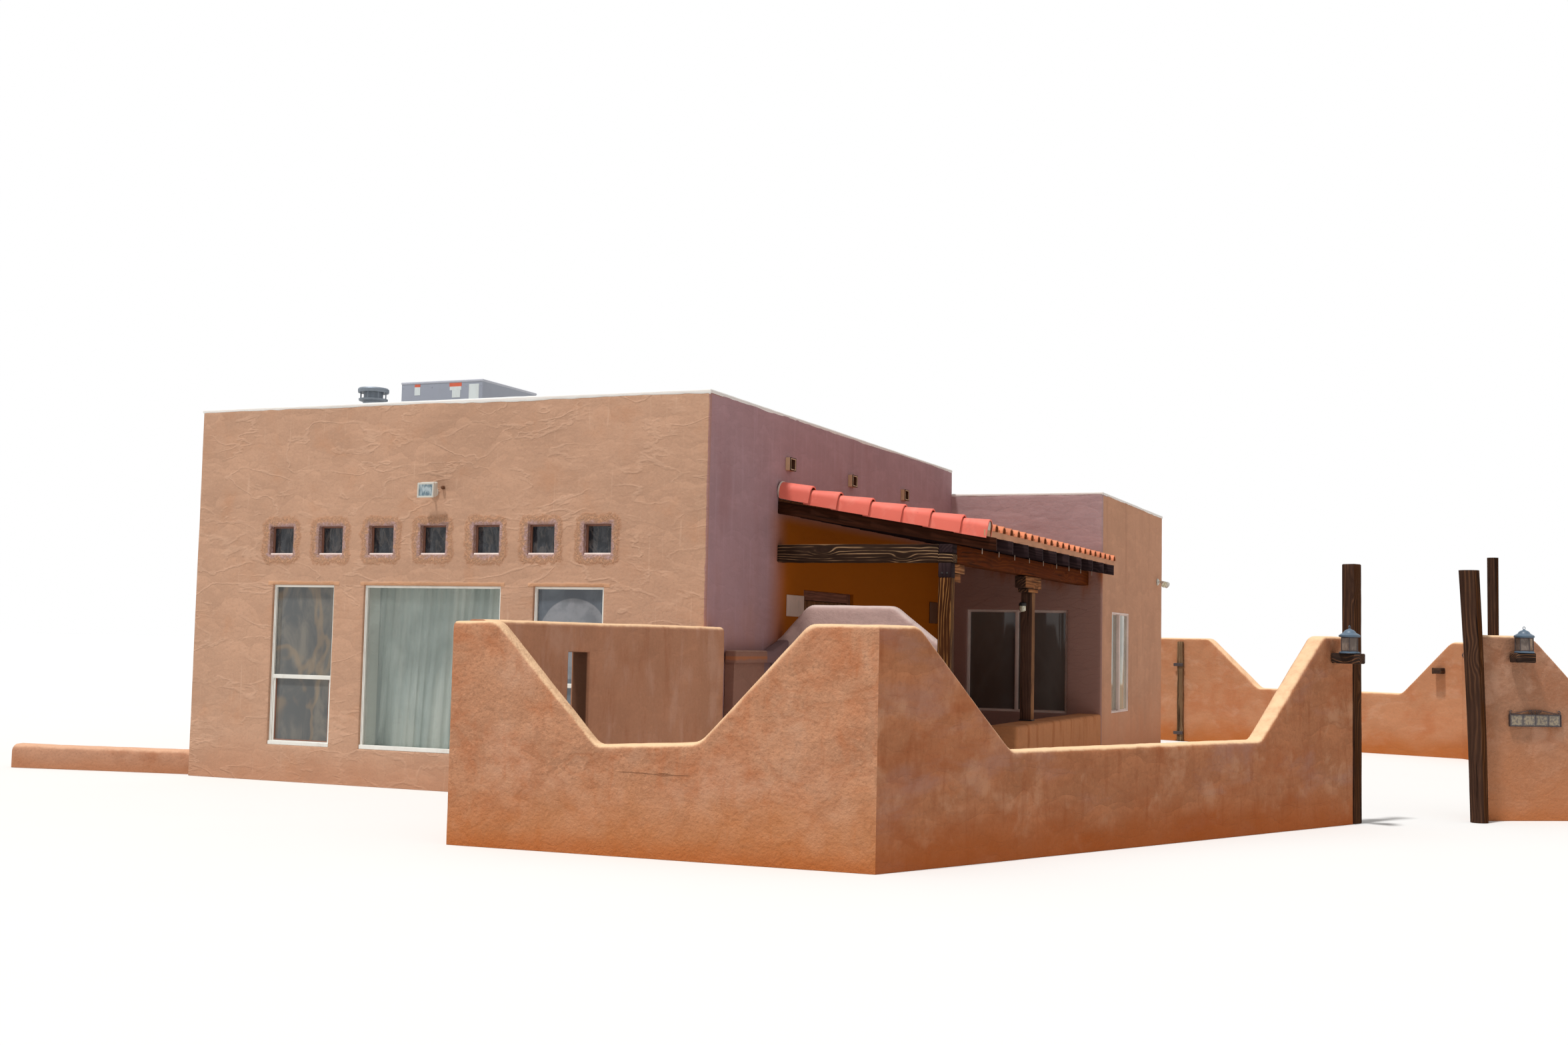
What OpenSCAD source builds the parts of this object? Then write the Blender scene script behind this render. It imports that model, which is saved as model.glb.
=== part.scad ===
// Adobe house with a lower rear wing, a tiled porch in the inner corner and a walled yard.
// Millimetres. The origin is the centre of the main block, on the ground. +X is right, +Y is back.

/* [Main block] */
// Width of the main block, left to right
main_w = 6330; // [5600:10:7600]
// Depth of the main block, front to back
main_d = 8000; // [7600:10:9500]
// Height of the main block's parapet
main_h = 4100; // [3900:10:4800]
// Thickness of the adobe walls
wall_t = 300; // [250:10:400]
// Height of the roof's surface inside the main parapet
main_roof_z = 3480; // [3400:10:3700]
// Thickness of the flat roofs
roof_t = 200; // [120:10:300]
// Thickness of the floor slab
floor_t = 100; // [60:10:200]
// Thickness of the white coating on the parapets
cap_t = 25; // [10:5:40]

/* [Rear wing] */
// How far the wing stands out past the main block's right face
wing_out = 2150; // [1900:10:3000]
// Depth of the wing, front to back
wing_d = 4420; // [3600:10:6000]
// Height of the wing's parapet
wing_h = 3760; // [3600:10:4100]
// Height of the roof's surface inside the wing's parapet
wing_roof_z = 3300; // [3200:10:3400]
// Width of the passage between the main block and the wing
passage_w = 1000; // [800:10:1400]

/* [Front windows] */
// Height of the window sills on the front
front_sill_z = 390; // [200:10:700]
// Height of the window heads
head_z = 2130; // [2000:10:2200]
// Width of the two hung windows
side_win_w = 810; // [600:10:1000]
// Distance from the middle of the front to each hung window's middle
side_win_x = 1650; // [1450:10:1900]
// Width of the picture window
picture_w = 1700; // [1200:10:1900]
// Height of the hung windows' meeting rail
meeting_z = 1130; // [900:10:1400]
// How far the row of windows is left of the middle of the front
window_shift = 30; // [0:5:80]
// Number of small square windows
small_count = 7; // [3:1:7]
// Distance between the middles of the small windows
small_pitch = 656; // [500:4:720]
// Width and height of a small window
small_w = 309; // [200:1:360]
// Height of the small windows' middle
small_z = 2610; // [2500:10:2900]

/* [Window frames] */
// Face width of a window frame
frame_w = 42; // [30:1:60]
// Depth of a window frame
frame_d = 80; // [50:5:100]
// How far a frame is set back from the wall's face
reveal = 30; // [10:5:60]
// How far a small window is set back from the wall's face
small_reveal = 110; // [60:5:140]
// Thickness of the glass units
glass_t = 12; // [6:1:20]
// Thickness of a hung curtain
curtain_t = 40; // [30:5:80]

/* [Wing windows] */
// Height of the sills of the wing's windows
wing_sill_z = 720; // [500:10:1000]
// Width of the window on the wing's front
wing_front_win_w = 1430; // [1000:10:1600]
// Middle of that window, from the main block's right face
wing_front_win_x = 958; // [850:2:1100]
// Width of the window on the wing's right side
wing_side_win_w = 1165; // [900:5:1600]
// Middle of that window, from the wing's front face
wing_side_win_y = 1235; // [1000:5:1800]
// Width of the windows on the back and the left side
rear_win_w = 1200; // [900:10:1500]
// Distance of the two back windows from the middle of the back
rear_win_x = 2200; // [1400:10:2600]
// Middle of the left windows, from the middle of each block's side
left_win_y = 0; // [-400:10:400]

/* [Porch door] */
// Width of the doorway under the porch
door_w = 1570; // [1200:10:1800]
// Near edge of the doorway, from the front face
door_y = 2540; // [2200:10:3000]
// Height of the doorway's head
door_head_z = 2200; // [2100:10:2300]
// Face width of the door frame
door_frame_w = 110; // [80:5:140]
// Thickness of the door leaves
leaf_t = 45; // [35:1:60]
// How far the door leaves are set back from the wall's face
door_reveal = 60; // [20:5:120]
// Gap round and between the door leaves
leaf_gap = 4; // [2:1:8]

/* [Porch frame] */
// Front face of the porch frame, from the house's front face
porch_y = 1750; // [1500:10:2000]
// Outer face of the eave beam, from the main block's right face
beam_x = 1965; // [1800:5:2050]
// Width of the posts
post_w = 145; // [120:5:160]
// Depth of the beams
beam_h = 197; // [150:1:240]
// Width of the beams
beam_w = 160; // [150:5:200]
// Height of the top of the beams
beam_top_z = 2663; // [2600:1:2750]
// Near face of the middle post, from the house's front face
mid_post_y = 5040; // [4700:10:6000]
// Height of one step of a corbel
corbel_h = 98; // [60:2:120]
// Length of a corbel's upper step
corbel_l = 1100; // [800:10:1300]
// How much shorter each end of the lower step is
corbel_step = 150; // [80:10:250]

/* [Porch roof] */
// Rise of the porch roof over its run
porch_pitch = 0.1667; // [0.14:0.002:0.19]
// Eave line of the porch roof, from the main block's right face
eave_x = 2300; // [2250:10:2450]
// How far the rafter tails stand out past the eave line
tail_l = 120; // [60:10:200]
// Number of rafters
rafter_count = 10; // [6:1:12]
// Distance between the last rafter and the wing's wall
rafter_end_gap = 530; // [300:10:600]
// Thickness of a rafter
rafter_t = 40; // [38:1:60]
// Depth of a rafter, measured plumb
rafter_h = 135; // [100:5:160]
// Thickness of the roof boards
deck_t = 25; // [18:1:35]
// Height of the eave board
fascia_h = 68; // [50:1:90]
// Thickness of the eave board
fascia_t = 22; // [18:1:30]
// Number of barrel tile rows
tile_rows = 21; // [14:1:24]
// Radius of a barrel tile
tile_r = 78; // [60:1:95]
// Thickness of the pan tiles between the barrels
pan_t = 45; // [30:1:60]
// How far the barrel tiles stand out past the eave line
tile_out = 45; // [30:5:80]
// Number of cap tiles along the rake
rake_count = 7; // [5:1:9]
// Radius of a cap tile at its lower end
rake_r = 95; // [80:1:110]
// How far the roof stands out past the first rafter
rake_over = 40; // [20:5:60]

/* [Porch masonry] */
// Height of the low porch wall
low_wall_h = 735; // [500:5:1000]
// Thickness of the low porch wall
low_wall_t = 360; // [300:5:420]
// Near face of the pier, from the house's front face
pier_y = 3680; // [3300:10:4000]
// Length of the pier
pier_l = 925; // [700:5:1000]
// Gap between the pier and the low wall
groove = 15; // [10:1:30]
// Height of the screen wall
screen_h = 2020; // [1800:10:2200]
// Height of the screen wall at its ends
screen_end_h = 1640; // [1400:10:1700]
// Length of the screen wall's slope at the house
screen_slope = 350; // [300:10:500]
// Length of the screen wall's slope at the post
screen_post_slope = 500; // [300:10:600]
// How far the screen wall is set back from the porch frame's front face
screen_in = 40; // [20:5:60]
// Thickness of the screen wall
screen_t = 200; // [150:10:300]
// Height of the ledge on the house wall
ledge_z = 1530; // [1300:10:1600]
// Height of the ledge's rim
ledge_rim = 130; // [80:5:200]
// How far the ledge's base stands out from the wall
ledge_base = 110; // [80:5:200]
// How far the ledge's rim stands out past its base
ledge_lip = 35; // [20:5:60]
// Near end of the ledge, from the house's front face
ledge_y = 450; // [300:10:600]
// Length of the slope from the ledge up to the screen wall
ledge_rise = 400; // [300:10:500]

/* [Yard walls] */
// Thickness of the yard walls
yard_t = 200; // [150:5:300]
// Height of the high parts of the front yard walls
yard_high = 1760; // [1600:10:1900]
// Height of the low parts of the front yard walls
yard_low = 825; // [600:5:1000]
// Height of the high parts of the rear yard walls
rear_high = 1840; // [1600:10:2000]
// Height of the low parts of the rear yard walls
rear_low = 1000; // [700:10:1200]
// Distance of the front yard wall's left end from the house's front face
yard_front = 3765; // [3000:5:5000]
// How far the front yard wall's left end is left of the house's right face
yard_left = 390; // [250:5:600]
// Length of the front yard wall
front_len = 3485; // [3000:5:4200]
// Direction of the front yard wall, in degrees from +X
front_dir = 2.5; // [0:0.5:8]
// Length of the front yard wall's high part at its left end
front_left_high = 375; // [200:5:500]
// Length of its left slope
front_left_slope = 900; // [600:10:1000]
// Length of its right slope
front_right_slope = 865; // [600:5:1000]
// Length of its high part at its right end
front_right_high = 500; // [300:10:600]
// Length of the angled yard wall
angled_len = 6420; // [5500:10:7000]
// Direction of the angled yard wall, in degrees from +X
angled_dir = 64.5; // [58:0.5:70]
// Length of the angled wall's high part at the front corner
angled_near_high = 415; // [300:5:600]
// Length of its slope at the front corner
angled_near_slope = 1030; // [700:10:1200]
// Length of its slope at the gate
angled_far_slope = 845; // [700:5:1200]
// Length of its high part at the gate
angled_far_high = 723; // [600:1:900]
// Length of the high parts of the gate wall and the return wall
high_l = 670; // [400:10:800]
// Length of the slopes of the gate wall and the return wall
slope_l = 840; // [600:10:900]
// Direction of the gate wall, in degrees from +X
gate_wall_dir = 34; // [25:0.5:45]
// Length of the gate wall
gate_wall_len = 4600; // [4200:10:5600]
// Distance from the angled wall's end to the gate wall's end
gate_gap = 1430; // [1400:10:1800]
// Direction across the gate, in degrees from +X
gate_dir = 46; // [36:0.5:56]
// Right end of the rear yard wall, from the house's right face
rear_corner_x = 6705; // [6300:5:7200]
// Right end of the rear yard wall, from the house's front face
rear_corner_y = 14240; // [13900:10:15000]
// Direction of the rear yard wall, in degrees from +X
rear_dir = -21.3; // [-24:0.5:-15]
// Length of the rear yard wall
rear_len = 5830; // [5400:10:6400]
// Length of the rear wall's high part at its right end
rear_right_high = 180; // [100:10:400]
// Length of its right slope
rear_right_slope = 830; // [600:10:1000]
// Length of its left slope
rear_left_slope = 960; // [700:10:1100]
// Length of its high part at its left end
rear_left_high = 1260; // [900:10:1400]
// How far the side yard wall overlaps the house's side
side_overlap = 200; // [150:10:300]
// How far the side yard wall's end is left of the house's right face
side_in = 50; // [0:5:100]
// Top of the slot in the side yard wall
slot_top_z = 1495; // [1300:5:1600]
// Bottom of that slot
slot_bottom_z = 560; // [300:10:900]
// Width of that slot
slot_w = 305; // [200:5:450]
// Distance of that slot from the front yard wall's inner face
slot_y = 1150; // [700:10:2000]
// Length of the low wall at the left of the house
low_len = 2340; // [1500:10:3000]
// Height of the low wall at the left of the house
low_h = 275; // [200:5:400]
// Thickness of the low wall at the left of the house
low_t = 240; // [180:5:300]
// Direction of the low wall, in degrees from +X
low_dir = 12; // [0:0.5:20]
// Distance of the low wall's outer face from the house's front face
low_back = 140; // [50:10:300]

/* [Gate posts] */
// Side of the square gate post
gate_post_w = 130; // [120:5:180]
// Height of the square gate post
gate_post_h = 2483; // [2200:1:2700]
// Radius of the round gate post at its foot
round_post_r = 90; // [75:1:110]
// How much wider the round gate post's radius is at its top
round_post_flare = 20; // [0:1:25]
// Height of the round gate post
round_post_h = 2440; // [2200:5:2700]
// Lean of the round gate post, in degrees
round_post_lean = 2; // [0:0.1:2.5]
// Gap between the round post's foot and the gate wall's face
round_post_gap = 55; // [55:5:90]
// Distance of the round post's middle from the gate wall's end, along the wall
round_post_in = 15; // [0:5:60]
// Radius of the pole behind the gate wall
pole_r = 57; // [40:1:70]
// Height of the pole behind the gate wall
pole_h = 2640; // [2300:10:2900]
// Distance of the pole's middle from the gate wall's end, along the wall
pole_in = 465; // [200:5:700]

/* [Timber blocks] */
// Distance from the angled wall's end to its block's middle
stub_in = 370; // [200:5:500]
// Width of that block
stub_w = 115; // [90:5:160]
// How far it stands out of the wall
stub_out = 294; // [220:2:340]
// Height of its underside
stub_z = 1520; // [1300:10:1600]
// Distance from the gate wall's end to its block's middle
shelf_in = 555; // [450:5:600]
// Width of that block
shelf_w = 215; // [150:5:300]
// How far it stands out of the wall
shelf_out = 140; // [100:5:200]
// Height of its underside
shelf_z = 1560; // [1300:10:1620]
// Height of a timber block
block_h = 105; // [80:5:140]
// Distance from the rear wall's right end to its block's middle
rear_block_in = 420; // [300:10:600]
// Width of that block
rear_block_w = 170; // [120:5:220]
// How far it stands out of the wall
rear_block_out = 150; // [100:5:200]
// Height of its underside
rear_block_z = 1320; // [1100:10:1400]
// Distance from the rear wall's right end to the old gate stile
stile_in = 5125; // [4900:5:5300]
// Width of the old gate stile
stile_w = 130; // [90:5:160]
// How far it stands out of the wall
stile_out = 50; // [30:5:80]
// Height of the old gate stile
stile_h = 1770; // [1500:10:1800]

/* [Lanterns and plate] */
// Width of a lantern's roof
lantern_w = 185; // [160:5:240]
// Height of a lantern
lantern_h = 220; // [180:5:260]
// Distance from the angled wall to its lantern's middle
stub_lantern_out = 162; // [150:1:170]
// Distance from the gate wall to its lantern's middle
shelf_lantern_out = 98; // [95:1:130]
// Distance from the gate wall's end to the number plate's middle
plate_in = 726; // [600:2:900]
// Width of the number plate
plate_w = 570; // [400:10:600]
// Height of the number plate
plate_h = 122; // [90:1:150]
// Thickness of the number plate
plate_t = 25; // [15:1:40]
// Height of the number plate's lower edge
plate_z = 931; // [800:1:1100]

/* [Roof equipment] */
// Width of the cooling unit
ac_w = 1230; // [900:10:1400]
// Depth of the cooling unit
ac_d = 1300; // [900:10:1500]
// Height of the cooling unit's top
ac_top_z = 4830; // [4500:10:5000]
// Gap between the left parapet and the cooling unit
ac_left_gap = 210; // [100:10:600]
// Gap between the front parapet and the cooling unit
ac_front_gap = 2700; // [2400:10:3300]
// Height of the curb under the cooling unit
ac_curb_h = 150; // [100:10:200]
// How far the curb is set in under the cooling unit
ac_curb_in = 60; // [40:5:100]
// Height of the cooling unit's lid
ac_lid_h = 60; // [40:5:90]
// How far the lid stands out over the cabinet
ac_lip = 25; // [10:1:40]
// Radius of the roof vent's cap
vent_r = 210; // [150:5:260]
// Height of the roof vent's top
vent_top_z = 4600; // [4500:10:4700]
// Distance of the vent's middle from the left parapet
vent_left = 530; // [300:10:900]
// Distance of the vent's middle from the front parapet
vent_front = 1700; // [1000:10:2000]
// Width of a scupper
scupper_w = 160; // [120:5:220]
// Height of a scupper
scupper_h = 140; // [100:5:180]
// How far a scupper stands out of the wall
scupper_out = 90; // [50:5:150]
// Thickness of a scupper's sheet
scupper_t = 6; // [4:1:10]
// Distance of the first scupper from the front face
scupper_first = 2025; // [1600:5:2200]
// Distance between the scuppers
scupper_pitch = 1930; // [1600:10:2200]

/* [Floodlights] */
// Distance of the front floodlight's middle from the front's right corner
front_flood_x = 3250; // [3000:10:3400]
// Height of the front floodlight's middle
front_flood_z = 3145; // [3000:5:3250]
// Width of the front floodlight
flood_w = 250; // [200:10:300]
// Height of the front floodlight
flood_h = 170; // [120:10:200]
// Depth of the front floodlight
flood_d = 100; // [80:5:130]
// Distance of the side floodlight from the wing's back corner
side_flood_y = 420; // [200:10:900]
// Height of the side floodlight
side_flood_z = 2680; // [2500:10:2900]
// Radius of the floodlights' bases and round lamps
flood_r = 50; // [40:2:60]
// Length of a round lamp
lamp_l = 110; // [80:5:140]
// Distance from the wall to the floodlights
flood_arm = 80; // [60:5:120]
// Thickness of a floodlight's arm and base
flood_arm_t = 30; // [20:1:40]
// How far the round lamps are turned outwards, in degrees
lamp_turn = 50; // [30:5:70]
// How far the round lamps are tipped down, in degrees
lamp_dip = 25; // [0:5:45]

/* [Hidden] */

// Colours as the photo shows them
TAN = [0.76, 0.57, 0.45];
MAUVE = [0.56, 0.42, 0.40];
ORANGE_TAN = [0.74, 0.51, 0.36];
WHITE = [0.92, 0.91, 0.88];
WOOD = [0.25, 0.17, 0.12];
CORAL = [0.80, 0.36, 0.28];
CLAY = [0.84, 0.48, 0.32];
GLASS = [0.35, 0.42, 0.46, 0.5];
TEAL = [0.58, 0.66, 0.65];
GREY = [0.55, 0.55, 0.55];
SLATE = [0.33, 0.40, 0.45];

// Faces of the two blocks
xr = main_w / 2;
xl = -xr;
yf = -main_d / 2;
yb = main_d / 2;
xw = xr + wing_out;
yw = yb + wing_d;
// Middle of the front windows
win_mid = -window_shift;
// How far a cutting shape reaches past the faces it cuts
past = 20;

// Ways round the porch
post_x = xr + beam_x - beam_w;
frame_y = yf + porch_y;
screen_y = frame_y + screen_in;
beam_bottom_z = beam_top_z - beam_h;
half_lap = beam_h / 2;
low_wall_x = xw - low_wall_t;
// Height of the rafters' top at a distance from the main block's right face
rafter_foot_z = beam_top_z + rafter_h + beam_x * porch_pitch;
pitch_deg = atan(porch_pitch);
function rafter_z(x) = rafter_foot_z - x * porch_pitch;
porch_end_y = yb;
rake_y = frame_y - rake_over;
rafter_pitch = (porch_end_y - rafter_end_gap - rafter_t - frame_y) / (rafter_count - 1);
scupper_count = 3;

// Plan points of the yard walls, on their outer faces
function along(p, a, d) = [p[0] + d * cos(a), p[1] + d * sin(a)];
function heading(p, q) = atan2(q[1] - p[1], q[0] - p[0]);
function distance(p, q) = norm([q[0] - p[0], q[1] - p[1]]);
front_left = [xr - yard_left, yf - yard_front];
front_right = along(front_left, front_dir, front_len);
angled_end = along(front_right, angled_dir, angled_len);
gate_end = along(angled_end, gate_dir, gate_gap);
gate_corner = along(gate_end, gate_wall_dir, gate_wall_len);
rear_corner = [xr + rear_corner_x, yf + rear_corner_y];
rear_left = along(rear_corner, rear_dir + 180, rear_len);
side_outer = [xr - side_in, yf + side_overlap];

// Point where two lines cross, each given by a point and a direction
function crossing(p, a, q, b) =
    let (d = cos(a) * sin(b) - sin(a) * cos(b))
    let (s = ((q[0] - p[0]) * sin(b) - (q[1] - p[1]) * cos(b)) / d)
    along(p, a, s);

// Top line of a wall with low bays between high parts. The run holds the lengths of the first high part,
// of the slopes down and up, and of the last high part.
function bay_points(len, high, low, run, bays) =
    let (bay = (len - run[3]) / bays)
    [for (i = [0:bays - 1]) each [
        [i * bay + run[0], high],
        [i * bay + run[0] + run[1], low],
        [(i + 1) * bay - run[2], low],
        [(i + 1) * bay, high]
    ]];

// A wall that stands on its outer line from p to q, with its ends cut along given directions
module plan_wall(p, q, t, h, start_cut, end_cut) {
    a = heading(p, q);
    inner = along(p, a + 90, t);
    linear_extrude(h)
        polygon([
            crossing(p, a, p, start_cut),
            crossing(p, a, q, end_cut),
            crossing(inner, a, q, end_cut),
            crossing(inner, a, p, start_cut)
        ]);
}

// A wall with a shaped top, cut from a plan wall by its elevation
module shaped_wall(p, q, t, high, low, run, bays, start_cut, end_cut) {
    a = heading(p, q);
    len = distance(p, q);
    margin = 2 * t;
    intersection() {
        plan_wall(p, q, t, high, start_cut, end_cut);
        translate([p[0], p[1], 0])
            rotate([0, 0, a])
                translate([0, margin, 0])
                    rotate([90, 0, 0])
                        linear_extrude(2 * margin)
                            polygon(concat(
                                [[-margin, 0], [-margin, high]],
                                bay_points(len, high, low, run, bays),
                                [[len + margin, high], [len + margin, 0]]
                            ));
    }
}

// A block given by its lowest and highest corners
module block(lo, hi) {
    translate(lo) cube([hi[0] - lo[0], hi[1] - lo[1], hi[2] - lo[2]]);
}

// Opening in a wall that faces the front or back, by its middle, sill, width and head
module front_hole(x, y, w, sill, head, t) {
    block([x - w / 2, y - past, sill], [x + w / 2, y + t + past, head]);
}

// Opening in a wall that faces right or left
module side_hole(x, y, w, sill, head, t) {
    block([x - past, y - w / 2, sill], [x + t + past, y + w / 2, head]);
}

small_first = win_mid - small_pitch * (small_count - 1) / 2;
wing_win_y = yb + wing_side_win_y;
wing_win_x = xr + wing_front_win_x;
back_mid = (xl + xw) / 2;
left_main_y = left_win_y;
left_wing_y = yb + wing_d / 2 + left_win_y;

// Walls of the house
module front_wall() {
    color(TAN) difference() {
        block([xl, yf, 0], [xr, yf + wall_t, main_h - cap_t]);
        for (s = [-1, 1]) front_hole(win_mid + s * side_win_x, yf, side_win_w, front_sill_z, head_z, wall_t);
        front_hole(win_mid, yf, picture_w, front_sill_z, head_z, wall_t);
        for (i = [0:small_count - 1])
            front_hole(small_first + i * small_pitch, yf, small_w, small_z - small_w / 2, small_z + small_w / 2, wall_t);
    }
}

module right_wall() {
    door_mid = yf + door_y + door_w / 2;
    color(MAUVE) difference() {
        block([xr - wall_t, yf + wall_t, 0], [xr, yb, main_h - cap_t]);
        side_hole(xr - wall_t, door_mid, door_w, floor_t, door_head_z, wall_t);
        for (i = [0:scupper_count - 1])
            side_hole(xr - wall_t, yf + scupper_first + i * scupper_pitch, scupper_w,
                main_roof_z, main_roof_z + scupper_h, wall_t);
    }
}

module left_wall() {
    color(TAN) difference() {
        union() {
            block([xl, yf + wall_t, 0], [xl + wall_t, yb, main_h - cap_t]);
            block([xl, yb, 0], [xl + wall_t, yw, wing_h - cap_t]);
        }
        side_hole(xl, left_main_y, rear_win_w, wing_sill_z, head_z, wall_t);
        side_hole(xl, left_wing_y, rear_win_w, wing_sill_z, head_z, wall_t);
    }
}

module dividing_wall() {
    color(TAN) difference() {
        block([xl + wall_t, yb - wall_t, 0], [xr - wall_t, yb, main_h - cap_t]);
        front_hole(0, yb - wall_t, passage_w, -past, head_z, wall_t);
    }
}

module wing_front_wall() {
    color(MAUVE) difference() {
        block([xr - wall_t, yb, 0], [xw, yb + wall_t, wing_h - cap_t]);
        front_hole(wing_win_x, yb, wing_front_win_w, wing_sill_z, head_z, wall_t);
    }
}

module wing_right_wall() {
    color(TAN) difference() {
        block([xw - wall_t, yb + wall_t, 0], [xw, yw, wing_h - cap_t]);
        side_hole(xw - wall_t, wing_win_y, wing_side_win_w, wing_sill_z, head_z, wall_t);
    }
}

module wing_back_wall() {
    color(TAN) difference() {
        block([xl + wall_t, yw - wall_t, 0], [xw - wall_t, yw, wing_h - cap_t]);
        for (s = [-1, 1])
            front_hole(back_mid + s * rear_win_x, yw - wall_t, rear_win_w, wing_sill_z, head_z, wall_t);
    }
}

// Floors and roofs
module floor_slab() {
    color(GREY) union() {
        block([xl + wall_t, yf + wall_t, 0], [xr - wall_t, yb - wall_t, floor_t]);
        block([-passage_w / 2, yb - wall_t, 0], [passage_w / 2, yb, floor_t]);
        wing_slab(0, floor_t);
    }
}

// Slab that fills the wing between its walls
module wing_slab(z0, z1) {
    translate([0, 0, z0])
        linear_extrude(z1 - z0)
            polygon([
                [xl + wall_t, yb], [xr - wall_t, yb], [xr - wall_t, yb + wall_t],
                [xw - wall_t, yb + wall_t], [xw - wall_t, yw - wall_t], [xl + wall_t, yw - wall_t]
            ]);
}

module porch_floor() {
    color(GREY) block([xr, frame_y + post_w, 0], [low_wall_x, yb, floor_t]);
}

module main_roof() {
    color(WHITE) block([xl + wall_t, yf + wall_t, main_roof_z - roof_t], [xr - wall_t, yb - wall_t, main_roof_z]);
}

module wing_roof() {
    color(WHITE) wing_slab(wing_roof_z - roof_t, wing_roof_z);
}

module parapet_caps() {
    color(WHITE) {
        translate([0, 0, main_h - cap_t])
            linear_extrude(cap_t)
                difference() {
                    translate([xl, yf]) square([main_w, main_d]);
                    translate([xl + wall_t, yf + wall_t]) square([main_w - 2 * wall_t, main_d - 2 * wall_t]);
                }
        translate([0, 0, wing_h - cap_t])
            linear_extrude(cap_t)
                polygon([
                    [xl, yb], [xl + wall_t, yb], [xl + wall_t, yw - wall_t], [xw - wall_t, yw - wall_t],
                    [xw - wall_t, yb + wall_t], [xr - wall_t, yb + wall_t], [xr - wall_t, yb],
                    [xw, yb], [xw, yw], [xl, yw]
                ]);
    }
}

// Window pieces are drawn in the XZ plane, with their outer face on y = 0
module frame_ring(w, h, d, face) {
    difference() {
        block([-w / 2, 0, 0], [w / 2, d, h]);
        block([-w / 2 + face, -past, face], [w / 2 - face, d + past, h - face]);
    }
}

module hung_frame() {
    h = head_z - front_sill_z;
    union() {
        frame_ring(side_win_w, h, frame_d, frame_w);
        block([-side_win_w / 2 + frame_w, 0, meeting_z - front_sill_z - frame_w / 2],
            [side_win_w / 2 - frame_w, frame_d, meeting_z - front_sill_z + frame_w / 2]);
    }
}

module slider_frame(w) {
    h = head_z - wing_sill_z;
    union() {
        frame_ring(w, h, frame_d, frame_w);
        block([-frame_w / 2, 0, frame_w], [frame_w / 2, frame_d, h - frame_w]);
    }
}

// A single pane that fits inside a frame
module pane(x0, x1, z0, z1) {
    block([x0, (frame_d - glass_t) / 2, z0], [x1, (frame_d + glass_t) / 2, z1]);
}

// Places for the windows of each kind
module at_front(x, back) {
    translate([x, yf + back, 0]) children();
}

module at_wing_front() {
    translate([wing_win_x, yb + reveal, wing_sill_z]) children();
}

module at_wing_side() {
    translate([xw - reveal, wing_win_y, wing_sill_z]) rotate([0, 0, 90]) children();
}

module at_back(s) {
    translate([back_mid + s * rear_win_x, yw - reveal, wing_sill_z]) rotate([0, 0, 180]) children();
}

module at_left(y) {
    translate([xl + reveal, y, wing_sill_z]) rotate([0, 0, -90]) children();
}

module hung_windows() {
    color(WHITE) for (s = [-1, 1])
        at_front(win_mid + s * side_win_x, reveal) translate([0, 0, front_sill_z]) hung_frame();
}

module picture_window() {
    color(WHITE) at_front(win_mid, reveal) translate([0, 0, front_sill_z])
        frame_ring(picture_w, head_z - front_sill_z, frame_d, frame_w);
}

module small_windows() {
    color(WHITE) for (i = [0:small_count - 1])
        at_front(small_first + i * small_pitch, small_reveal) translate([0, 0, small_z - small_w / 2])
            frame_ring(small_w, small_w, frame_d, frame_w / 2);
}

module wing_windows() {
    color(WHITE) {
        at_wing_front() slider_frame(wing_front_win_w);
        at_wing_side() slider_frame(wing_side_win_w);
        for (s = [-1, 1]) at_back(s) slider_frame(rear_win_w);
        at_left(left_main_y) slider_frame(rear_win_w);
        at_left(left_wing_y) slider_frame(rear_win_w);
    }
}

module hung_panes() {
    x = side_win_w / 2 - frame_w;
    rail = meeting_z - front_sill_z;
    pane(-x, x, frame_w, rail - frame_w / 2);
    pane(-x, x, rail + frame_w / 2, head_z - front_sill_z - frame_w);
}

module slider_panes(w) {
    x = w / 2 - frame_w;
    top = head_z - wing_sill_z - frame_w;
    pane(-x, -frame_w / 2, frame_w, top);
    pane(frame_w / 2, x, frame_w, top);
}

module window_glass() {
    color(GLASS) {
        for (s = [-1, 1])
            at_front(win_mid + s * side_win_x, reveal) translate([0, 0, front_sill_z]) hung_panes();
        at_front(win_mid, reveal) translate([0, 0, front_sill_z])
            pane(-picture_w / 2 + frame_w, picture_w / 2 - frame_w, frame_w, head_z - front_sill_z - frame_w);
        for (i = [0:small_count - 1])
            at_front(small_first + i * small_pitch, small_reveal) translate([0, 0, small_z - small_w / 2])
                pane(-small_w / 2 + frame_w / 2, small_w / 2 - frame_w / 2, frame_w / 2, small_w - frame_w / 2);
        at_wing_front() slider_panes(wing_front_win_w);
        at_wing_side() slider_panes(wing_side_win_w);
        for (s = [-1, 1]) at_back(s) slider_panes(rear_win_w);
        at_left(left_main_y) slider_panes(rear_win_w);
        at_left(left_wing_y) slider_panes(rear_win_w);
    }
}

// Curtains hang from a rail on the wall's inner face
curtain_gap = 30;
curtain_over = 80;
curtain_foot = 60;
rail_h = 60;
module curtain(w) {
    y0 = wall_t - reveal;
    z0 = -curtain_foot;
    z1 = head_z - front_sill_z + curtain_over;
    union() {
        block([-w / 2, y0 + curtain_gap, z0], [w / 2, y0 + curtain_gap + curtain_t, z1]);
        block([-w / 2, y0, z1 - rail_h], [w / 2, y0 + curtain_gap + curtain_t, z1]);
    }
}

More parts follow.
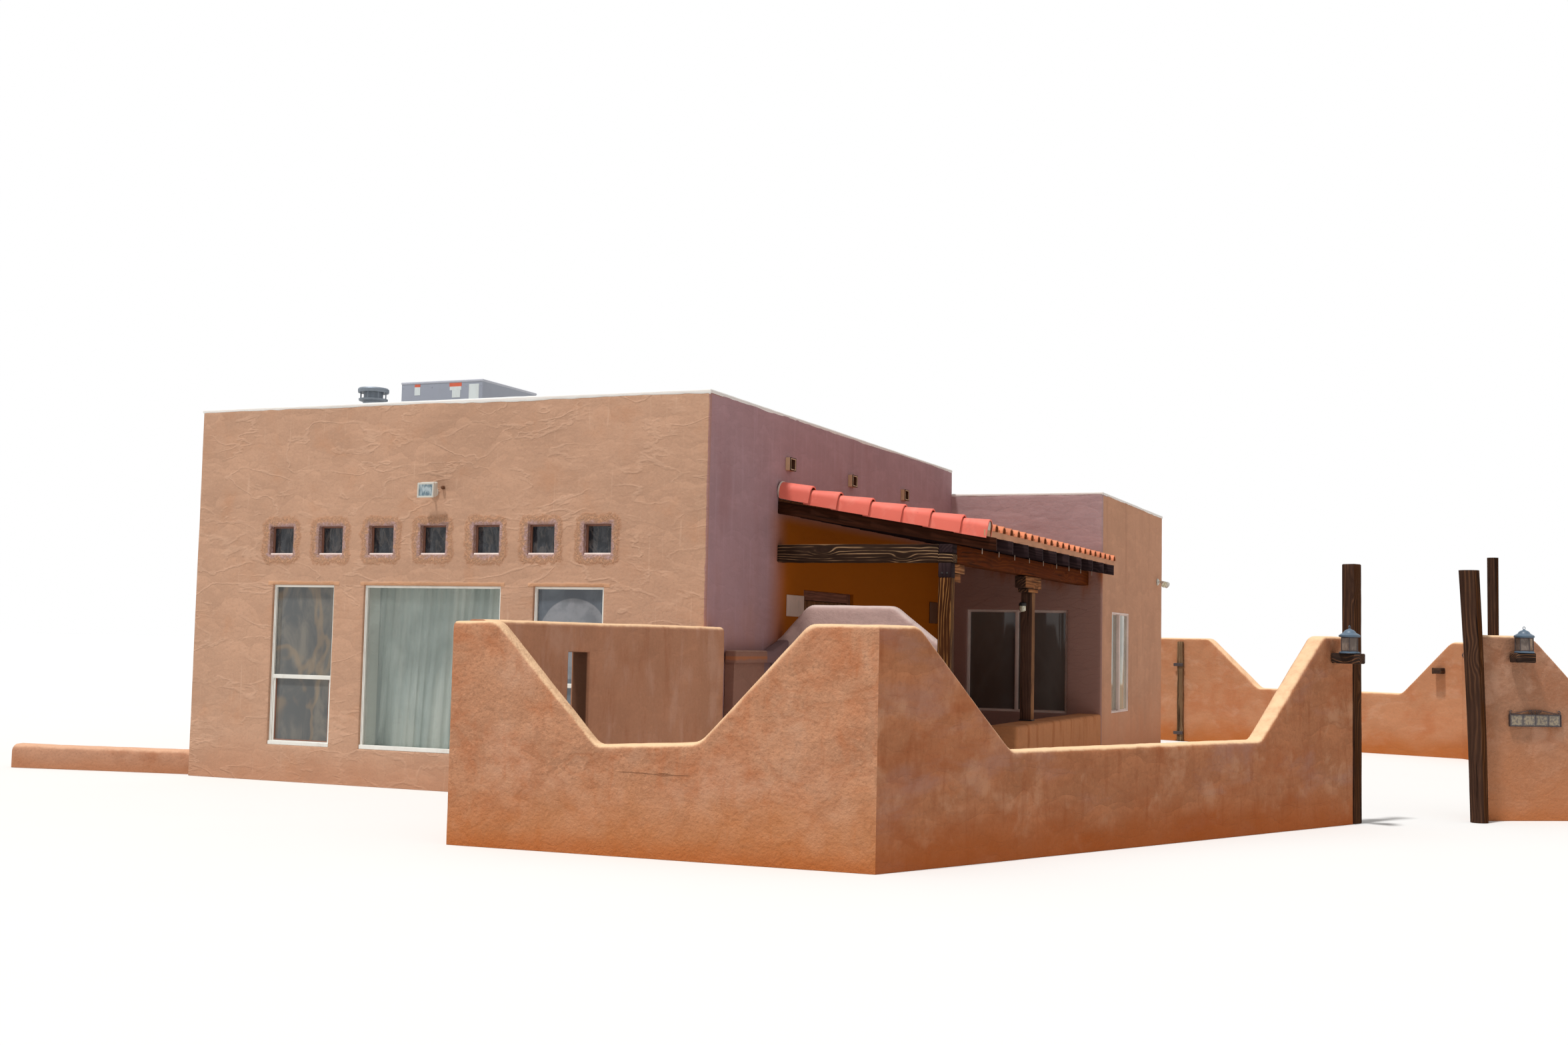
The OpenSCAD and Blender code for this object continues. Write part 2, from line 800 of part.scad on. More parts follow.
module curtains() {
    color(TEAL) {
        for (s = [-1, 1])
            at_front(win_mid + s * side_win_x, reveal) translate([0, 0, front_sill_z])
                curtain(side_win_w + curtain_over);
        at_front(win_mid, reveal) translate([0, 0, front_sill_z]) curtain(picture_w + 2 * curtain_over);
    }
}

// Door under the porch, drawn facing right
module door_frame() {
    y0 = yf + door_y;
    x1 = xr - door_reveal + leaf_t / 2;
    x0 = x1 - 2 * leaf_t;
    color(WOOD) difference() {
        block([x0, y0, floor_t], [x1, y0 + door_w, door_head_z]);
        block([x0 - past, y0 + door_frame_w, floor_t - past],
            [x1 + past, y0 + door_w - door_frame_w, door_head_z - door_frame_w]);
    }
}

module entry_doors() {
    y0 = yf + door_y + door_frame_w + leaf_gap;
    leaf_w = (door_w - 2 * door_frame_w - 3 * leaf_gap) / 2;
    x1 = xr - door_reveal;
    color(WOOD) for (i = [0, 1])
        block([x1 - leaf_t, y0 + i * (leaf_w + leaf_gap), floor_t],
            [x1, y0 + i * (leaf_w + leaf_gap) + leaf_w, door_head_z - door_frame_w - leaf_gap]);
}

// Porch frame
module porch_posts() {
    color(WOOD) {
        block([post_x, frame_y, 0], [post_x + post_w, frame_y + post_w, beam_bottom_z]);
        block([post_x, yf + mid_post_y, low_wall_h],
            [post_x + post_w, yf + mid_post_y + post_w, beam_bottom_z - 2 * corbel_h]);
    }
}

module front_beam() {
    color(WOOD) union() {
        block([xr, frame_y, beam_bottom_z], [post_x, frame_y + beam_w, beam_top_z]);
        block([post_x, frame_y, beam_bottom_z], [post_x + beam_w, frame_y + beam_w, beam_bottom_z + half_lap]);
    }
}

module eave_beam() {
    color(WOOD) union() {
        block([post_x, frame_y + beam_w, beam_bottom_z], [post_x + beam_w, porch_end_y, beam_top_z]);
        block([post_x, frame_y, beam_bottom_z + half_lap], [post_x + beam_w, frame_y + beam_w, beam_top_z]);
    }
}

// One corbel over the middle post, and half of one behind the corner post
module corbels() {
    mid = yf + mid_post_y + post_w / 2;
    back = frame_y + post_w;
    half = corbel_l / 2;
    z1 = beam_bottom_z;
    color(WOOD) {
        union() {
            block([post_x, mid - half, z1 - corbel_h], [post_x + post_w, mid + half, z1]);
            block([post_x, mid - half + corbel_step, z1 - 2 * corbel_h],
                [post_x + post_w, mid + half - corbel_step, z1 - corbel_h]);
        }
        union() {
            block([post_x, back, z1 - corbel_h], [post_x + post_w, back + half, z1]);
            block([post_x, back, z1 - 2 * corbel_h], [post_x + post_w, back + half - corbel_step, z1 - corbel_h]);
        }
    }
}

// A board that follows the porch roof's pitch, given by its ends in X, its underside and its plumb depth
module pitched(x0, x1, y0, y1, under, depth) {
    translate([xr, y1, 0])
        rotate([90, 0, 0])
            linear_extrude(y1 - y0)
                polygon([
                    [x0, rafter_z(x0) + under],
                    [x1, rafter_z(x1) + under],
                    [x1, rafter_z(x1) + under + depth],
                    [x0, rafter_z(x0) + under + depth]
                ]);
}

module rafters() {
    color(WOOD) for (i = [0:rafter_count - 1])
        pitched(0, eave_x + tail_l, frame_y + i * rafter_pitch, frame_y + i * rafter_pitch + rafter_t,
            -rafter_h, rafter_h);
}

module porch_deck() {
    color(WOOD) pitched(0, eave_x, rake_y, porch_end_y, 0, deck_t);
}

module fascia() {
    color(TAN) pitched(eave_x, eave_x + fascia_t, rake_y, porch_end_y, 0, fascia_h);
}

// Barrel tiles run down the slope over a bed of pan tiles
module field_tiles() {
    bed = deck_t;
    y0 = rake_y + 2 * rake_r;
    pitch = (porch_end_y - y0) / tile_rows;
    run = (eave_x + tile_out) / cos(pitch_deg);
    color(CLAY) intersection() {
        union() {
            pitched(0, eave_x, y0, porch_end_y, bed, pan_t);
            for (i = [0:tile_rows - 1])
                translate([xr, y0 + (i + 0.5) * pitch, rafter_z(0) + bed + pan_t])
                    rotate([0, 90 + pitch_deg, 0])
                        translate([0, 0, -tile_r])
                            cylinder(h = run + tile_r, r = tile_r, $fn = 32);
        }
        pitched(0, eave_x + tile_out, y0, porch_end_y, bed, pan_t + 2 * tile_r);
    }
}

// Cap tiles overlap down the rake, each a little wider at its lower end
module rake_tiles() {
    run = (eave_x + tile_out) / rake_count;
    taper = 12;
    lift = 6;
    color(CORAL) intersection() {
        union() for (i = [0:rake_count - 1])
            translate([xr + i * run, rake_y + rake_r, rafter_z(i * run) + deck_t + rake_r / 2])
                rotate([0, 90 + pitch_deg, 0])
                    translate([lift, 0, -rake_r])
                        cylinder(h = run / cos(pitch_deg) + rake_r + past, r1 = rake_r - taper, r2 = rake_r, $fn = 32);
        pitched(0, eave_x + tile_out, rake_y, rake_y + 2 * rake_r, deck_t, 3 * rake_r);
    }
}

// Porch masonry
module low_porch_wall() {
    color(ORANGE_TAN) {
        block([low_wall_x, yf + pier_y, 0], [xw, yf + pier_y + pier_l, low_wall_h]);
        block([low_wall_x, yf + pier_y + pier_l + groove, 0], [xw, yb, low_wall_h]);
    }
}

module screen_wall() {
    color(MAUVE) translate([0, screen_y + screen_t, 0]) rotate([90, 0, 0]) linear_extrude(screen_t)
        polygon([
            [xr, 0], [xr, screen_end_h], [xr + screen_slope, screen_h],
            [post_x - screen_post_slope, screen_h], [post_x, screen_end_h], [post_x, 0]
        ]);
}

module wall_ledge() {
    y0 = yf + ledge_y;
    turn = screen_y - ledge_rise;
    color(MAUVE) difference() {
        translate([xr, 0, 0]) rotate([90, 0, 90]) linear_extrude(ledge_base + ledge_lip)
            polygon([[y0, 0], [y0, ledge_z], [turn, ledge_z], [screen_y, screen_end_h], [screen_y, 0]]);
        block([xr + ledge_base, y0 - past, -past], [xr + ledge_base + ledge_lip + past, turn, ledge_z - ledge_rim]);
    }
}

// Yard walls
module front_yard_wall() {
    mitre = (front_dir + angled_dir) / 2 + 90;
    color(ORANGE_TAN) shaped_wall(front_left, front_right, yard_t, yard_high, yard_low,
        [front_left_high, front_left_slope, front_right_slope, front_right_high], 1, front_dir + 90, mitre);
}

module angled_yard_wall() {
    mitre = (front_dir + angled_dir) / 2 + 90;
    color(ORANGE_TAN) shaped_wall(front_right, angled_end, yard_t, yard_high, yard_low,
        [angled_near_high, angled_near_slope, angled_far_slope, angled_far_high], 1, mitre, angled_dir + 90);
}

// Side wall from the front yard wall to the house's front corner, with a tall slot
module side_yard_wall() {
    inner_start = along(front_left, front_dir + 90, yard_t);
    a = heading(inner_start, side_outer);
    color(ORANGE_TAN) difference() {
        linear_extrude(yard_high)
            polygon([
                inner_start,
                along(inner_start, front_dir, yard_t),
                along(side_outer, a - 90, yard_t),
                side_outer
            ]);
        block([xl, yf, -past], [xr, yb, yard_high + past]);
        translate([inner_start[0], inner_start[1], 0]) rotate([0, 0, a])
            block([slot_y, -2 * yard_t, slot_bottom_z], [slot_y + slot_w, yard_t, slot_top_z]);
    }
}

module gate_wall() {
    mitre = (gate_wall_dir + heading(gate_corner, rear_corner)) / 2 + 90;
    color(ORANGE_TAN) shaped_wall(gate_end, gate_corner, yard_t, rear_high, rear_low,
        [high_l, slope_l, slope_l, high_l], 1, gate_wall_dir + 90, mitre);
}

module return_wall() {
    a = heading(gate_corner, rear_corner);
    start_mitre = (gate_wall_dir + a) / 2 + 90;
    end_mitre = (a + rear_dir + 180) / 2 + 90;
    color(ORANGE_TAN) shaped_wall(gate_corner, rear_corner, yard_t, rear_high, rear_low,
        [high_l, slope_l, slope_l, high_l], 2, start_mitre, end_mitre);
}

module rear_yard_wall() {
    a = heading(gate_corner, rear_corner);
    mitre = (a + rear_dir + 180) / 2 + 90;
    color(ORANGE_TAN) shaped_wall(rear_corner, rear_left, yard_t, rear_high, rear_low,
        [rear_right_high, rear_right_slope, rear_left_slope, rear_left_high], 1, mitre, rear_dir + 90);
}

module left_low_wall() {
    q = [xl, yf + low_back];
    p = along(q, low_dir + 180, low_len);
    color(ORANGE_TAN) difference() {
        plan_wall(p, q, low_t, low_h, low_dir + 90, low_dir + 90);
        block([xl, yf, -past], [xr, yb, low_h + past]);
    }
}

// Places on the faces of the yard walls: the wall's end, the direction along it and the distance from that end.
// The children's -Y points out of the wall.
module on_wall(p, a, d, turn, z) {
    q = along(p, a, d);
    translate([q[0], q[1], z]) rotate([0, 0, turn]) children();
}

module on_angled_wall(z) {
    on_wall(angled_end, angled_dir + 180, stub_in, angled_dir, z) children();
}

module on_gate_wall(d, z) {
    on_wall(gate_end, gate_wall_dir, d, gate_wall_dir, z) children();
}

module on_rear_wall(d, z) {
    on_wall(along(rear_corner, rear_dir - 90, yard_t), rear_dir + 180, d, rear_dir, z) children();
}

// Gate posts
round_at = along(along(gate_end, gate_wall_dir, round_post_in), gate_wall_dir - 90, round_post_r + round_post_gap);
pole_at = along(along(gate_end, gate_wall_dir, pole_in), gate_wall_dir + 90, yard_t + pole_r);
module gate_posts() {
    sunk = round_post_r;
    color(WOOD) {
        translate([angled_end[0], angled_end[1], 0]) rotate([0, 0, angled_dir])
            cube([gate_post_w, gate_post_w, gate_post_h]);
        translate([round_at[0], round_at[1], 0]) intersection() {
            rotate([0, -round_post_lean, 0]) translate([0, 0, -sunk])
                cylinder(h = round_post_h + sunk, r1 = round_post_r, r2 = round_post_r + round_post_flare, $fn = 48);
            translate([0, 0, round_post_h]) cube(2 * round_post_h, center = true);
        }
        translate([pole_at[0], pole_at[1], 0]) cylinder(h = pole_h, r = pole_r, $fn = 32);
    }
}

// A timber block that stands out of a wall
module timber(w, out, h) {
    block([-w / 2, -out, 0], [w / 2, 0, h]);
}

module wall_blocks() {
    color(WOOD) {
        on_angled_wall(stub_z) timber(stub_w, stub_out, block_h);
        on_gate_wall(shelf_in, shelf_z) timber(shelf_w, shelf_out, block_h);
        on_rear_wall(rear_block_in, rear_block_z) timber(rear_block_w, rear_block_out, block_h);
        on_rear_wall(stile_in, 0) timber(stile_w, stile_out, stile_h);
    }
}

// A lantern: a disc, six panes round it, a flared roof and a knob
module lantern() {
    r = lantern_w / 2;
    body_r = 0.8 * r;
    disc_r = 0.88 * r;
    disc_h = lantern_h / 16;
    roof_h = lantern_h / 3;
    knob_r = r / 8;
    knob_h = lantern_h / 12;
    union() {
        cylinder(h = disc_h, r = disc_r, $fn = 32);
        cylinder(h = lantern_h - roof_h, r = body_r, $fn = 6);
        translate([0, 0, lantern_h - roof_h]) cylinder(h = roof_h - knob_h, r1 = r, r2 = r / 4, $fn = 48);
        translate([0, 0, lantern_h - knob_h - 1]) cylinder(h = knob_h + 1, r = knob_r, $fn = 24);
    }
}

module lanterns() {
    color(SLATE) {
        on_angled_wall(stub_z + block_h) translate([0, -stub_lantern_out, 0]) lantern();
        on_gate_wall(shelf_in, shelf_z + block_h) translate([0, -shelf_lantern_out, 0]) lantern();
    }
}

module number_plate() {
    color(SLATE) on_gate_wall(plate_in, plate_z) timber(plate_w, plate_t, plate_h);
}

// Roof equipment
module cooling_unit() {
    x = xl + wall_t + ac_left_gap;
    y = yf + wall_t + ac_front_gap;
    curb_z = main_roof_z + ac_curb_h;
    lid_z = ac_top_z - ac_lid_h;
    color(GREY) union() {
        block([x + ac_curb_in, y + ac_curb_in, main_roof_z], [x + ac_w - ac_curb_in, y + ac_d - ac_curb_in, curb_z]);
        block([x + ac_lip, y + ac_lip, curb_z], [x + ac_w - ac_lip, y + ac_d - ac_lip, lid_z]);
        block([x, y, lid_z], [x + ac_w, y + ac_d, ac_top_z]);
    }
}

// Rings of the roof vent under its top: foot's depth, height, lower and upper radius, in shares of the cap's radius
VENT_RINGS = [
    [0.86, 0.29, 0.9, 0.9],
    [0.58, 0.19, 0.6, 0.6],
    [0.40, 0.26, 1, 1],
    [0.15, 0.15, 1, 0.5]
];
module roof_vent() {
    stack_r = 0.7 * vent_r;
    stack_top = vent_top_z - 0.8 * vent_r;
    color(GREY) translate([xl + wall_t + vent_left, yf + wall_t + vent_front, 0]) union() {
        translate([0, 0, main_roof_z]) cylinder(h = stack_top - main_roof_z, r = stack_r, $fn = 48);
        for (ring = VENT_RINGS)
            translate([0, 0, vent_top_z - ring[0] * vent_r])
                cylinder(h = ring[1] * vent_r, r1 = ring[2] * vent_r, r2 = ring[3] * vent_r, $fn = 48);
    }
}

module scuppers() {
    color(MAUVE) for (i = [0:scupper_count - 1])
        translate([xr - wall_t, yf + scupper_first + i * scupper_pitch, main_roof_z]) difference() {
            block([0, -scupper_w / 2, 0], [wall_t + scupper_out, scupper_w / 2, scupper_h]);
            block([-past, -scupper_w / 2 + scupper_t, scupper_t],
                [wall_t + scupper_out + past, scupper_w / 2 - scupper_t, scupper_h - scupper_t]);
        }
}

// A square floodlight on the front and a pair of round lamps on the wing's side
module floodlights() {
    half_t = flood_arm_t / 2;
    color(WHITE) {
        translate([xr - front_flood_x, yf, front_flood_z]) union() {
            rotate([90, 0, 0]) cylinder(h = flood_arm_t, r = flood_r, $fn = 32);
            block([-half_t, -flood_arm - half_t, -half_t], [half_t, 0, half_t]);
            block([-flood_w / 2, -flood_arm - flood_d, -flood_h / 2], [flood_w / 2, -flood_arm, flood_h / 2]);
        }
        translate([xw, yw - side_flood_y, side_flood_z]) union() {
            rotate([0, 90, 0]) cylinder(h = flood_arm_t, r = flood_r, $fn = 32);
            block([0, -flood_r, -half_t], [flood_arm + half_t, flood_r, half_t]);
            for (s = [-1, 1])
                translate([flood_arm, s * flood_r, 0])
                    rotate([0, 90 + lamp_dip, s * lamp_turn])
                        cylinder(h = lamp_l, r = flood_r, $fn = 32);
        }
    }
}

front_wall();
right_wall();
left_wall();
dividing_wall();
wing_front_wall();
wing_right_wall();
wing_back_wall();
floor_slab();
porch_floor();
main_roof();
wing_roof();
parapet_caps();
hung_windows();
picture_window();
small_windows();
wing_windows();
window_glass();
curtains();
door_frame();
entry_doors();
porch_posts();
front_beam();
eave_beam();
corbels();
rafters();
porch_deck();
fascia();
field_tiles();
rake_tiles();
low_porch_wall();
screen_wall();
wall_ledge();
front_yard_wall();
angled_yard_wall();
side_yard_wall();
gate_wall();
return_wall();
rear_yard_wall();
left_low_wall();
gate_posts();
wall_blocks();
lanterns();
number_plate();
cooling_unit();
roof_vent();
scuppers();
floodlights();
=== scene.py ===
"""Looks of an adobe house with a lower rear wing, a tiled corner porch and a walled yard.

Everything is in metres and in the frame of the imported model: the origin is the middle of the main block on
the ground, +X is right, +Y is back and +Z is up.
"""

import functools
import itertools
import logging
import math
from dataclasses import dataclass, field, replace
from enum import Enum
from typing import Callable, ClassVar, Iterable, Sequence

import bmesh
import bpy
import numpy as np
from mathutils import Matrix, Vector


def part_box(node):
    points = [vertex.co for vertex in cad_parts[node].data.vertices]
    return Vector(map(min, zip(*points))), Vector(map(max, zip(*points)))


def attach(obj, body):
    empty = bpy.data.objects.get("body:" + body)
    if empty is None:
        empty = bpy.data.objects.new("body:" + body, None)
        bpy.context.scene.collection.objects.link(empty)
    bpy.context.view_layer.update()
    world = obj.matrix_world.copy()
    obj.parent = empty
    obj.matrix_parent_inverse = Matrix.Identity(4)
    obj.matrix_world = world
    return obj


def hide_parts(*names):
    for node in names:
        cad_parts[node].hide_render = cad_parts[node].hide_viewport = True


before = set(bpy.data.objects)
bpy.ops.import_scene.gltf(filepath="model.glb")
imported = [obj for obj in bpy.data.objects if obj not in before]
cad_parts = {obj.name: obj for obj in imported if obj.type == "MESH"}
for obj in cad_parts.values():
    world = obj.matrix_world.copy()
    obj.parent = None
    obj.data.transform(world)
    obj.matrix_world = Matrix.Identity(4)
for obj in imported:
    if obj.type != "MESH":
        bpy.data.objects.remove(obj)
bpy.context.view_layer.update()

LOG = logging.getLogger("adobe_house")
ROOT = "root"
HASH = (73856093, 19349663, 83492791, 2654435761, 1274126177)
SEED_STEP = 17.31
TINT_STEP = 0.377
SMOOTH_ANGLE = 38.0
AXIS_R = 0.0005

Colour = tuple[float, float, float]
Point2 = tuple[float, float]
Point3 = tuple[float, float, float]


def paint(*levels: int) -> Colour:
    """The linear colour of a paint given by its 8-bit screen values."""
    shares = (level / 255 for level in levels)
    return tuple(s / 12.92 if s <= 0.04045 else ((s + 0.055) / 1.055) ** 2.4 for s in shares)


def shade(colour: Colour, share: float) -> Colour:
    """A colour made darker or lighter by a share."""
    return tuple(min(1.0, part * share) for part in colour)


def along(start: Point2, heading: float, distance: float) -> Point2:
    """The plan point at a distance from another, in a direction given in degrees from +X."""
    turn = math.radians(heading)
    return start[0] + distance * math.cos(turn), start[1] + distance * math.sin(turn)


def heading_of(start: Point2, end: Point2) -> float:
    """The direction from one plan point to another, in degrees from +X."""
    return math.degrees(math.atan2(end[1] - start[1], end[0] - start[0]))


def spin(axis: str, degrees: float) -> Matrix:
    """A turn about an axis."""
    return Matrix.Rotation(math.radians(degrees), 4, axis)


def lumps(points: np.ndarray, size: float, seed: int) -> np.ndarray:
    """Smooth noise from -1 to 1.

    Args:
        points: Places, as an array of rows of three numbers.
        size: Size of the lumps in metres.
        seed: Number that picks the pattern.

    Returns:
        One value for each point.
    """
    place = points / size + seed * SEED_STEP
    cell = np.floor(place).astype(np.int64)
    share = place - cell
    share = share * share * (3 - 2 * share)
    total = np.zeros(len(place))
    for corner in itertools.product((0, 1), repeat=3):
        c = cell + np.array(corner)
        mixed = (c[:, 0] * HASH[0]) ^ (c[:, 1] * HASH[1]) ^ (c[:, 2] * HASH[2]) ^ (seed * HASH[3])
        mixed = ((mixed ^ (mixed >> 13)) * HASH[4]) & 0xFFFFFFFF
        value = ((mixed ^ (mixed >> 16)) & 0xFFFF) / 0xFFFF
        total += value * np.prod(np.where(corner, share, 1 - share), axis=1)
    return 2 * total - 1


def spread(low: float, high: float, step: float, marks: Iterable[float] = ()) -> np.ndarray:
    """Places from low to high, at most a step apart, with every mark between them included."""
    stops = sorted({low, high, *(round(m, 5) for m in marks if low + 1e-4 < m < high - 1e-4)})
    places = [stops[0]]
    for a, b in zip(stops, stops[1:]):
        count = max(1, math.ceil((b - a) / step - 1e-6))
        places.extend(a + (b - a) * (i + 1) / count for i in range(count))
    return np.array(places)


@dataclass
class Solid:
    """Points and faces of one form, before it joins a piece."""

    points: np.ndarray
    faces: list[list[int]]
    finish: list[int] | int = 0
    grain: np.ndarray | None = None
    tint: float = 0.5

    def moved(self, matrix: Matrix) -> "Solid":
        """The same form, moved by a matrix."""
        m = np.array(matrix)
        return replace(self, points=self.points @ m[:3, :3].T + m[:3, 3])

    def turned(self, axis: str, degrees: float) -> "Solid":
        """The same form, turned about an axis."""
        return self.moved(spin(axis, degrees))

    def at(self, x: float, y: float, z: float, turn: float = 0.0) -> "Solid":
        """The same form, turned about +Z by some degrees and then moved to a place."""
        return self.moved(Matrix.Translation((x, y, z)) @ spin("Z", turn))

    def pitched(self, pitch: float) -> "Solid":
        """The same form, lowered by a share of its X, with its upright faces kept upright."""
        return replace(self, points=self.points - pitch * self.points[:, :1] * np.array([0, 0, 1]))

    def wearing(self, finish: int, tint: float | None = None) -> "Solid":
        """The same form with another finish of its piece, and another tint if one is given."""
        return replace(self, finish=finish, tint=self.tint if tint is None else tint)


def loft(rings: np.ndarray | list, loop: bool = False, ends: bool = True) -> Solid:
    """A skin through rings of points.

    Args:
        rings: Rings, each with the same number of points.
        loop: Whether the last ring joins the first.
        ends: Whether the first and last ring are closed by a face.

    Returns:
        The form.
    """
    rings = np.array(rings, float)
    count, size, _ = rings.shape
    first = np.arange(count if loop else count - 1)[:, None] * size
    second = (first + size) % (count * size)
    here = np.arange(size)[None, :]
    after = (here + 1) % size
    quads = np.stack([first + here, first + after, second + after, second + here], axis=-1)
    faces = quads.reshape(-1, 4).tolist()
    if ends and not loop:
        faces.append(list(range(size - 1, -1, -1)))
        faces.append(list(range((count - 1) * size, count * size)))
    return Solid(rings.reshape(-1, 3), faces)


def rounded_rectangle(low: Point2, high: Point2, radius: float, middles: bool = False) -> np.ndarray:
    """Points round a rectangle, three on each rounded corner.

    Args:
        low: Lowest corner.
        high: Highest corner.
        radius: Radius of the corners.
        middles: Whether each side gets a point in its middle.

    Returns:
        The points, in order.
    """
    low, high = np.array(low), np.array(high)
    corners = np.array([high, (low[0], high[1]), low, (high[0], low[1])])
    turns = math.pi / 2 * (np.arange(4)[:, None] + np.array([0, 0.5, 1]))
    centres = np.clip(corners, low + radius, high - radius)[:, None]
    arcs = centres + radius * np.stack([np.cos(turns), np.sin(turns)], axis=-1)
    if middles:
        arcs = np.concatenate([arcs, (arcs[:, -1:] + np.roll(arcs[:, :1], -1, axis=0)) / 2], axis=1)
    return arcs.reshape(-1, 2)


def block(low: Sequence[float], high: Sequence[float], edge: float = 0.003) -> Solid:
    """A box with rounded edges, given by its lowest and highest corners."""
    edge = min(edge, *(0.45 * (b - a) for a, b in zip(low, high)))
    rings = []
    for z, inset in ((low[2], edge), (low[2] + edge, 0.0), (high[2] - edge, 0.0), (high[2], edge)):
        corners = (low[0] + inset, low[1] + inset), (high[0] - inset, high[1] - inset)
        flat = rounded_rectangle(*corners, max(edge - inset, edge / 4))
        rings.append(np.column_stack([flat, np.full(len(flat), z)]))
    made = loft(rings)
    made.grain = made.points[:, [2, 0, 1]]
    return made


def timber(
    length: float,
    width: float,
    height: float,
    seed: int,
    wear: float = 0.003,
    edge: float = 0.005,
    step: float = 0.09,
) -> Solid:
    """A sawn timber along X from the origin, with worn edges and a little twist in its faces.

    Args:
        length: Size along X.
        width: Size along Y.
        height: Size along Z.
        seed: Number that picks its wear and grain.
        wear: How deep the wear goes.
        edge: Radius of its edges.
        step: Distance between its rings.

    Returns:
        The form, with its grain along X.
    """
    section = rounded_rectangle((0.0, 0.0), (width, height), edge, middles=True)
    middle = np.array([width / 2, height / 2])
    count = max(2, math.ceil((length - 2 * edge) / step))
    places = [0.0, *np.linspace(edge, length - edge, count + 1), length]
    rings = []
    for i, x in enumerate(places):
        inset = edge * 0.7 if i in (0, len(places) - 1) else 0.0
        shrink = 1 - inset / np.maximum(np.abs(section - middle), inset + 1e-6).clip(min(width, height) / 2)
        rings.append(np.column_stack([np.full(len(section), x), middle + (section - middle) * shrink]))
    made = loft(rings)
    grain = made.points.copy()
    inward = np.column_stack([np.zeros(len(grain)), middle - grain[:, 1:]])
    inward /= np.maximum(np.linalg.norm(inward, axis=1), 1e-6)[:, None]
    noises = (grain * (0.35, 1, 1), 0.035, seed), (grain, 0.3, seed + 5)
    fine, broad = (0.5 + 0.5 * lumps(*noise) for noise in noises)
    made.points = made.points + inward * (wear * fine + wear * 0.6 * broad)[:, None]
    made.grain = grain + np.array([seed * 1.37, seed * 0.71, seed * 0.43])
    made.tint = (seed * TINT_STEP) % 1
    return made


def pole(
    profile: Sequence[Point2], seed: int, sides: int = 44, checks: int = 7, deep: float = 0.008
) -> Solid:
    """A round timber that stands on Z, with drying checks down its length.

    Args:
        profile: Heights and radii.
        seed: Number that picks its checks and lumps.
        sides: Points round it.
        checks: Number of checks.
        deep: Depth of the checks.

    Returns:
        The form, with its grain along Z.
    """
    random = np.random.default_rng(seed)
    heights = spread(profile[0][0], profile[-1][0], 0.08)
    radii = np.interp(heights, *zip(*profile))
    turn, height = np.meshgrid(np.linspace(0, 2 * math.pi, sides, endpoint=False), heights)
    radius = np.repeat(radii[:, None], sides, axis=1)
    for _ in range(checks):
        place, low, tall = random.uniform(0, 2 * math.pi), random.uniform(-0.3, 1.0), random.uniform(0.7, 2.2)
        drift = place + 0.12 * np.sin(height * random.uniform(0.8, 2.0) + place)
        near = np.abs((turn - drift + math.pi) % (2 * math.pi) - math.pi)
        reach = np.clip(1 - np.abs((height - low) / tall - 0.5) * 2, 0, 1)
        radius -= deep * np.sqrt(reach) * np.clip(1 - near / (2.4 * math.pi / sides), 0, 1)
    flat = np.column_stack([turn.ravel(), height.ravel() * 0.4, radius.ravel()])
    radius = radius - 0.004 * (0.5 + 0.5 * lumps(flat, 0.5, seed)).reshape(radius.shape)
    made = loft(np.stack([radius * np.cos(turn), radius * np.sin(turn), height], axis=-1))
    made.grain = np.column_stack([height.ravel() + seed, turn.ravel() * radii.mean(), np.zeros(height.size)])
    made.tint = (seed * TINT_STEP) % 1
    return made


def lathe(profile: Sequence[Point2], sides: int = 32, turn: float = 0.0) -> Solid:
    """A turned form on the Z axis, given by its radii and heights."""
    angles = np.linspace(0, 2 * math.pi, sides, endpoint=False) + math.radians(turn)
    circle = np.stack([np.cos(angles), np.sin(angles), np.zeros(sides)], axis=-1)
    return loft([max(r, AXIS_R) * circle + (0, 0, z) for r, z in profile])


def tube(path: Sequence[Point3], radius: float, sides: int = 8, loop: bool = False) -> Solid:
    """A bent rod of one radius that follows a path."""
    points = np.array(path, float)
    count = len(points)
    angles = np.linspace(0, 2 * math.pi, sides, endpoint=False)
    rings, across = [], None
    for i, point in enumerate(points):
        before = points[i - 1] if loop or i > 0 else point
        after = points[(i + 1) % count] if loop or i < count - 1 else point
        ahead = (after - before) / np.linalg.norm(after - before)
        if across is None:
            across = np.array([0, 0, 1.0] if abs(ahead[2]) < 0.9 else [1.0, 0, 0])
        across = across - ahead * (across @ ahead)
        across /= np.linalg.norm(across)
        side = np.cross(ahead, across)
        rings.append(point + radius * (np.outer(np.cos(angles), across) + np.outer(np.sin(angles), side)))
    return loft(rings, loop=loop)


def frame_ring(width: float, height: float, profile: Sequence[Point2]) -> Solid:
    """A mitred ring round a rectangle that stands on X, with its outer face on y = 0.

    Args:
        width: Outer width of the ring.
        height: Outer height of the ring.
        profile: Points of its section, each as the inset from the outer edge and the depth.

    Returns:
        The form.
    """
    corners = ((-1, 0), (1, 0), (1, 1), (-1, 1))
    rings = [[(x * (width / 2 - a), d, height - a if top else a) for a, d in profile] for x, top in corners]
    return loft(rings, loop=True)


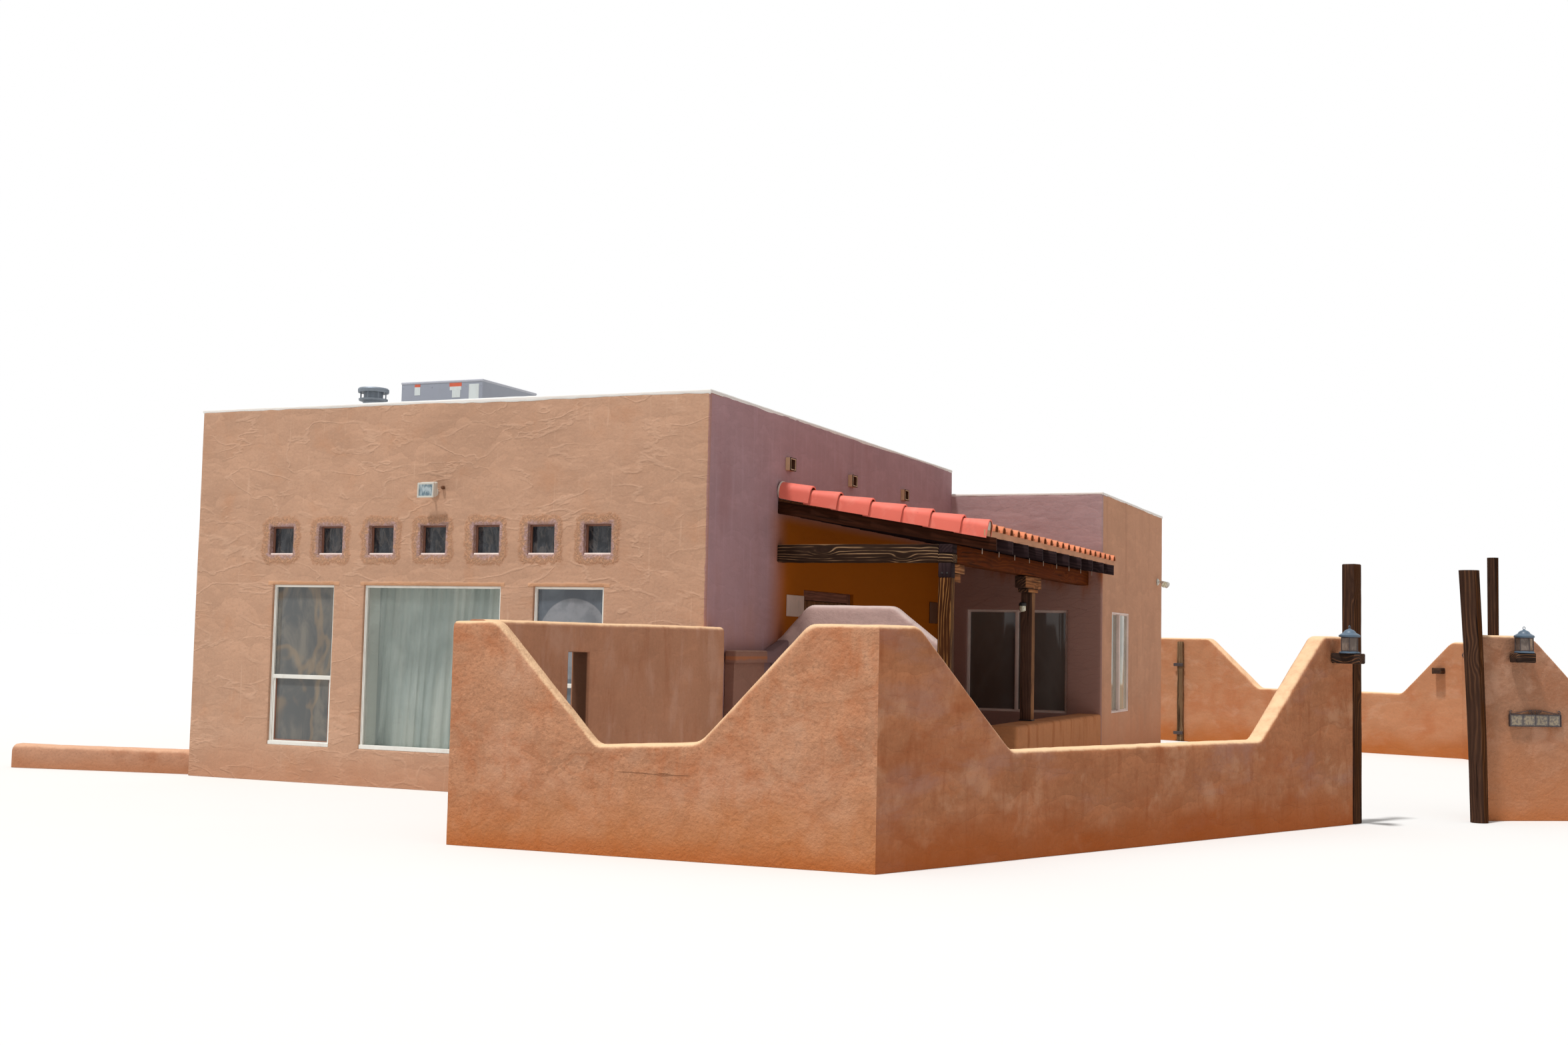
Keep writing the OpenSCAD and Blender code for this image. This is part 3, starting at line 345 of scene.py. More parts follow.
def piece(
    name: str,
    solids: Iterable[Solid],
    finishes: Sequence["Finish"],
    slot: str,
    *nodes: str,
    smooth: float = SMOOTH_ANGLE,
) -> bpy.types.Object:
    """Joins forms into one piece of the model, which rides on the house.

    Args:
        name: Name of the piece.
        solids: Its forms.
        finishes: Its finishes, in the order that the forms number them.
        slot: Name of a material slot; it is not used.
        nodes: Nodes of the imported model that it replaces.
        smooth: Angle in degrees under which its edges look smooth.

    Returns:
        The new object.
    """
    points, faces, finish, grain, tint = [], [], [], [], []
    for solid in solids:
        base = len(tint)
        points.append(solid.points)
        faces.extend([base + i for i in face] for face in solid.faces)
        finish.extend([solid.finish] * len(solid.faces) if isinstance(solid.finish, int) else solid.finish)
        grain.append(solid.points if solid.grain is None else solid.grain)
        tint.extend([solid.tint] * len(solid.points))
    mesh = bpy.data.meshes.new(name)
    mesh.from_pydata(np.concatenate(points).tolist(), [], faces)
    lines = mesh.attributes.new("grain", "FLOAT_VECTOR", "POINT")
    lines.data.foreach_set("vector", np.concatenate(grain).ravel())
    mesh.attributes.new("tint", "FLOAT", "POINT").data.foreach_set("value", tint)
    for worn in finishes:
        mesh.materials.append(worn.material())
    mesh.polygons.foreach_set("material_index", finish)
    mesh.polygons.foreach_set("use_smooth", [True] * len(faces))
    editor = bmesh.new()
    editor.from_mesh(mesh)
    bmesh.ops.recalc_face_normals(editor, faces=editor.faces)
    editor.to_mesh(mesh)
    editor.free()
    mesh.set_sharp_from_angle(angle=math.radians(smooth))
    made = bpy.data.objects.new(name, mesh)
    bpy.context.scene.collection.objects.link(made)
    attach(made, ROOT)
    if nodes:
        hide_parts(*nodes)
    LOG.info("%s: %d faces", name, len(faces))
    return made


def dress_node(node: str, finish: "Finish") -> None:
    """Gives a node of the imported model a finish."""
    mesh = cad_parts[node].data
    mesh.materials.clear()
    mesh.materials.append(finish.material())
    LOG.info("%s: dressed", node)


@dataclass
class Plan:
    """Sizes and places that several parts of the house share."""

    xr: float = 3.165
    yf: float = -4.0
    yb: float = 4.0
    xw: float = 5.315
    yw: float = 8.42
    wall: float = 0.3
    main_top: float = 4.1
    wing_top: float = 3.76
    cap: float = 0.025
    main_roof: float = 3.48
    wing_roof: float = 3.3
    sill: float = 0.39
    head: float = 2.13
    wing_sill: float = 0.72
    hung_w: float = 0.81
    hung_x: float = 1.65
    picture_w: float = 1.7
    row_x: float = -0.03
    meeting: float = 1.13
    small_w: float = 0.309
    small_z: float = 2.61
    small_pitch: float = 0.656
    pitch: float = 0.1667
    yard_thick: float = 0.2
    front_x: float = 4.123
    front_w: float = 1.43
    side_y: float = 5.235
    side_w: float = 1.165
    rear_w: float = 1.2
    rear_xs: Point2 = (3.275, -1.125)
    left_ys: Point2 = (0.0, 6.21)

    def __post_init__(self) -> None:
        """Works out the left face and the middles of the windows in the front wall."""
        self.xl = -self.xr
        self.small_xs = [self.row_x + i * self.small_pitch for i in range(-3, 4)]
        self.hung_xs = [self.row_x - self.hung_x, self.row_x + self.hung_x]


PLAN = Plan()


class Value:
    """A number in a shader. Sums on it add Math nodes."""

    def __init__(self, nodes: "Nodes", socket: bpy.types.NodeSocket) -> None:
        """Wraps an output socket of a node."""
        self.nodes = nodes
        self.socket = socket

    def __add__(self, other: "Value | float") -> "Value":
        """This plus another."""
        return self.nodes.math("ADD", self, other)

    __radd__ = __add__

    def __sub__(self, other: "Value | float") -> "Value":
        """This less another."""
        return self.nodes.math("SUBTRACT", self, other)

    def __rsub__(self, other: float) -> "Value":
        """Another less this."""
        return self.nodes.math("SUBTRACT", other, self)

    def __mul__(self, other: "Value | float") -> "Value":
        """This times another."""
        return self.nodes.math("MULTIPLY", self, other)

    __rmul__ = __mul__

    def __truediv__(self, other: "Value | float") -> "Value":
        """This over another."""
        return self.nodes.math("DIVIDE", self, other)

    def __abs__(self) -> "Value":
        """This without its sign."""
        return self.nodes.math("ABSOLUTE", self)


Input = Value | bpy.types.NodeSocket | float | Sequence[float]


class Nodes:
    """Adds nodes to one node tree."""

    def __init__(self, tree: bpy.types.NodeTree) -> None:
        """Takes a tree and empties it."""
        self.tree = tree
        tree.nodes.clear()

    def node(
        self, kind: str, sockets: dict[str | int, Input] | None = None, **settings: object
    ) -> bpy.types.Node:
        """Adds a node.

        Args:
            kind: Type of the node, without the words that every type starts with.
            sockets: Values or links of its inputs.
            settings: Its settings, which are set first.

        Returns:
            The node.
        """
        made = self.tree.nodes.new(f"ShaderNode{kind}")
        for key, value in settings.items():
            setattr(made, key, value)
        for key, value in (sockets or {}).items():
            self.feed(made.inputs[key], value)
        return made

    def feed(self, target: bpy.types.NodeSocket, value: Input) -> None:
        """Links a value to an input socket, or sets it there."""
        source = value.socket if isinstance(value, Value) else value
        if isinstance(source, bpy.types.NodeSocket):
            self.tree.links.new(source, target)
        elif target.type == "RGBA" and len(source) == 3:
            target.default_value = (*source, 1.0)
        else:
            target.default_value = source

    def math(self, operation: str, *terms: Input) -> Value:
        """A Math node on one to three terms."""
        return Value(self, self.node("Math", dict(enumerate(terms)), operation=operation).outputs[0])


class Shader(Nodes):
    """Builds one material from nodes."""

    COLOUR_A = 6
    COLOUR_B = 7
    COLOUR_RESULT = 2

    def __init__(self, name: str) -> None:
        """Starts a material with a principled surface, and reads the place on the object in metres."""
        self.made = bpy.data.materials.new(name)
        self.made.use_nodes = True
        super().__init__(self.made.node_tree)
        self.principled = self.node("BsdfPrincipled")
        self.node("OutputMaterial", {"Surface": self.principled.outputs[0]})
        self.place = self.node("TexCoord").outputs["Object"]

    def axes(self, vector: bpy.types.NodeSocket | None = None) -> list[Value]:
        """The three parts of a vector, or of the place on the object."""
        return [Value(self, socket) for socket in self.node("SeparateXYZ", {0: vector or self.place}).outputs]

    def stretched(
        self, scale: Sequence[float], vector: bpy.types.NodeSocket | None = None
    ) -> bpy.types.NodeSocket:
        """A vector scaled along each axis."""
        return self.node("Mapping", {"Vector": vector or self.place, "Scale": scale}).outputs[0]

    def noise(
        self,
        scale: float | Sequence[float],
        detail: float = 3.0,
        rough: float = 0.55,
        swirl: float = 0.0,
        vector: bpy.types.NodeSocket | None = None,
    ) -> Value:
        """Noise from about 0.25 to 0.75, with its lumps 1 / scale metres wide, or so along each axis."""
        if isinstance(scale, Sequence):
            vector, scale = self.stretched(scale, vector), 1.0
        sockets = {"Vector": vector or self.place, "Scale": scale, "Detail": detail, "Roughness": rough}
        return Value(self, self.node("TexNoise", {**sockets, "Distortion": swirl}).outputs[0])

    def smooth(self, value: Value, low: float, high: float) -> Value:
        """0 to 1 as a value goes from low to high, with soft ends."""
        sockets = {"Value": value, "From Min": low, "From Max": high}
        return Value(self, self.node("MapRange", sockets, interpolation_type="SMOOTHSTEP").outputs[0])

    def within(self, value: Value, low: float, high: float, soft: float) -> Value:
        """1 between two values and 0 outside them, with soft edges."""
        return self.smooth(value, low - soft, low + soft) * self.smooth(value, high + soft, high - soft)

    def layers(self, base: Input, *coats: tuple[Value | float, Input]) -> Input:
        """Colours laid over a base in order, each through its own mask."""
        for mask, colour in coats:
            mix = self.node("Mix", {0: mask, self.COLOUR_A: base, self.COLOUR_B: colour}, data_type="RGBA")
            base = mix.outputs[self.COLOUR_RESULT]
        return base

    def attribute(self, name: str) -> bpy.types.NodeSocket:
        """A vector that the mesh holds for each point."""
        return self.node("Attribute", attribute_name=name).outputs["Vector"]

    def tint(self) -> Value:
        """The tint of each form, from 0 to 1."""
        return Value(self, self.node("Attribute", attribute_name="tint").outputs["Fac"])

    def facing(self) -> list[Value]:
        """How far the surface faces along each axis, from -1 to 1."""
        return self.axes(self.node("NewGeometry").outputs["Normal"])

    def every(self, value: Value, first: float, pitch: float) -> Value:
        """Distance from a value to the nearest of a row of places."""
        return abs(self.math("FRACT", (value - first) / pitch + 0.5) - 0.5) * pitch

    def finish(
        self, colour: Input, rough: Input, height: Value | None = None, depth: float = 0.002, **fixed: float
    ) -> None:
        """Sets the surface.

        Args:
            colour: Base colour.
            rough: Roughness.
            height: Relief from 0 to 1.
            depth: What a relief of 1 is, in metres.
            fixed: Values of other sockets, with _ for a space in their names.
        """
        self.feed(self.principled.inputs["Base Color"], colour)
        self.feed(self.principled.inputs["Roughness"], rough)
        for key, value in fixed.items():
            self.principled.inputs[key.replace("_", " ")].default_value = value
        if height is not None:
            bump = self.node("Bump", {"Height": height, "Distance": depth, "Strength": 1.0})
            self.feed(self.principled.inputs["Normal"], bump.outputs[0])


@dataclass(frozen=True)
class Mark:
    """A mark on a finish, with its own colour, strength and relief."""

    colour: Colour
    strength: float
    relief: float = field(default=0.0, kw_only=True)

    def mask(self, s: Shader) -> Value:
        """Where the mark is, from 0 to 1."""
        raise NotImplementedError


@dataclass(frozen=True)
class Patches(Mark):
    """Clouds of another colour, where a noise goes from the low to the high value."""

    size: float
    low: float
    high: float
    squeeze: Point3 = (1.0, 1.0, 1.0)
    shift: float = 0.0

    def mask(self, s: Shader) -> Value:
        """The smoothed noise."""
        place = s.node("Mapping", {"Vector": s.place, "Scale": self.squeeze, "Location": (self.shift,) * 3})
        return s.smooth(s.noise(1 / self.size, 5, 0.6, 0.3, place.outputs[0]), self.low, self.high)


@dataclass(frozen=True)
class GroundStain(Mark):
    """Splashed earth that fades upwards."""

    top: float

    def mask(self, s: Shader) -> Value:
        """From the ground up to a ragged height."""
        return s.smooth(s.axes()[2] + (s.noise(2.2, 4) - 0.5) * (0.9 * self.top), self.top, 0.0)


@dataclass(frozen=True)
class TopHighlight(Mark):
    """Painted highlight on faces that look up, which are lighter because light falls on them from above."""

    def mask(self, s: Shader) -> Value:
        """From the face's slope, with a ragged edge."""
        return s.smooth(s.facing()[2] + (s.noise(9, 4) - 0.5) * 0.5, 0.3, 0.85)


@dataclass(frozen=True)
class ShadeBelowLine(Mark):
    """Painted shade along a wall just under a line, which may fall along the x axis from the main block."""

    top: float
    deep: float
    pitch: float = 0.0

    def mask(self, s: Shader) -> Value:
        """From a ragged height up to the line."""
        x, _, z = s.axes()
        z = z + (x - PLAN.xr) * self.pitch
        ragged = z + (s.noise((3.5, 3.5, 0.875), 4, 0.6) - 0.5) * (2.4 * self.deep)
        below = s.smooth(z, self.top + 0.02, self.top + 0.01)
        return s.smooth(ragged, self.top - self.deep, self.top) * below


@dataclass(frozen=True)
class WindowBorders(Mark):
    """Rough plaster laid on by hand round the row of small windows."""

    near: float = -0.02
    far: float = 0.1
    ragged: float = 0.07

    def mask(self, s: Shader) -> Value:
        """A band with round corners and ragged edges, from near to far off each window."""
        x, _, z = s.axes()
        first, half = PLAN.small_xs[0], PLAN.small_w / 2
        dx = s.math("MAXIMUM", s.every(x, first, PLAN.small_pitch) - half, 0.0)
        dz = s.math("MAXIMUM", abs(z - PLAN.small_z) - half, 0.0)
        off = s.math("SQRT", dx * dx + dz * dz) + (s.noise(7, 4, 0.65, 0.6) - 0.5) * (2 * self.ragged)
        reach = PLAN.row_x - first + 0.34
        inside = s.smooth(abs(x - PLAN.row_x), reach + 0.06, reach)
        return s.within(off, self.near, self.far, 0.02) * inside * s.smooth(s.noise(38, 4, 0.7), 0.28, 0.6)


@dataclass(frozen=True)
class Inside(Mark):
    """A mark that fills a box, with soft and ragged sides."""

    low: Point3
    high: Point3
    soft: float = 0.015
    ragged: float = 0.03

    def mask(self, s: Shader) -> Value:
        """The product of the three spans."""
        wander = (s.noise(8, 3) - 0.5) * self.ragged
        spans = zip(s.axes(), self.low, self.high)
        x, y, z = (s.within(axis + wander, low, high, self.soft) for axis, low, high in spans)
        return x * y * z


@dataclass(frozen=True)
class PorchShade(Mark):
    """Painted shade, warmed by light bounced off the ground, on the walls behind the porch's front and under
    its sloping roof.
    """

    roof_z: float
    near: float = -2.35

    def mask(self, s: Shader) -> Value:
        """Soft at the roof and at the front."""
        x, y, z = s.axes()
        under = s.smooth(z + (x - PLAN.xr) * PLAN.pitch, self.roof_z + 0.02, self.roof_z - 0.25)
        return under * s.smooth(y, self.near - 0.25, self.near + 0.45)


@dataclass(frozen=True)
class Crack(Mark):
    """A fine level crack in the front yard wall, with one open place."""

    start: float
    end: float
    z: float
    hole: float

    def mask(self, s: Shader) -> Value:
        """A thin line that wanders, wider at the hole, and only on the front face."""
        x, y, z = s.axes()
        near_hole = s.smooth(abs(x - self.hole), 0.07, 0.01)
        line = s.smooth(abs(z - self.z + (s.noise(2.5, 4) - 0.5) * 0.03) - near_hole * 0.009, 0.0035, 0.0015)
        long = s.smooth(x, self.start, self.start + 0.1) * s.smooth(x, self.end, self.end - 0.1)
        return line * long * s.smooth(y, -7.2, -7.3)


@dataclass(frozen=True)
class Ridges(Mark):
    """Curved lips that the trowel left, or the outlines of old damp."""

    size: Point2
    pitch: float = 0.2
    wide: float = 0.03

    def mask(self, s: Shader) -> Value:
        """Contour lines of a noise, broken here and there."""
        wide, high = self.size
        wave = s.noise((1 / wide, 1 / wide, 1 / high), 4, 0.5, 0.4)
        line = s.smooth(s.every(wave, 0.5, self.pitch), self.wide, 0.0)
        return line * s.smooth(s.noise(1.7, 3), 0.32, 0.62)


@dataclass(frozen=True)
class Finish:
    """A surface finish, which makes its material once."""

    name: str
    base: Colour

    @functools.cache
    def material(self) -> bpy.types.Material:
        """The finish as a Blender material."""
        shader = Shader(self.name)
        self.dress(shader)
        return shader.made

    def dress(self, s: Shader) -> None:
        """Builds the nodes."""
        raise NotImplementedError


@dataclass(frozen=True)
class Stucco(Finish):
    """Hand-trowelled or sandy stucco over adobe, with its marks."""

    strokes: float
    sand: float
    marks: tuple[Mark, ...] = ()
    stroke: Point2 = (0.5, 0.26)
    sand_size: float = 0.03
    contrast: float = 0.16
    depth: float = 0.010

    @staticmethod
    def _strokes(s: Shader, size: Point2, bend: float) -> tuple[Value, Value]:
        """The tilt and the tone of overlapping trowel strokes.

        Args:
            s: The shader.
            size: Width and height of a stroke.
            bend: How far the edges of the strokes wander.

        Returns:
            The tilt, from about -0.7 to 0.7 with its high side up, and the tone of each stroke from 0 to 1.
        """
        wander = s.node("TexNoise", {"Vector": s.place, "Scale": 1.2 / size[0], "Detail": 2.0})
        terms = {0: wander.outputs["Color"], 1: (bend, bend, bend), 2: s.place}
        bent = s.node("VectorMath", terms, operation="MULTIPLY_ADD")
        place = s.stretched((1 / size[0], 1 / size[0], 1 / size[1]), bent.outputs[0])
        cell = s.node("TexVoronoi", {"Vector": place, "Scale": 1.0}).outputs
        off = s.node("VectorMath", {0: place, 1: cell["Position"]}, operation="SUBTRACT")
        x, y, z = s.axes(off.outputs[0])
        tone = s.axes(cell["Color"])[0]
        return z + (x + y) * (tone - 0.5), tone

    def dress(self, s: Shader) -> None:
        """Trowel strokes, lumps and sand as relief, with painted highlight on the high edge of each stroke
        and painted shade on its low edge, and clouds of colour under the marks.
        """
        base = self.base
        dark, light = shade(base, 1 - self.contrast), shade(base, 1 + self.contrast)
        wide, high = self.stroke
        tilt, tone = self._strokes(s, (wide, high), 0.5 * wide)
        fine_tilt, fine_tone = self._strokes(s, (0.4 * wide, 0.5 * high), 0.2 * wide)
        both = tilt + fine_tilt * 0.5
        sweep = s.noise((2.2, 2.2, 6), 4, 0.6, 0.8)
        sand = s.noise(1 / self.sand_size, 4, 0.62)
        height = (tilt * 0.6 + fine_tilt * 0.35) * self.strokes + sweep * 0.5 + sand * (1.1 * self.sand)
        colour = s.layers(
            base,
            (s.smooth(s.noise(0.8, 5, 0.6, 0.4), 0.36, 0.66) * 0.8, dark),
            ((tone + fine_tone) * (0.35 * self.strokes), light),
            # Painted highlight on the raised upper edge of each stroke, and painted shade on its sunken lower
            # edge.
            (s.smooth(both, 0.25, 0.6) * (0.7 * self.strokes), light),
            (s.smooth(both, -0.25, -0.6) * (0.35 * self.strokes), dark),
            (s.smooth(sweep, 0.5, 0.72) * 0.4, light),
            (s.smooth(sand, 0.5, 0.3) * self.sand, dark),
            (s.smooth(sand, 0.54, 0.72) * self.sand, light),
        )
        for mark in self.marks:
            mask = mark.mask(s)
            colour = s.layers(colour, (mask * mark.strength, mark.colour))
            if mark.relief:
                height = height + mask * mark.relief
        s.finish(colour, 0.92, height, self.depth, Specular_IOR_Level=0.12)


@dataclass(frozen=True)
class Coating(Finish):
    """White brushed-on roof coating, with dust, bare spots and a rusty lower edge."""

    base: Colour = paint(236, 235, 230)
    dusty: float = 0.12
    edges: tuple[float, ...] = ()

    def dress(self, s: Shader) -> None:
        """Brush lumps, dust in clouds, small spots and a thin band at each edge's height."""
        dust, rust = paint(196, 178, 160), paint(168, 104, 74)
        cloud = s.noise(1.3, 5, 0.6, 0.5)
        spots = s.noise(5, 5, 0.7, 1.0)
        z = s.axes()[2] + (s.noise(8, 4) - 0.5) * 0.03
        bands = [(s.within(z, edge - 0.02, edge, 0.006) * 0.15, rust) for edge in self.edges]
        masks = (s.smooth(cloud, 0.45, 0.75) * self.dusty, dust), (s.smooth(spots, 0.69, 0.75) * 0.7, rust)
        height = s.noise(16, 4, 0.6, 0.3)
        s.finish(s.layers(self.base, *masks, *bands), 0.62, height, 0.003, Specular_IOR_Level=0.3)


class Look(Enum):
    """How the grain of a timber shows."""

    SAWN = "sawn"
    WEATHERED = "weathered"
    PAINTED = "painted"


@dataclass(frozen=True)
class Wood(Finish):
    """Timber whose grain runs along each form."""

    pale: Colour
    look: Look = Look.SAWN
    # Painted light and shade: the colour of the faces that look towards +X, set apart as light falls on that
    # side.
    side: Colour | None = None
    figure: float = 0.7
    cracks: float = 0.6
    rough: float = 0.85

    def dress(self, s: Shader) -> None:
        """Growth lines that bend round knots, fine fibres, drying cracks, a tint for each timber, and painted
        light and shade in the side colour on faces that look towards +X.
        """
        dark = shade(self.base, 0.5)
        grain = s.attribute("grain")
        weathered = self.look is Look.WEATHERED
        knots = s.node("TexVoronoi", {"Vector": s.stretched((2.1, 4.5, 4.5), grain), "Scale": 1.0})
        knot = s.smooth(Value(s, knots.outputs["Distance"]), 0.42, 0.0)
        broad = s.noise((0.8, 5, 5), 3, 0.55, 0.35, grain)
        _, v, w = s.axes(grain)
        rings = s.math("SINE", (v + w) * (190 * self.figure) + broad * 22 + knot * 10) * 0.5 + 0.5
        fibre = s.noise((5, 150, 150), 5, 0.7, 0.0, grain)
        split = s.smooth(s.noise((0.9, 26, 26), 3, 0.6, 0.2, grain), 0.61, 0.67) * self.cracks
        broken = s.smooth(s.noise((1.5, 9, 9), 3, 0.6, 0.0, grain), 0.38, 0.6)
        line = s.smooth(rings, 0.74 if weathered else 0.6, 1.0) * broken
        clouds = s.smooth(s.noise(1.4, 4, 0.6), 0.4, 0.65) * 0.5
        # Painted light and shade: the faces that look towards +X take the side colour.
        base = s.layers(self.base, (s.smooth(s.facing()[0], 0.4, 0.7), self.side)) if self.side else self.base
        colour = s.layers(
            base,
            (clouds, dark),
            (s.smooth(rings, 0.6, 0.0) * 0.5, dark),
            (line * (0.85 if weathered else 0.3), self.pale),
            (s.smooth(fibre, 0.55, 0.8) * (0.15 if weathered else 0.4), self.pale),
            (s.smooth(s.tint(), 0.5, 1.0) * 0.3, dark),
        )
        if self.look is Look.PAINTED:
            chips = s.smooth(s.noise(7, 5, 0.7), 0.66, 0.72) * 0.8
            dirt = s.smooth(s.noise(1.6, 4), 0.4, 0.7) * 0.2
            colour = s.layers(self.base, (chips, self.pale), (dirt, dark))
            split = split * 0.4
        height = line * (0.5 if weathered else 0.15) + fibre * 0.25 - split * 1.6
        colour = s.layers(colour, (split, shade(dark, 0.3)))
        s.finish(colour, self.rough, height, 0.003, Specular_IOR_Level=0.06)


@dataclass(frozen=True)
class FiredClay(Finish):
    """Clay tile, bare or painted, with a shade for each tile."""

    pale: Colour
    spots: Colour = paint(98, 52, 38)
    rough: float = 0.75

    def dress(self, s: Shader) -> None:
        """A shade for each tile, kiln clouds, dust, chips and fine grain."""
        dark = shade(self.base, 0.72)
        cloud = s.noise(6, 5, 0.6, 0.4)
        chips = s.smooth(s.noise(26, 3, 0.7, 0.6), 0.71, 0.75)
        colour = s.layers(
            self.base,
            (s.smooth(s.tint(), 0.1, 1.0), dark),
            (s.smooth(cloud, 0.48, 0.72) * 0.3, self.pale),
            (s.smooth(s.noise(3, 5, 0.65, 0.7), 0.5, 0.72) * 0.35, dark),
            (chips * 0.8, self.spots),
        )
        height = cloud * 0.6 + s.noise(160, 3) * 0.25 - chips * 0.5
        s.finish(colour, self.rough, height, 0.0018, Specular_IOR_Level=0.3)


@dataclass(frozen=True)
class Metal(Finish):
    """Sheet or cast metal, painted or bare."""

    dirt: Colour
    metallic: float = 0.0
    rough: float = 0.5
    dirty: float = 0.25
    fading: float = 1.25
    spangle: float = 0.0

    def dress(self, s: Shader) -> None:
        """Fading, dirt in clouds and streaks, and rub marks."""
        worn = shade(self.base, self.fading)
        fade = s.noise(3.5, 5, 0.6, 0.3)
        dirt = s.noise((9, 9, 3.15), 5, 0.65)
        colour = s.layers(self.base, (s.smooth(fade, 0.42, 0.7) * 0.6, worn))
        if self.spangle:
            cells = s.node("TexVoronoi", {"Vector": s.place, "Scale": 60.0})
            colour = s.layers(colour, (s.axes(cells.outputs["Color"])[0] * self.spangle, worn))
        colour = s.layers(colour, (s.smooth(dirt, 0.5, 0.75) * self.dirty, self.dirt))
        height = fade * 0.5 + s.noise(120, 3) * 0.4
        s.finish(colour, fade * 0.2 + (self.rough - 0.1), height, 0.0006, Metallic=self.metallic)


@dataclass(frozen=True)
class Glass(Finish):
    """Window glass: partly clear, with painted reflections: the soft shapes that it mirrors as clouds of
    colour, and on some panes twigs and a pale arch.
    """

    mirrored: Colour
    cover: float
    size: float
    squeeze: Point3 = (1.0, 1.0, 0.5)
    twig_reflection: Colour | None = None
    twig: float = 0.3
    arch_reflection: Point2 | None = None

    def dress(self, s: Shader) -> None:
        """A thin see-through film that is denser where it mirrors something pale, with its reflections
        painted into the colour.
        """
        cloud = s.smooth(s.noise(1 / self.size, 4, 0.55, 0.8, s.stretched(self.squeeze)), 0.4, 0.66)
        colour = s.layers(self.base, (cloud, self.mirrored))
        # Painted reflection of twigs, as thin lines.
        if self.twig_reflection:
            ridge = abs(s.noise(1 / self.twig, 3, 0.5, 0.6, s.stretched((1, 1, 0.45))) - 0.5)
            colour = s.layers(colour, (s.smooth(ridge, 0.05, 0.01) * 0.5, self.twig_reflection))
        # Painted reflection of a pale arch, as a soft round shape with a ragged edge.
        if self.arch_reflection:
            x, _, z = s.axes()
            dx, dz = x - self.arch_reflection[0], z - self.arch_reflection[1]
            disc = s.smooth(s.math("SQRT", dx * dx + dz * dz) + (s.noise(6, 3) - 0.5) * 0.02, 0.415, 0.4)
            mask = disc * (s.smooth(s.noise(7, 4), 0.35, 0.6) * 0.4 + 0.5)
            colour = s.layers(colour, (mask, paint(146, 148, 152)))
        dust = s.smooth(s.noise(24, 5, 0.7), 0.6, 0.8) * 0.05
        s.feed(s.principled.inputs["Alpha"], s.math("MINIMUM", cloud * 0.08 + self.cover + dust, 1.0))
        s.finish(colour, 0.06, IOR=1.45)


@dataclass(frozen=True)
class Cloth(Finish):
    """Woven curtain cloth."""

    faded: Colour

    def dress(self, s: Shader) -> None:
        """A fine weave, fading in upright bands and a slub here and there."""
        x, _, z = s.axes()
        fold = shade(self.base, 0.6)
        warp, weft = (s.math("SINE", axis * 2600.0) * 0.5 + 0.5 for axis in (x, z))
        band = s.noise((3.2, 3.2, 0.48), 4, 0.6)
        slub = s.noise((10.2, 34, 34), 3, 0.6)
        masks = (s.smooth(band, 0.4, 0.68), self.faded), (s.smooth(slub, 0.55, 0.75) * 0.25, fold)
        colour = s.layers(self.base, *masks, (warp * weft * 0.15, fold))
        s.finish(colour, 0.95, warp * 0.4 + weft * 0.4 + slub * 0.5, 0.0004, Specular_IOR_Level=0.1)


@dataclass(frozen=True)
class Concrete(Finish):
    """Float-finished concrete."""

    def dress(self, s: Shader) -> None:
        """Float sweeps, pores and damp clouds."""
        dark = shade(self.base, 0.65)
        sweep = s.noise(3, 4, 0.6, 1.2)
        pores = s.smooth(s.noise(90, 3), 0.66, 0.74)
        colour = s.layers(self.base, (s.smooth(sweep, 0.4, 0.7), dark), (pores * 0.6, dark))
        s.finish(colour, 0.88, sweep * 0.6 - pores * 0.4)


@dataclass(frozen=True)
class GlazedTile(Finish):
    """Blank glazed tiles with a mottled, hand-painted ground of the common kind."""

    border: Colour

    def dress(self, s: Shader) -> None:
        """The border follows each tile's own edges, which its grain holds."""
        u, _, v = s.axes(s.attribute("grain"))
        rim = s.math("MAXIMUM", abs(u), abs(v)) + (s.noise(60, 3) - 0.5) * 0.5
        mottled = s.smooth(s.noise(45, 3), 0.46, 0.6) * 0.6
        colour = s.layers(self.base, (s.smooth(rim, 0.7, 0.9) * 0.8, self.border), (mottled, self.border))
        s.finish(colour, 0.25, s.noise(30, 3), 0.0008, Coat_Weight=0.4)


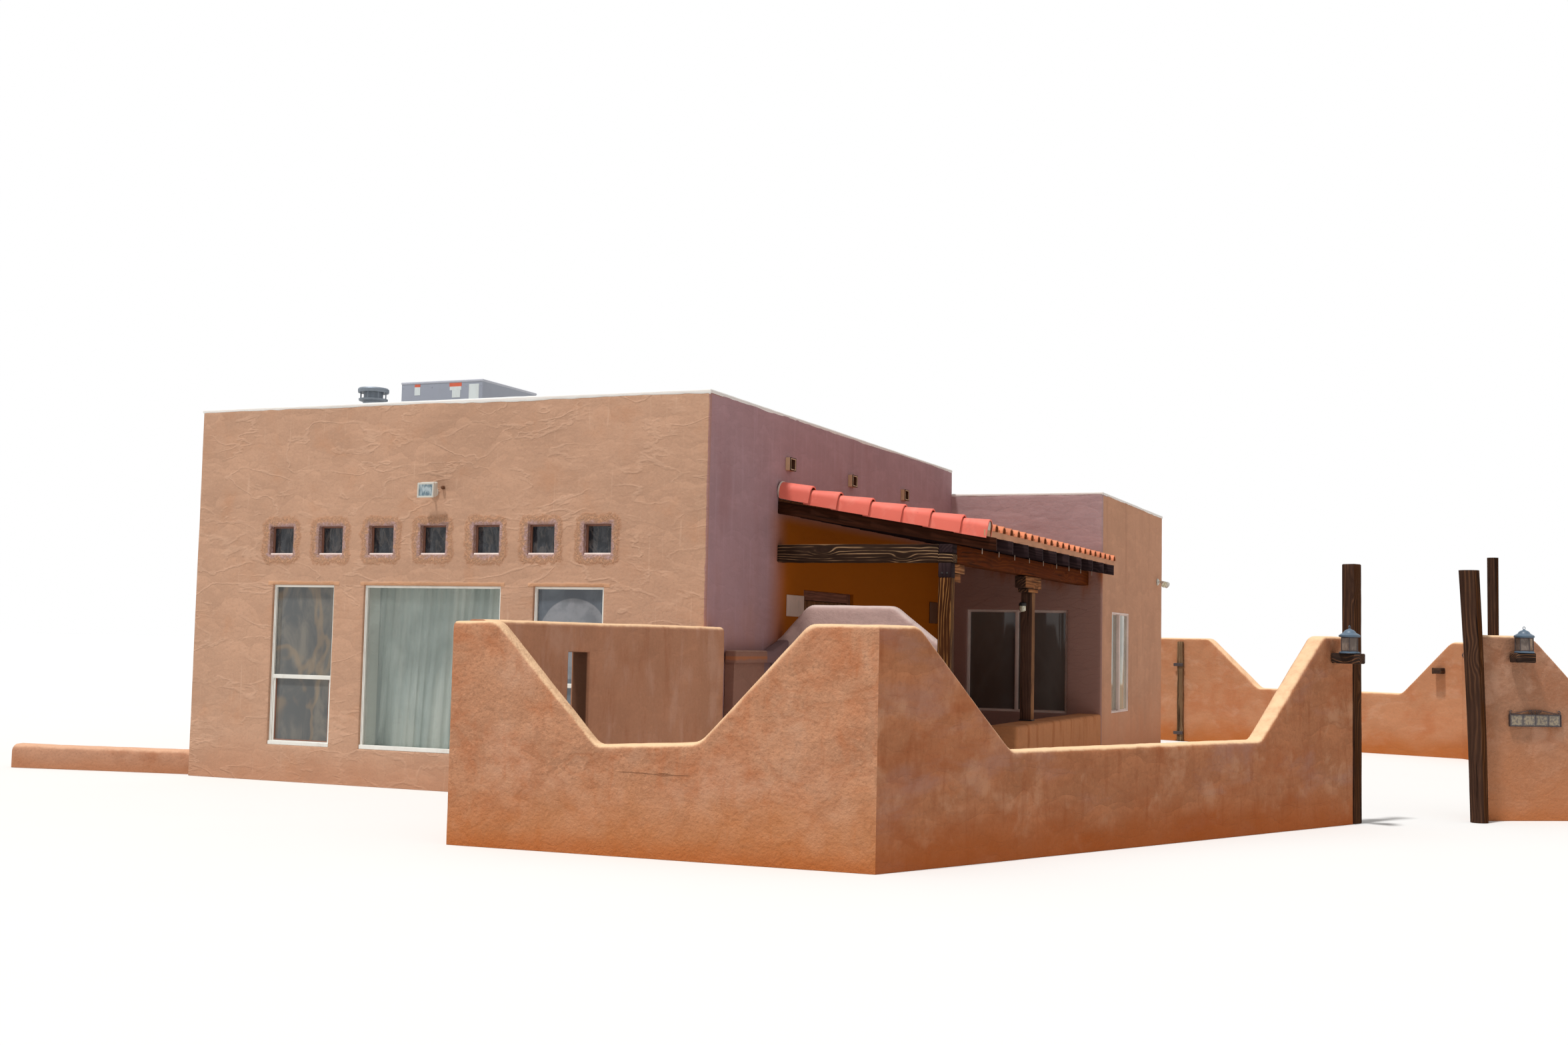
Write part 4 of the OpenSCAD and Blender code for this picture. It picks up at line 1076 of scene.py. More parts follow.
class Palette:
    """Every finish of the house."""

    rust = paint(176, 98, 54)
    # Painted highlight colour for the tops of the yard walls.
    lit_top_cream = paint(246, 206, 164)
    tan = Stucco("tan_stucco", paint(190, 150, 124), strokes=0.68, sand=0.4, marks=(
        Patches(paint(188, 138, 106), 0.5, 0.5, 0.5, 0.75),
        Patches(paint(214, 178, 152), 0.3, 0.05, 0.6, 0.72, squeeze=(1, 1, 0.07)),
        # The pale colour on these raised trowel lips is painted highlight.
        Ridges(paint(210, 172, 146), 0.3, (0.8, 0.34), relief=0.4),
        WindowBorders(paint(206, 152, 114), 0.5, relief=1.0),
        # A darker line along the band's outer edge: painted shade where the band steps down to the wall.
        WindowBorders(paint(160, 110, 82), 0.6, near=0.085, relief=-0.5),
        WindowBorders(paint(178, 156, 168), 0.6, near=-0.03, far=0.03, ragged=0.09),
        Inside(paint(226, 232, 224), 0.9, (-3.0, -3.93, 0.3), (3.0, -3.6, 2.3), 0.01, 0.0),
        Inside(paint(166, 124, 118), 0.9, (3.147, -4.1, 0.0), (3.3, -3.6, 4.2), 0.003),
        *(
            Inside(paint(216, 160, 118), 0.55, (left, -4.1, 2.125), (right, -3.9, 2.165), 0.01, relief=0.6)
            for left, right in ((-2.15, -1.2), (-0.93, 0.87), (1.15, 2.1))
        ),
        GroundStain(paint(180, 120, 86), 0.4, 0.5),
    ))
    side_tan = Stucco("side_tan_stucco", paint(194, 146, 117), strokes=0.35, sand=0.2, marks=(
        Patches(paint(164, 116, 90), 0.4, 0.22, 0.5, 0.75, squeeze=(1, 1, 0.12)),
        GroundStain(paint(206, 136, 96), 0.6, 1.3),
    ))
    mauve = Stucco("mauve_stucco", paint(168, 133, 136), strokes=0.35, sand=0.2, marks=(
        Patches(paint(184, 150, 156), 0.35, 0.07, 0.5, 0.75, squeeze=(1, 1, 0.06)),
        Patches(paint(156, 114, 114), 0.45, 0.7, 0.5, 0.72, squeeze=(1, 1, 0.5), shift=4.0),
        GroundStain(paint(184, 130, 108), 0.55, 2.6),
        # Deep ochre painted shade under the porch roof.
        PorchShade(paint(172, 90, 6), 1.0, 3.13),
    ))
    wing_mauve = Stucco(
        "wing_mauve_stucco", paint(176, 148, 148), strokes=0.9, sand=0.22, stroke=(0.6, 0.16), marks=(
            Patches(paint(190, 160, 158), 0.45, 0.2, 0.5, 0.75, squeeze=(1, 1, 0.5)),
            # Painted shade under the porch roof.
            PorchShade(paint(166, 126, 114), 1.0, 3.05),
            # Warm painted shade just under the porch roof, following its slope.
            ShadeBelowLine(paint(156, 80, 14), 0.85, 3.02, 0.4, PLAN.pitch),
        ),
    )
    screen = Stucco("screen_stucco", paint(190, 160, 152), strokes=0.3, sand=0.5, sand_size=0.035, marks=(
        TopHighlight(paint(222, 200, 192), 0.8),
        Patches(paint(152, 122, 118), 0.5, 0.16, 0.55, 0.75),
    ))
    ledge = Stucco("ledge_stucco", paint(142, 104, 89), strokes=0.3, sand=0.3, marks=(
        TopHighlight(paint(190, 152, 134), 0.7),
        # Warm painted shade along the lower edge of the ledge's lip.
        ShadeBelowLine(paint(180, 106, 56), 0.55, 1.45, 0.03),
        # Painted shade on the rise between the ledge and the screen wall.
        Inside(paint(120, 96, 98), 0.9, (3.0, -2.77, 1.0), (3.4, -2.1, 1.8), 0.01, 0.02),
    ))
    yard_front = Stucco(
        "front_yard_stucco", paint(186, 134, 102), strokes=0.8, sand=0.95, stroke=(0.4, 0.3), sand_size=0.028,
        contrast=0.2, depth=0.014, marks=(
            Patches(rust, 0.5, 0.45, 0.48, 0.7),
            Patches(paint(204, 160, 132), 0.5, 0.45, 0.46, 0.7, shift=3.0),
            Patches(rust, 0.35, 0.12, 0.55, 0.75, squeeze=(1, 1, 0.25), shift=7.0),
            Ridges(paint(164, 96, 58), 0.3, (0.5, 0.4), 0.16, 0.05, relief=-0.15),
            GroundStain(paint(186, 114, 58), 0.6, 0.7),
            GroundStain(paint(176, 94, 40), 0.6, 0.2),
            TopHighlight(lit_top_cream, 0.95),
            Crack(paint(120, 76, 52), 0.55, 4.2, 4.86, 0.622, 4.6, relief=-0.6),
        ),
    )
    yard_side = Stucco("angled_yard_stucco", paint(170, 112, 78), 0.6, 0.5, contrast=0.24, marks=(
        Patches(paint(156, 84, 46), 0.6, 0.5, 0.46, 0.68, squeeze=(0.6, 0.6, 1.2)),
        Patches(paint(160, 122, 110), 0.5, 0.7, 0.5, 0.7, squeeze=(0.6, 0.6, 1.6), shift=9.0),
        Patches(paint(196, 148, 116), 0.45, 0.3, 0.52, 0.7, shift=2.0),
        Patches(paint(140, 76, 44), 0.35, 0.1, 0.52, 0.7, squeeze=(1, 1, 0.2), shift=6.0),
        Ridges(paint(146, 84, 52), 0.25, (0.8, 0.6), 0.2, 0.05, relief=-0.1),
        GroundStain(paint(160, 80, 26), 0.75, 0.45),
        TopHighlight(lit_top_cream, 0.95),
    ))
    yard_slot = Stucco("side_yard_stucco", paint(186, 134, 104), strokes=0.2, sand=0.35, contrast=0.2, marks=(
        Patches(paint(164, 104, 72), 0.4, 0.16, 0.48, 0.7, squeeze=(1, 1, 0.25)),
        Patches(paint(202, 160, 138), 0.45, 0.3, 0.5, 0.68, squeeze=(1, 1, 0.4), shift=5.0),
        TopHighlight(lit_top_cream, 0.9),
        # Painted shade on the inner faces of the slot.
        Inside(paint(92, 62, 46), 0.95, (2.915, -6.45, 0.5), (3.065, -6.1, 1.5), 0.01, 0.0),
    ))
    yard_gate = Stucco(
        "gate_yard_stucco", paint(170, 124, 97), strokes=0.45, sand=0.6, contrast=0.2, depth=0.013, marks=(
            Patches(paint(160, 98, 64), 0.55, 0.5, 0.48, 0.7),
            Patches(paint(196, 152, 126), 0.5, 0.3, 0.5, 0.68, shift=2.0),
            Ridges(paint(150, 90, 58), 0.25, (0.6, 0.4), 0.2, 0.05, relief=-0.15),
            # Lighter and more orange up to about 1.2 m: partly splashed earth, partly painted sunlight on the
            # lower wall.
            GroundStain(paint(196, 126, 82), 0.7, 1.2),
            GroundStain(paint(182, 108, 58), 0.5, 0.2),
            TopHighlight(lit_top_cream, 0.95),
        ),
    )
    kerb = Stucco("low_wall_stucco", paint(184, 136, 108), strokes=0.45, sand=0.6, contrast=0.2, marks=(
        Patches(paint(160, 98, 64), 0.5, 0.5, 0.48, 0.7),
        GroundStain(paint(176, 112, 72), 0.5, 0.2),
        TopHighlight(paint(226, 180, 148), 0.8),
    ))
    yard_rear = Stucco("rear_yard_stucco", paint(190, 134, 98), strokes=0.5, sand=0.35, marks=(
        Patches(paint(182, 112, 72), 0.6, 0.6, 0.46, 0.68),
        Patches(paint(206, 160, 130), 0.45, 0.4, 0.5, 0.7, squeeze=(1, 1, 1.5), shift=2.0),
        GroundStain(paint(174, 96, 34), 0.75, 0.5),
        TopHighlight(lit_top_cream, 0.9),
    ))
    porch_low = Stucco("low_porch_stucco", paint(188, 126, 84), strokes=0.25, sand=0.35, marks=(
        Patches(paint(150, 82, 40), 0.6, 0.25, 0.5, 0.72, squeeze=(1, 1, 0.25)),
        GroundStain(paint(172, 90, 38), 0.7, 0.5),
    ))
    room = Stucco("room_plaster", paint(176, 160, 146), strokes=0.3, sand=0.1)
    coating = Coating("parapet_coating", edges=(4.082, 3.742))
    roofing = Coating("roof_surface", dusty=0.7)
    slab = Concrete("concrete_floor", paint(160, 150, 140))
    mortar = Concrete("mortar", paint(210, 196, 184))
    white_frame = Metal(
        "white_window_frame", paint(226, 224, 216), paint(168, 140, 118), rough=0.42, fading=1.1
    )
    pink_frame = Metal("faded_window_frame", paint(216, 194, 184), paint(168, 136, 122))
    brown_frame = Metal("small_window_frame", paint(124, 82, 64), paint(150, 110, 88), rough=0.6)
    sill_white = Metal("white_sill", paint(236, 214, 204), paint(180, 140, 118))
    # The mirrored colours, twigs and arch of the glass below are painted reflections.
    hung_glass = Glass(
        "hung_window_glass", paint(96, 98, 98), paint(122, 118, 110), 0.86, 0.3,
        twig_reflection=paint(150, 130, 106), twig=0.6,
    )
    picture_glass = Glass("picture_window_glass", paint(134, 144, 140), paint(164, 174, 168), 0.2, 0.5)
    arched_glass = Glass(
        "right_window_glass", paint(88, 94, 102), paint(104, 112, 120), 0.84, 0.4, arch_reflection=(1.66, 1.605)
    )
    small_glass = Glass(
        "small_window_glass", paint(40, 43, 49), paint(66, 68, 72), 0.85, 0.08,
        twig_reflection=paint(98, 92, 88), twig=0.12,
    )
    dark_glass = Glass("porch_window_glass", paint(100, 90, 84), paint(108, 100, 94), 0.92, 0.8)
    side_glass = Glass("side_window_glass", paint(150, 148, 134), paint(186, 180, 158), 0.9, 0.9, (1, 1, 0.6))
    lamp_glass = Glass("lamp_glass", paint(110, 136, 150), paint(188, 204, 210), 0.85, 0.05)
    lens = Glass("round_lamp_glass", paint(196, 186, 150), paint(236, 232, 214), 0.9, 0.03)
    pane = Glass("lantern_pane", paint(104, 90, 82), paint(138, 122, 110), 0.86, 0.06)
    teal_cloth = Cloth("teal_curtain", paint(192, 204, 198), paint(228, 232, 222))
    grey_cloth = Cloth("grey_curtain", paint(110, 112, 110), paint(140, 138, 130))
    blue_cloth = Cloth("blue_curtain", paint(96, 122, 146), paint(116, 140, 158))
    beam = Wood(
        "front_beam_timber", paint(57, 39, 30), paint(206, 166, 124), Look.WEATHERED, figure=0.95, cracks=0.8
    )
    # Side colour: painted shade on the faces that look towards +X.
    brown_beam = Wood(
        "eave_beam_timber", paint(96, 42, 4), paint(128, 70, 18), side=paint(96, 39, 1), figure=0.8
    )
    # Side colour: painted light on the faces that look towards +X.
    post = Wood(
        "corner_post_timber", paint(76, 42, 21), paint(196, 140, 80), Look.WEATHERED,
        side=paint(88, 64, 48), figure=0.95, cracks=0.9,
    )
    # Side colour: painted light on the faces that look towards +X.
    inner_post = Wood(
        "porch_post_timber", paint(98, 70, 58), paint(130, 92, 68), side=paint(158, 112, 74), figure=1.0
    )
    # Side colour: painted light on the faces that look towards +X.
    bracket = Wood("corbel_timber", paint(70, 48, 40), paint(206, 154, 106), side=paint(156, 100, 60))
    rafter = Wood("rafter_timber", paint(50, 36, 38), paint(80, 64, 60))
    barge = Wood("barge_rafter_timber", paint(56, 28, 16), paint(80, 44, 26))
    deck = Wood("roof_board_timber", paint(96, 60, 38), paint(122, 80, 52), figure=0.8)
    surround = Wood("door_surround_timber", paint(132, 84, 66), paint(160, 110, 88))
    # Side colour: painted shade on the faces that look towards +X.
    gate = Wood(
        "gate_post_timber", paint(70, 48, 37), paint(128, 88, 60),
        side=paint(68, 36, 10), figure=0.9, cracks=0.9,
    )
    shelf = Wood("wall_block_timber", paint(62, 48, 42), paint(150, 104, 70), Look.WEATHERED, figure=1.2)
    stile = Wood(
        "old_stile_timber", paint(120, 92, 66), paint(152, 128, 100), Look.WEATHERED, figure=0.8, cracks=1.0
    )
    door = Wood("door_timber", paint(128, 84, 52), paint(160, 112, 72), cracks=0.2, rough=0.5)
    eave_board = Wood(
        "eave_board_paint", paint(204, 150, 118), paint(220, 176, 144), Look.PAINTED, figure=1.0
    )
    clay = FiredClay("clay_tile", paint(230, 138, 96), paint(244, 178, 140))
    pan = FiredClay("pan_tile", paint(150, 84, 44), paint(176, 110, 62))
    coral = FiredClay("coral_tile", paint(238, 118, 100), paint(246, 156, 138), paint(120, 44, 36), 0.6)
    tiles = GlazedTile("plate_tile", paint(144, 128, 104), paint(58, 50, 58))
    slate = Metal("lantern_paint", paint(76, 96, 114), paint(100, 92, 84), rough=0.45)
    iron = Metal("wrought_iron", paint(72, 62, 62), paint(104, 70, 52), 0.3, 0.6)
    cabinet = Metal("cooling_unit_paint", paint(148, 152, 164), paint(130, 124, 124), dirty=0.1, fading=1.06)
    lid = Metal("cooling_unit_lid", paint(178, 180, 190), paint(140, 132, 130), dirty=0.1, fading=1.06)
    grille = Metal("cooling_unit_grille", paint(58, 60, 62), paint(90, 80, 70), 0.2, 0.6)
    label = Metal("blank_label", paint(208, 214, 214), paint(170, 156, 140), rough=0.6, fading=1.05)
    warm_label = Metal("blank_warm_label", paint(204, 92, 64), paint(200, 150, 120), rough=0.6)
    zinc = Metal("galvanised_sheet", paint(122, 130, 140), paint(110, 104, 100), 0.4, 0.5, 0.2, 1.2, 0.4)
    spout = Metal("spout_sheet", paint(206, 172, 136), paint(150, 92, 60), 0.1, 0.55, 0.4)
    hollow = Metal("spout_inside", paint(96, 58, 34), paint(60, 40, 30), 0.1, 0.7, 0.5)
    lamp = Metal("lamp_paint", paint(208, 206, 196), paint(150, 130, 110), rough=0.4, fading=1.1)
    steel = Metal("black_steel", paint(44, 42, 42), paint(90, 62, 48), 0.5, 0.55)
    hook = Metal("pale_peg", paint(166, 148, 132), paint(130, 106, 90))
    board = Metal("pale_panel", paint(210, 176, 158), paint(140, 110, 90), rough=0.6)
    notice = Metal("brown_notice", paint(96, 56, 30), paint(130, 90, 60), rough=0.6)


@dataclass(frozen=True)
class Opening:
    """A hole in a wall, by its place along the wall and its height."""

    u0: float
    u1: float
    z0: float
    z1: float

    @staticmethod
    def about(middle: float, width: float, low: float, high: float) -> "Opening":
        """An opening given by its middle and width along the wall."""
        return Opening(middle - width / 2, middle + width / 2, low, high)


@dataclass
class Wall:
    """A hand-plastered wall as a loft along its outer line. Its body lies left of its heading."""

    start: Point2
    heading: float
    length: float
    thick: float
    top: Sequence[Point2]
    step: float = 0.04
    inner_step: float = 0.8
    round_top: float = 0.012
    arc: int = 2
    round_start: float = 0.0
    round_end: float = 0.0
    round_inner: bool = True
    skew_start: float = 0.0
    skew_end: float = 0.0
    openings: Sequence[Opening] = ()
    edge: float = 0.012
    foot: Callable[[np.ndarray], np.ndarray] | None = None
    foot_rows: int = 5
    inner_foot: float = 0.0
    waves: Sequence[Point2] = ((0.006, 0.9), (0.003, 0.3), (0.0015, 0.1))
    proud: float = 0.003
    blur: float = 0.0
    calm: float = 0.0
    end_finish: int = 0

    @staticmethod
    def level(
        start: Point2, heading: float, length: float, thick: float, top: float, **more: object
    ) -> "Wall":
        """A wall with a level top."""
        return Wall(start, heading, length, thick, [(0.0, top), (length, top)], **more)

    def _inset(self, us: np.ndarray) -> np.ndarray:
        """How far a rounded end draws the faces in, at each place along the wall."""
        total = np.zeros(len(us))
        for radius, off in ((self.round_start, us), (self.round_end, self.length - us)):
            near = np.clip(radius - off, 0, radius)
            total = np.maximum(total, radius - np.sqrt(radius**2 - near**2))
        return total

    def _top_line(self, us: np.ndarray) -> np.ndarray:
        """Height of the top, with its bends softened."""
        shifts = np.linspace(-self.blur, self.blur, 7) if self.blur else (0.0,)
        return np.mean([np.interp(us + shift, *zip(*self.top)) for shift in shifts], axis=0)

    def _columns(self) -> np.ndarray:
        """Places along the wall, closer together at its rounded ends and beside its openings."""
        marks = [p[0] for p in self.top]
        for radius, sign, end in ((self.round_start, 1, 0.0), (self.round_end, -1, self.length)):
            marks += [end + sign * radius * (1 - math.cos(k * math.pi / 8)) for k in range(5) if radius]
        for hole in self.openings:
            marks += [hole.u0 - self.edge, hole.u0 - self.edge * 0.3, hole.u0]
            marks += [hole.u1, hole.u1 + self.edge * 0.3, hole.u1 + self.edge]
        return spread(0.0, self.length, self.step, marks)

    def _levels(self, step: float, high: float, soft: bool) -> np.ndarray:
        """Heights of the rows of one face."""
        marks = []
        for hole in self.openings:
            for share in (0, 0.3, 1) if soft else (0,):
                marks += [hole.z0 - self.edge * share, hole.z1 + self.edge * share]
        return spread(0.0, high, step, marks)

    def _relief(self, world: np.ndarray) -> np.ndarray:
        """How far the face lies inside its drawn place."""
        waves = ((depth, lumps(world, size, i + 1)) for i, (depth, size) in enumerate(self.waves))
        return sum((depth * (0.5 + 0.5 * wave) for depth, wave in waves), start=-self.proud)

    def _softened(self, us: np.ndarray, zs: np.ndarray) -> np.ndarray:
        """How far the rounding round the openings draws the outer face in, by row and column."""
        total = np.zeros((len(zs), len(us)))
        for hole in self.openings:
            across = np.maximum(np.maximum(hole.u0 - us, us - hole.u1), 0)[None, :]
            upward = np.maximum(np.maximum(hole.z0 - zs, zs - hole.z1), 0)[:, None]
            near = np.clip(self.edge - np.hypot(across, upward), 0, self.edge)
            total = np.maximum(total, self.edge - np.sqrt(self.edge**2 - near**2))
        return total

    def _place(self, u: np.ndarray, v: np.ndarray, z: np.ndarray) -> np.ndarray:
        """Points of the row frame from places along, into and up the wall."""
        turn = math.radians(self.heading)
        share = np.clip(u / self.length, 0, 1)
        slid = u + v * (self.skew_start + (self.skew_end - self.skew_start) * share)
        x = self.start[0] + slid * math.cos(turn) - v * math.sin(turn)
        y = self.start[1] + slid * math.sin(turn) + v * math.cos(turn)
        return np.stack([x, y, z], axis=-1).reshape(-1, 3)

    def build(self) -> Solid:
        """The wall as one closed form."""
        us = self._columns()
        inset = self._inset(us)
        behind = inset if self.round_inner else 0 * inset
        radius = np.minimum(self.round_top, 0.49 * (self.thick - inset - behind))
        crown = self._top_line(us) - inset - radius
        high = float(max(p[1] for p in self.top) - self.round_top)
        split = max((hole.z1 + self.edge for hole in self.openings), default=0.0)
        outer = np.linspace(0.0, high, self.foot_rows) if self.foot else self._levels(self.step, high, True)
        inner = self._levels(self.inner_step, high, False)[::-1]

        def face(levels: np.ndarray, base: np.ndarray | float) -> np.ndarray:
            """Heights of the rows of a face, stretched above its openings to meet the crown."""
            share = np.clip(levels - split, 0, None)[:, None] / (high - split)
            return base + np.minimum(levels, split)[:, None] + share * (crown - base - split)

        angles = np.linspace(0, math.pi / 2, self.arc + 1)[1:, None]
        cos, sin = np.cos(angles), np.sin(angles)
        bend, rise = radius * (1 - cos), crown + radius * sin
        fronts, backs = np.ones((len(outer), 1)), np.ones((len(inner), 1))
        rear = self.thick - behind
        v = np.concatenate([fronts * inset, inset + bend, (rear - bend)[::-1], backs * rear])
        front = face(outer, self.foot(us) if self.foot else 0.0)
        z = np.concatenate([front, rise, rise[::-1], face(inner, self.inner_foot)])
        into = np.concatenate([fronts, cos, -cos[::-1], -backs])
        down = np.concatenate([0 * fronts, -sin, -sin[::-1], 0 * backs])
        u = np.tile(us, (len(v), 1))
        relief = self._relief(self._place(u, v, z)).reshape(v.shape)
        if self.calm:
            relief *= np.clip(us / self.calm, 0, 1)
        if self.inner_step > 2 * self.step:
            relief[-len(inner) :] = 0.0
        ground = z <= 1e-6
        v, z = v + relief * into, z + relief * down
        z[ground] = 0.0
        if self.openings:
            v[: len(outer)] += self._softened(us, outer)
        return self._faces(self._place(u, v, z), us, outer, inner)

    def _faces(self, points: np.ndarray, us: np.ndarray, outer: np.ndarray, inner: np.ndarray) -> Solid:
        """Joins the wall's points, and leaves its openings out."""
        columns, rows = len(us), len(points) // len(us)
        levels = np.concatenate([outer, np.full(2 * self.arc, np.inf), inner])
        mid_u, mid_z = (us[1:] + us[:-1]) / 2, (levels[1:] + levels[:-1]) / 2
        solid = np.ones((rows - 1, columns - 1), bool)
        for hole in self.openings:
            inside = (mid_z > hole.z0) & (mid_z < hole.z1)
            solid &= ~(inside[:, None] & ((mid_u > hole.u0) & (mid_u < hole.u1))[None, :])
        r, c = np.nonzero(solid)
        corner = r * columns + c
        faces = np.stack([corner, corner + 1, corner + columns + 1, corner + columns], axis=1).tolist()
        last = (rows - 1) * columns
        faces.extend([i + 1, i, last + i, last + i + 1] for i in range(columns - 1))
        for hole in self.openings:
            faces.extend(self._reveal(hole, us, outer, inner, rows))
        start = [i * columns for i in range(rows)]
        end = [i + columns - 1 for i in start[::-1]]
        return Solid(points, [*faces, start, end], [0] * (len(faces) + 1) + [self.end_finish])

    def _reveal(
        self, hole: Opening, us: np.ndarray, outer: np.ndarray, inner: np.ndarray, rows: int
    ) -> list[list[int]]:
        """The four inner sides of an opening."""
        columns, first = len(us), rows - len(inner)
        c0, c1 = (int(np.abs(us - u).argmin()) for u in (hole.u0, hole.u1))
        k0, k1 = (int(np.abs(outer - z).argmin()) for z in (hole.z0, hole.z1))
        j0, j1 = (first + int(np.abs(inner - z).argmin()) for z in (hole.z0, hole.z1))
        faces = []
        for c in range(c0, c1):
            faces.append([k0 * columns + c, j0 * columns + c, j0 * columns + c + 1, k0 * columns + c + 1])
            faces.append([k1 * columns + c, k1 * columns + c + 1, j1 * columns + c + 1, j1 * columns + c])
        for c, order in ((c0, 1), (c1, -1)):
            ring = [k * columns + c for k in range(k0, k1 + 1)] + [j * columns + c for j in range(j1, j0 + 1)]
            faces.append(ring[::order])
        return faces


def plaster(name: str, node: str, slot: str, finishes: Sequence[Finish], *walls: Wall) -> None:
    """Makes one piece of plaster from walls, which replaces a node."""
    piece(f"{name}_plaster", [wall.build() for wall in walls], finishes, slot, node)


@dataclass
class Studio:
    """The camera where the photographer stood, a soft key lamp, a pale floor and a white background."""

    eye: Point3 = (10.3362, -19.0574, 1.6216)
    yaw: float = 0.3996
    pitch: float = 0.0697
    roll: float = 0.0209
    lens: float = 39.16
    sensor: float = 36.0
    key_power: float = 2.75
    key_angle: float = 5.0
    key_from: Point3 = (-0.16, -0.36, 1.0)
    sky: float = 0.5
    floor_size: float = 260.0
    floor_colour: Colour = (0.80, 0.79, 0.77)

    @staticmethod
    def _hold(name: str, data: bpy.types.ID) -> bpy.types.Object:
        """An object in the scene for a camera, a lamp or a mesh."""
        made = bpy.data.objects.new(name, data)
        bpy.context.scene.collection.objects.link(made)
        return made

    def build(self) -> None:
        """Makes the camera, the lamp, the background and the floor."""
        self._camera()
        lamp = bpy.data.lights.new("key", "SUN")
        lamp.energy, lamp.angle = self.key_power, math.radians(self.key_angle)
        holder = self._hold("key", lamp)
        holder.rotation_mode = "QUATERNION"
        holder.rotation_quaternion = Vector(self.key_from).to_track_quat("Z", "Y")
        self._world()
        self._floor()

    def _camera(self) -> None:
        """Sets the camera by its yaw, pitch and roll."""
        turn, tip = self.yaw, self.pitch
        ahead = Vector((-math.sin(turn) * math.cos(tip), math.cos(turn) * math.cos(tip), math.sin(tip)))
        flat = Vector((math.cos(turn), math.sin(turn), 0))
        upright = flat.cross(ahead)
        right = math.cos(self.roll) * flat + math.sin(self.roll) * upright
        up = math.cos(self.roll) * upright - math.sin(self.roll) * flat
        data = bpy.data.cameras.new("camera")
        data.lens, data.sensor_width, data.clip_end = self.lens, self.sensor, 1000
        camera = self._hold("camera", data)
        camera.matrix_world = Matrix.Translation(self.eye) @ Matrix((right, up, -ahead)).transposed().to_4x4()
        bpy.context.scene.camera = camera

    def _world(self) -> None:
        """A white background for the eye, and a softer one that lights the house."""
        world = bpy.data.worlds.new("studio")
        world.use_nodes = True
        nodes = Nodes(world.node_tree)
        rays = nodes.node("LightPath").outputs
        seen = nodes.math("MAXIMUM", rays["Is Camera Ray"], rays["Is Glossy Ray"])
        seen = nodes.math("MAXIMUM", seen, rays["Is Transmission Ray"])
        soft = nodes.node("Background", {"Color": (1, 1, 1), "Strength": self.sky}).outputs[0]
        white = nodes.node("Background", {"Color": (1, 1, 1), "Strength": 1.0}).outputs[0]
        mix = nodes.node("MixShader", {0: seen, 1: soft, 2: white})
        nodes.node("OutputWorld", {"Surface": mix.outputs[0]})
        bpy.context.scene.world = world

    def _floor(self) -> None:
        """A pale floor that catches the shadow."""
        half = self.floor_size
        mesh = bpy.data.meshes.new("floor")
        corners = [(x * half, y * half, 0) for x, y in ((-1, -1), (1, -1), (1, 1), (-1, 1))]
        mesh.from_pydata(corners, [], [(0, 1, 2, 3)])
        shader = Shader("floor_paper")
        tone = shader.layers(self.floor_colour, (shader.noise(0.5, 3), shade(self.floor_colour, 0.98)))
        shader.finish(tone, 0.95, Specular_IOR_Level=0.0)
        mesh.materials.append(shader.made)
        floor = self._hold("floor", mesh)
        floor.location.z = -0.002


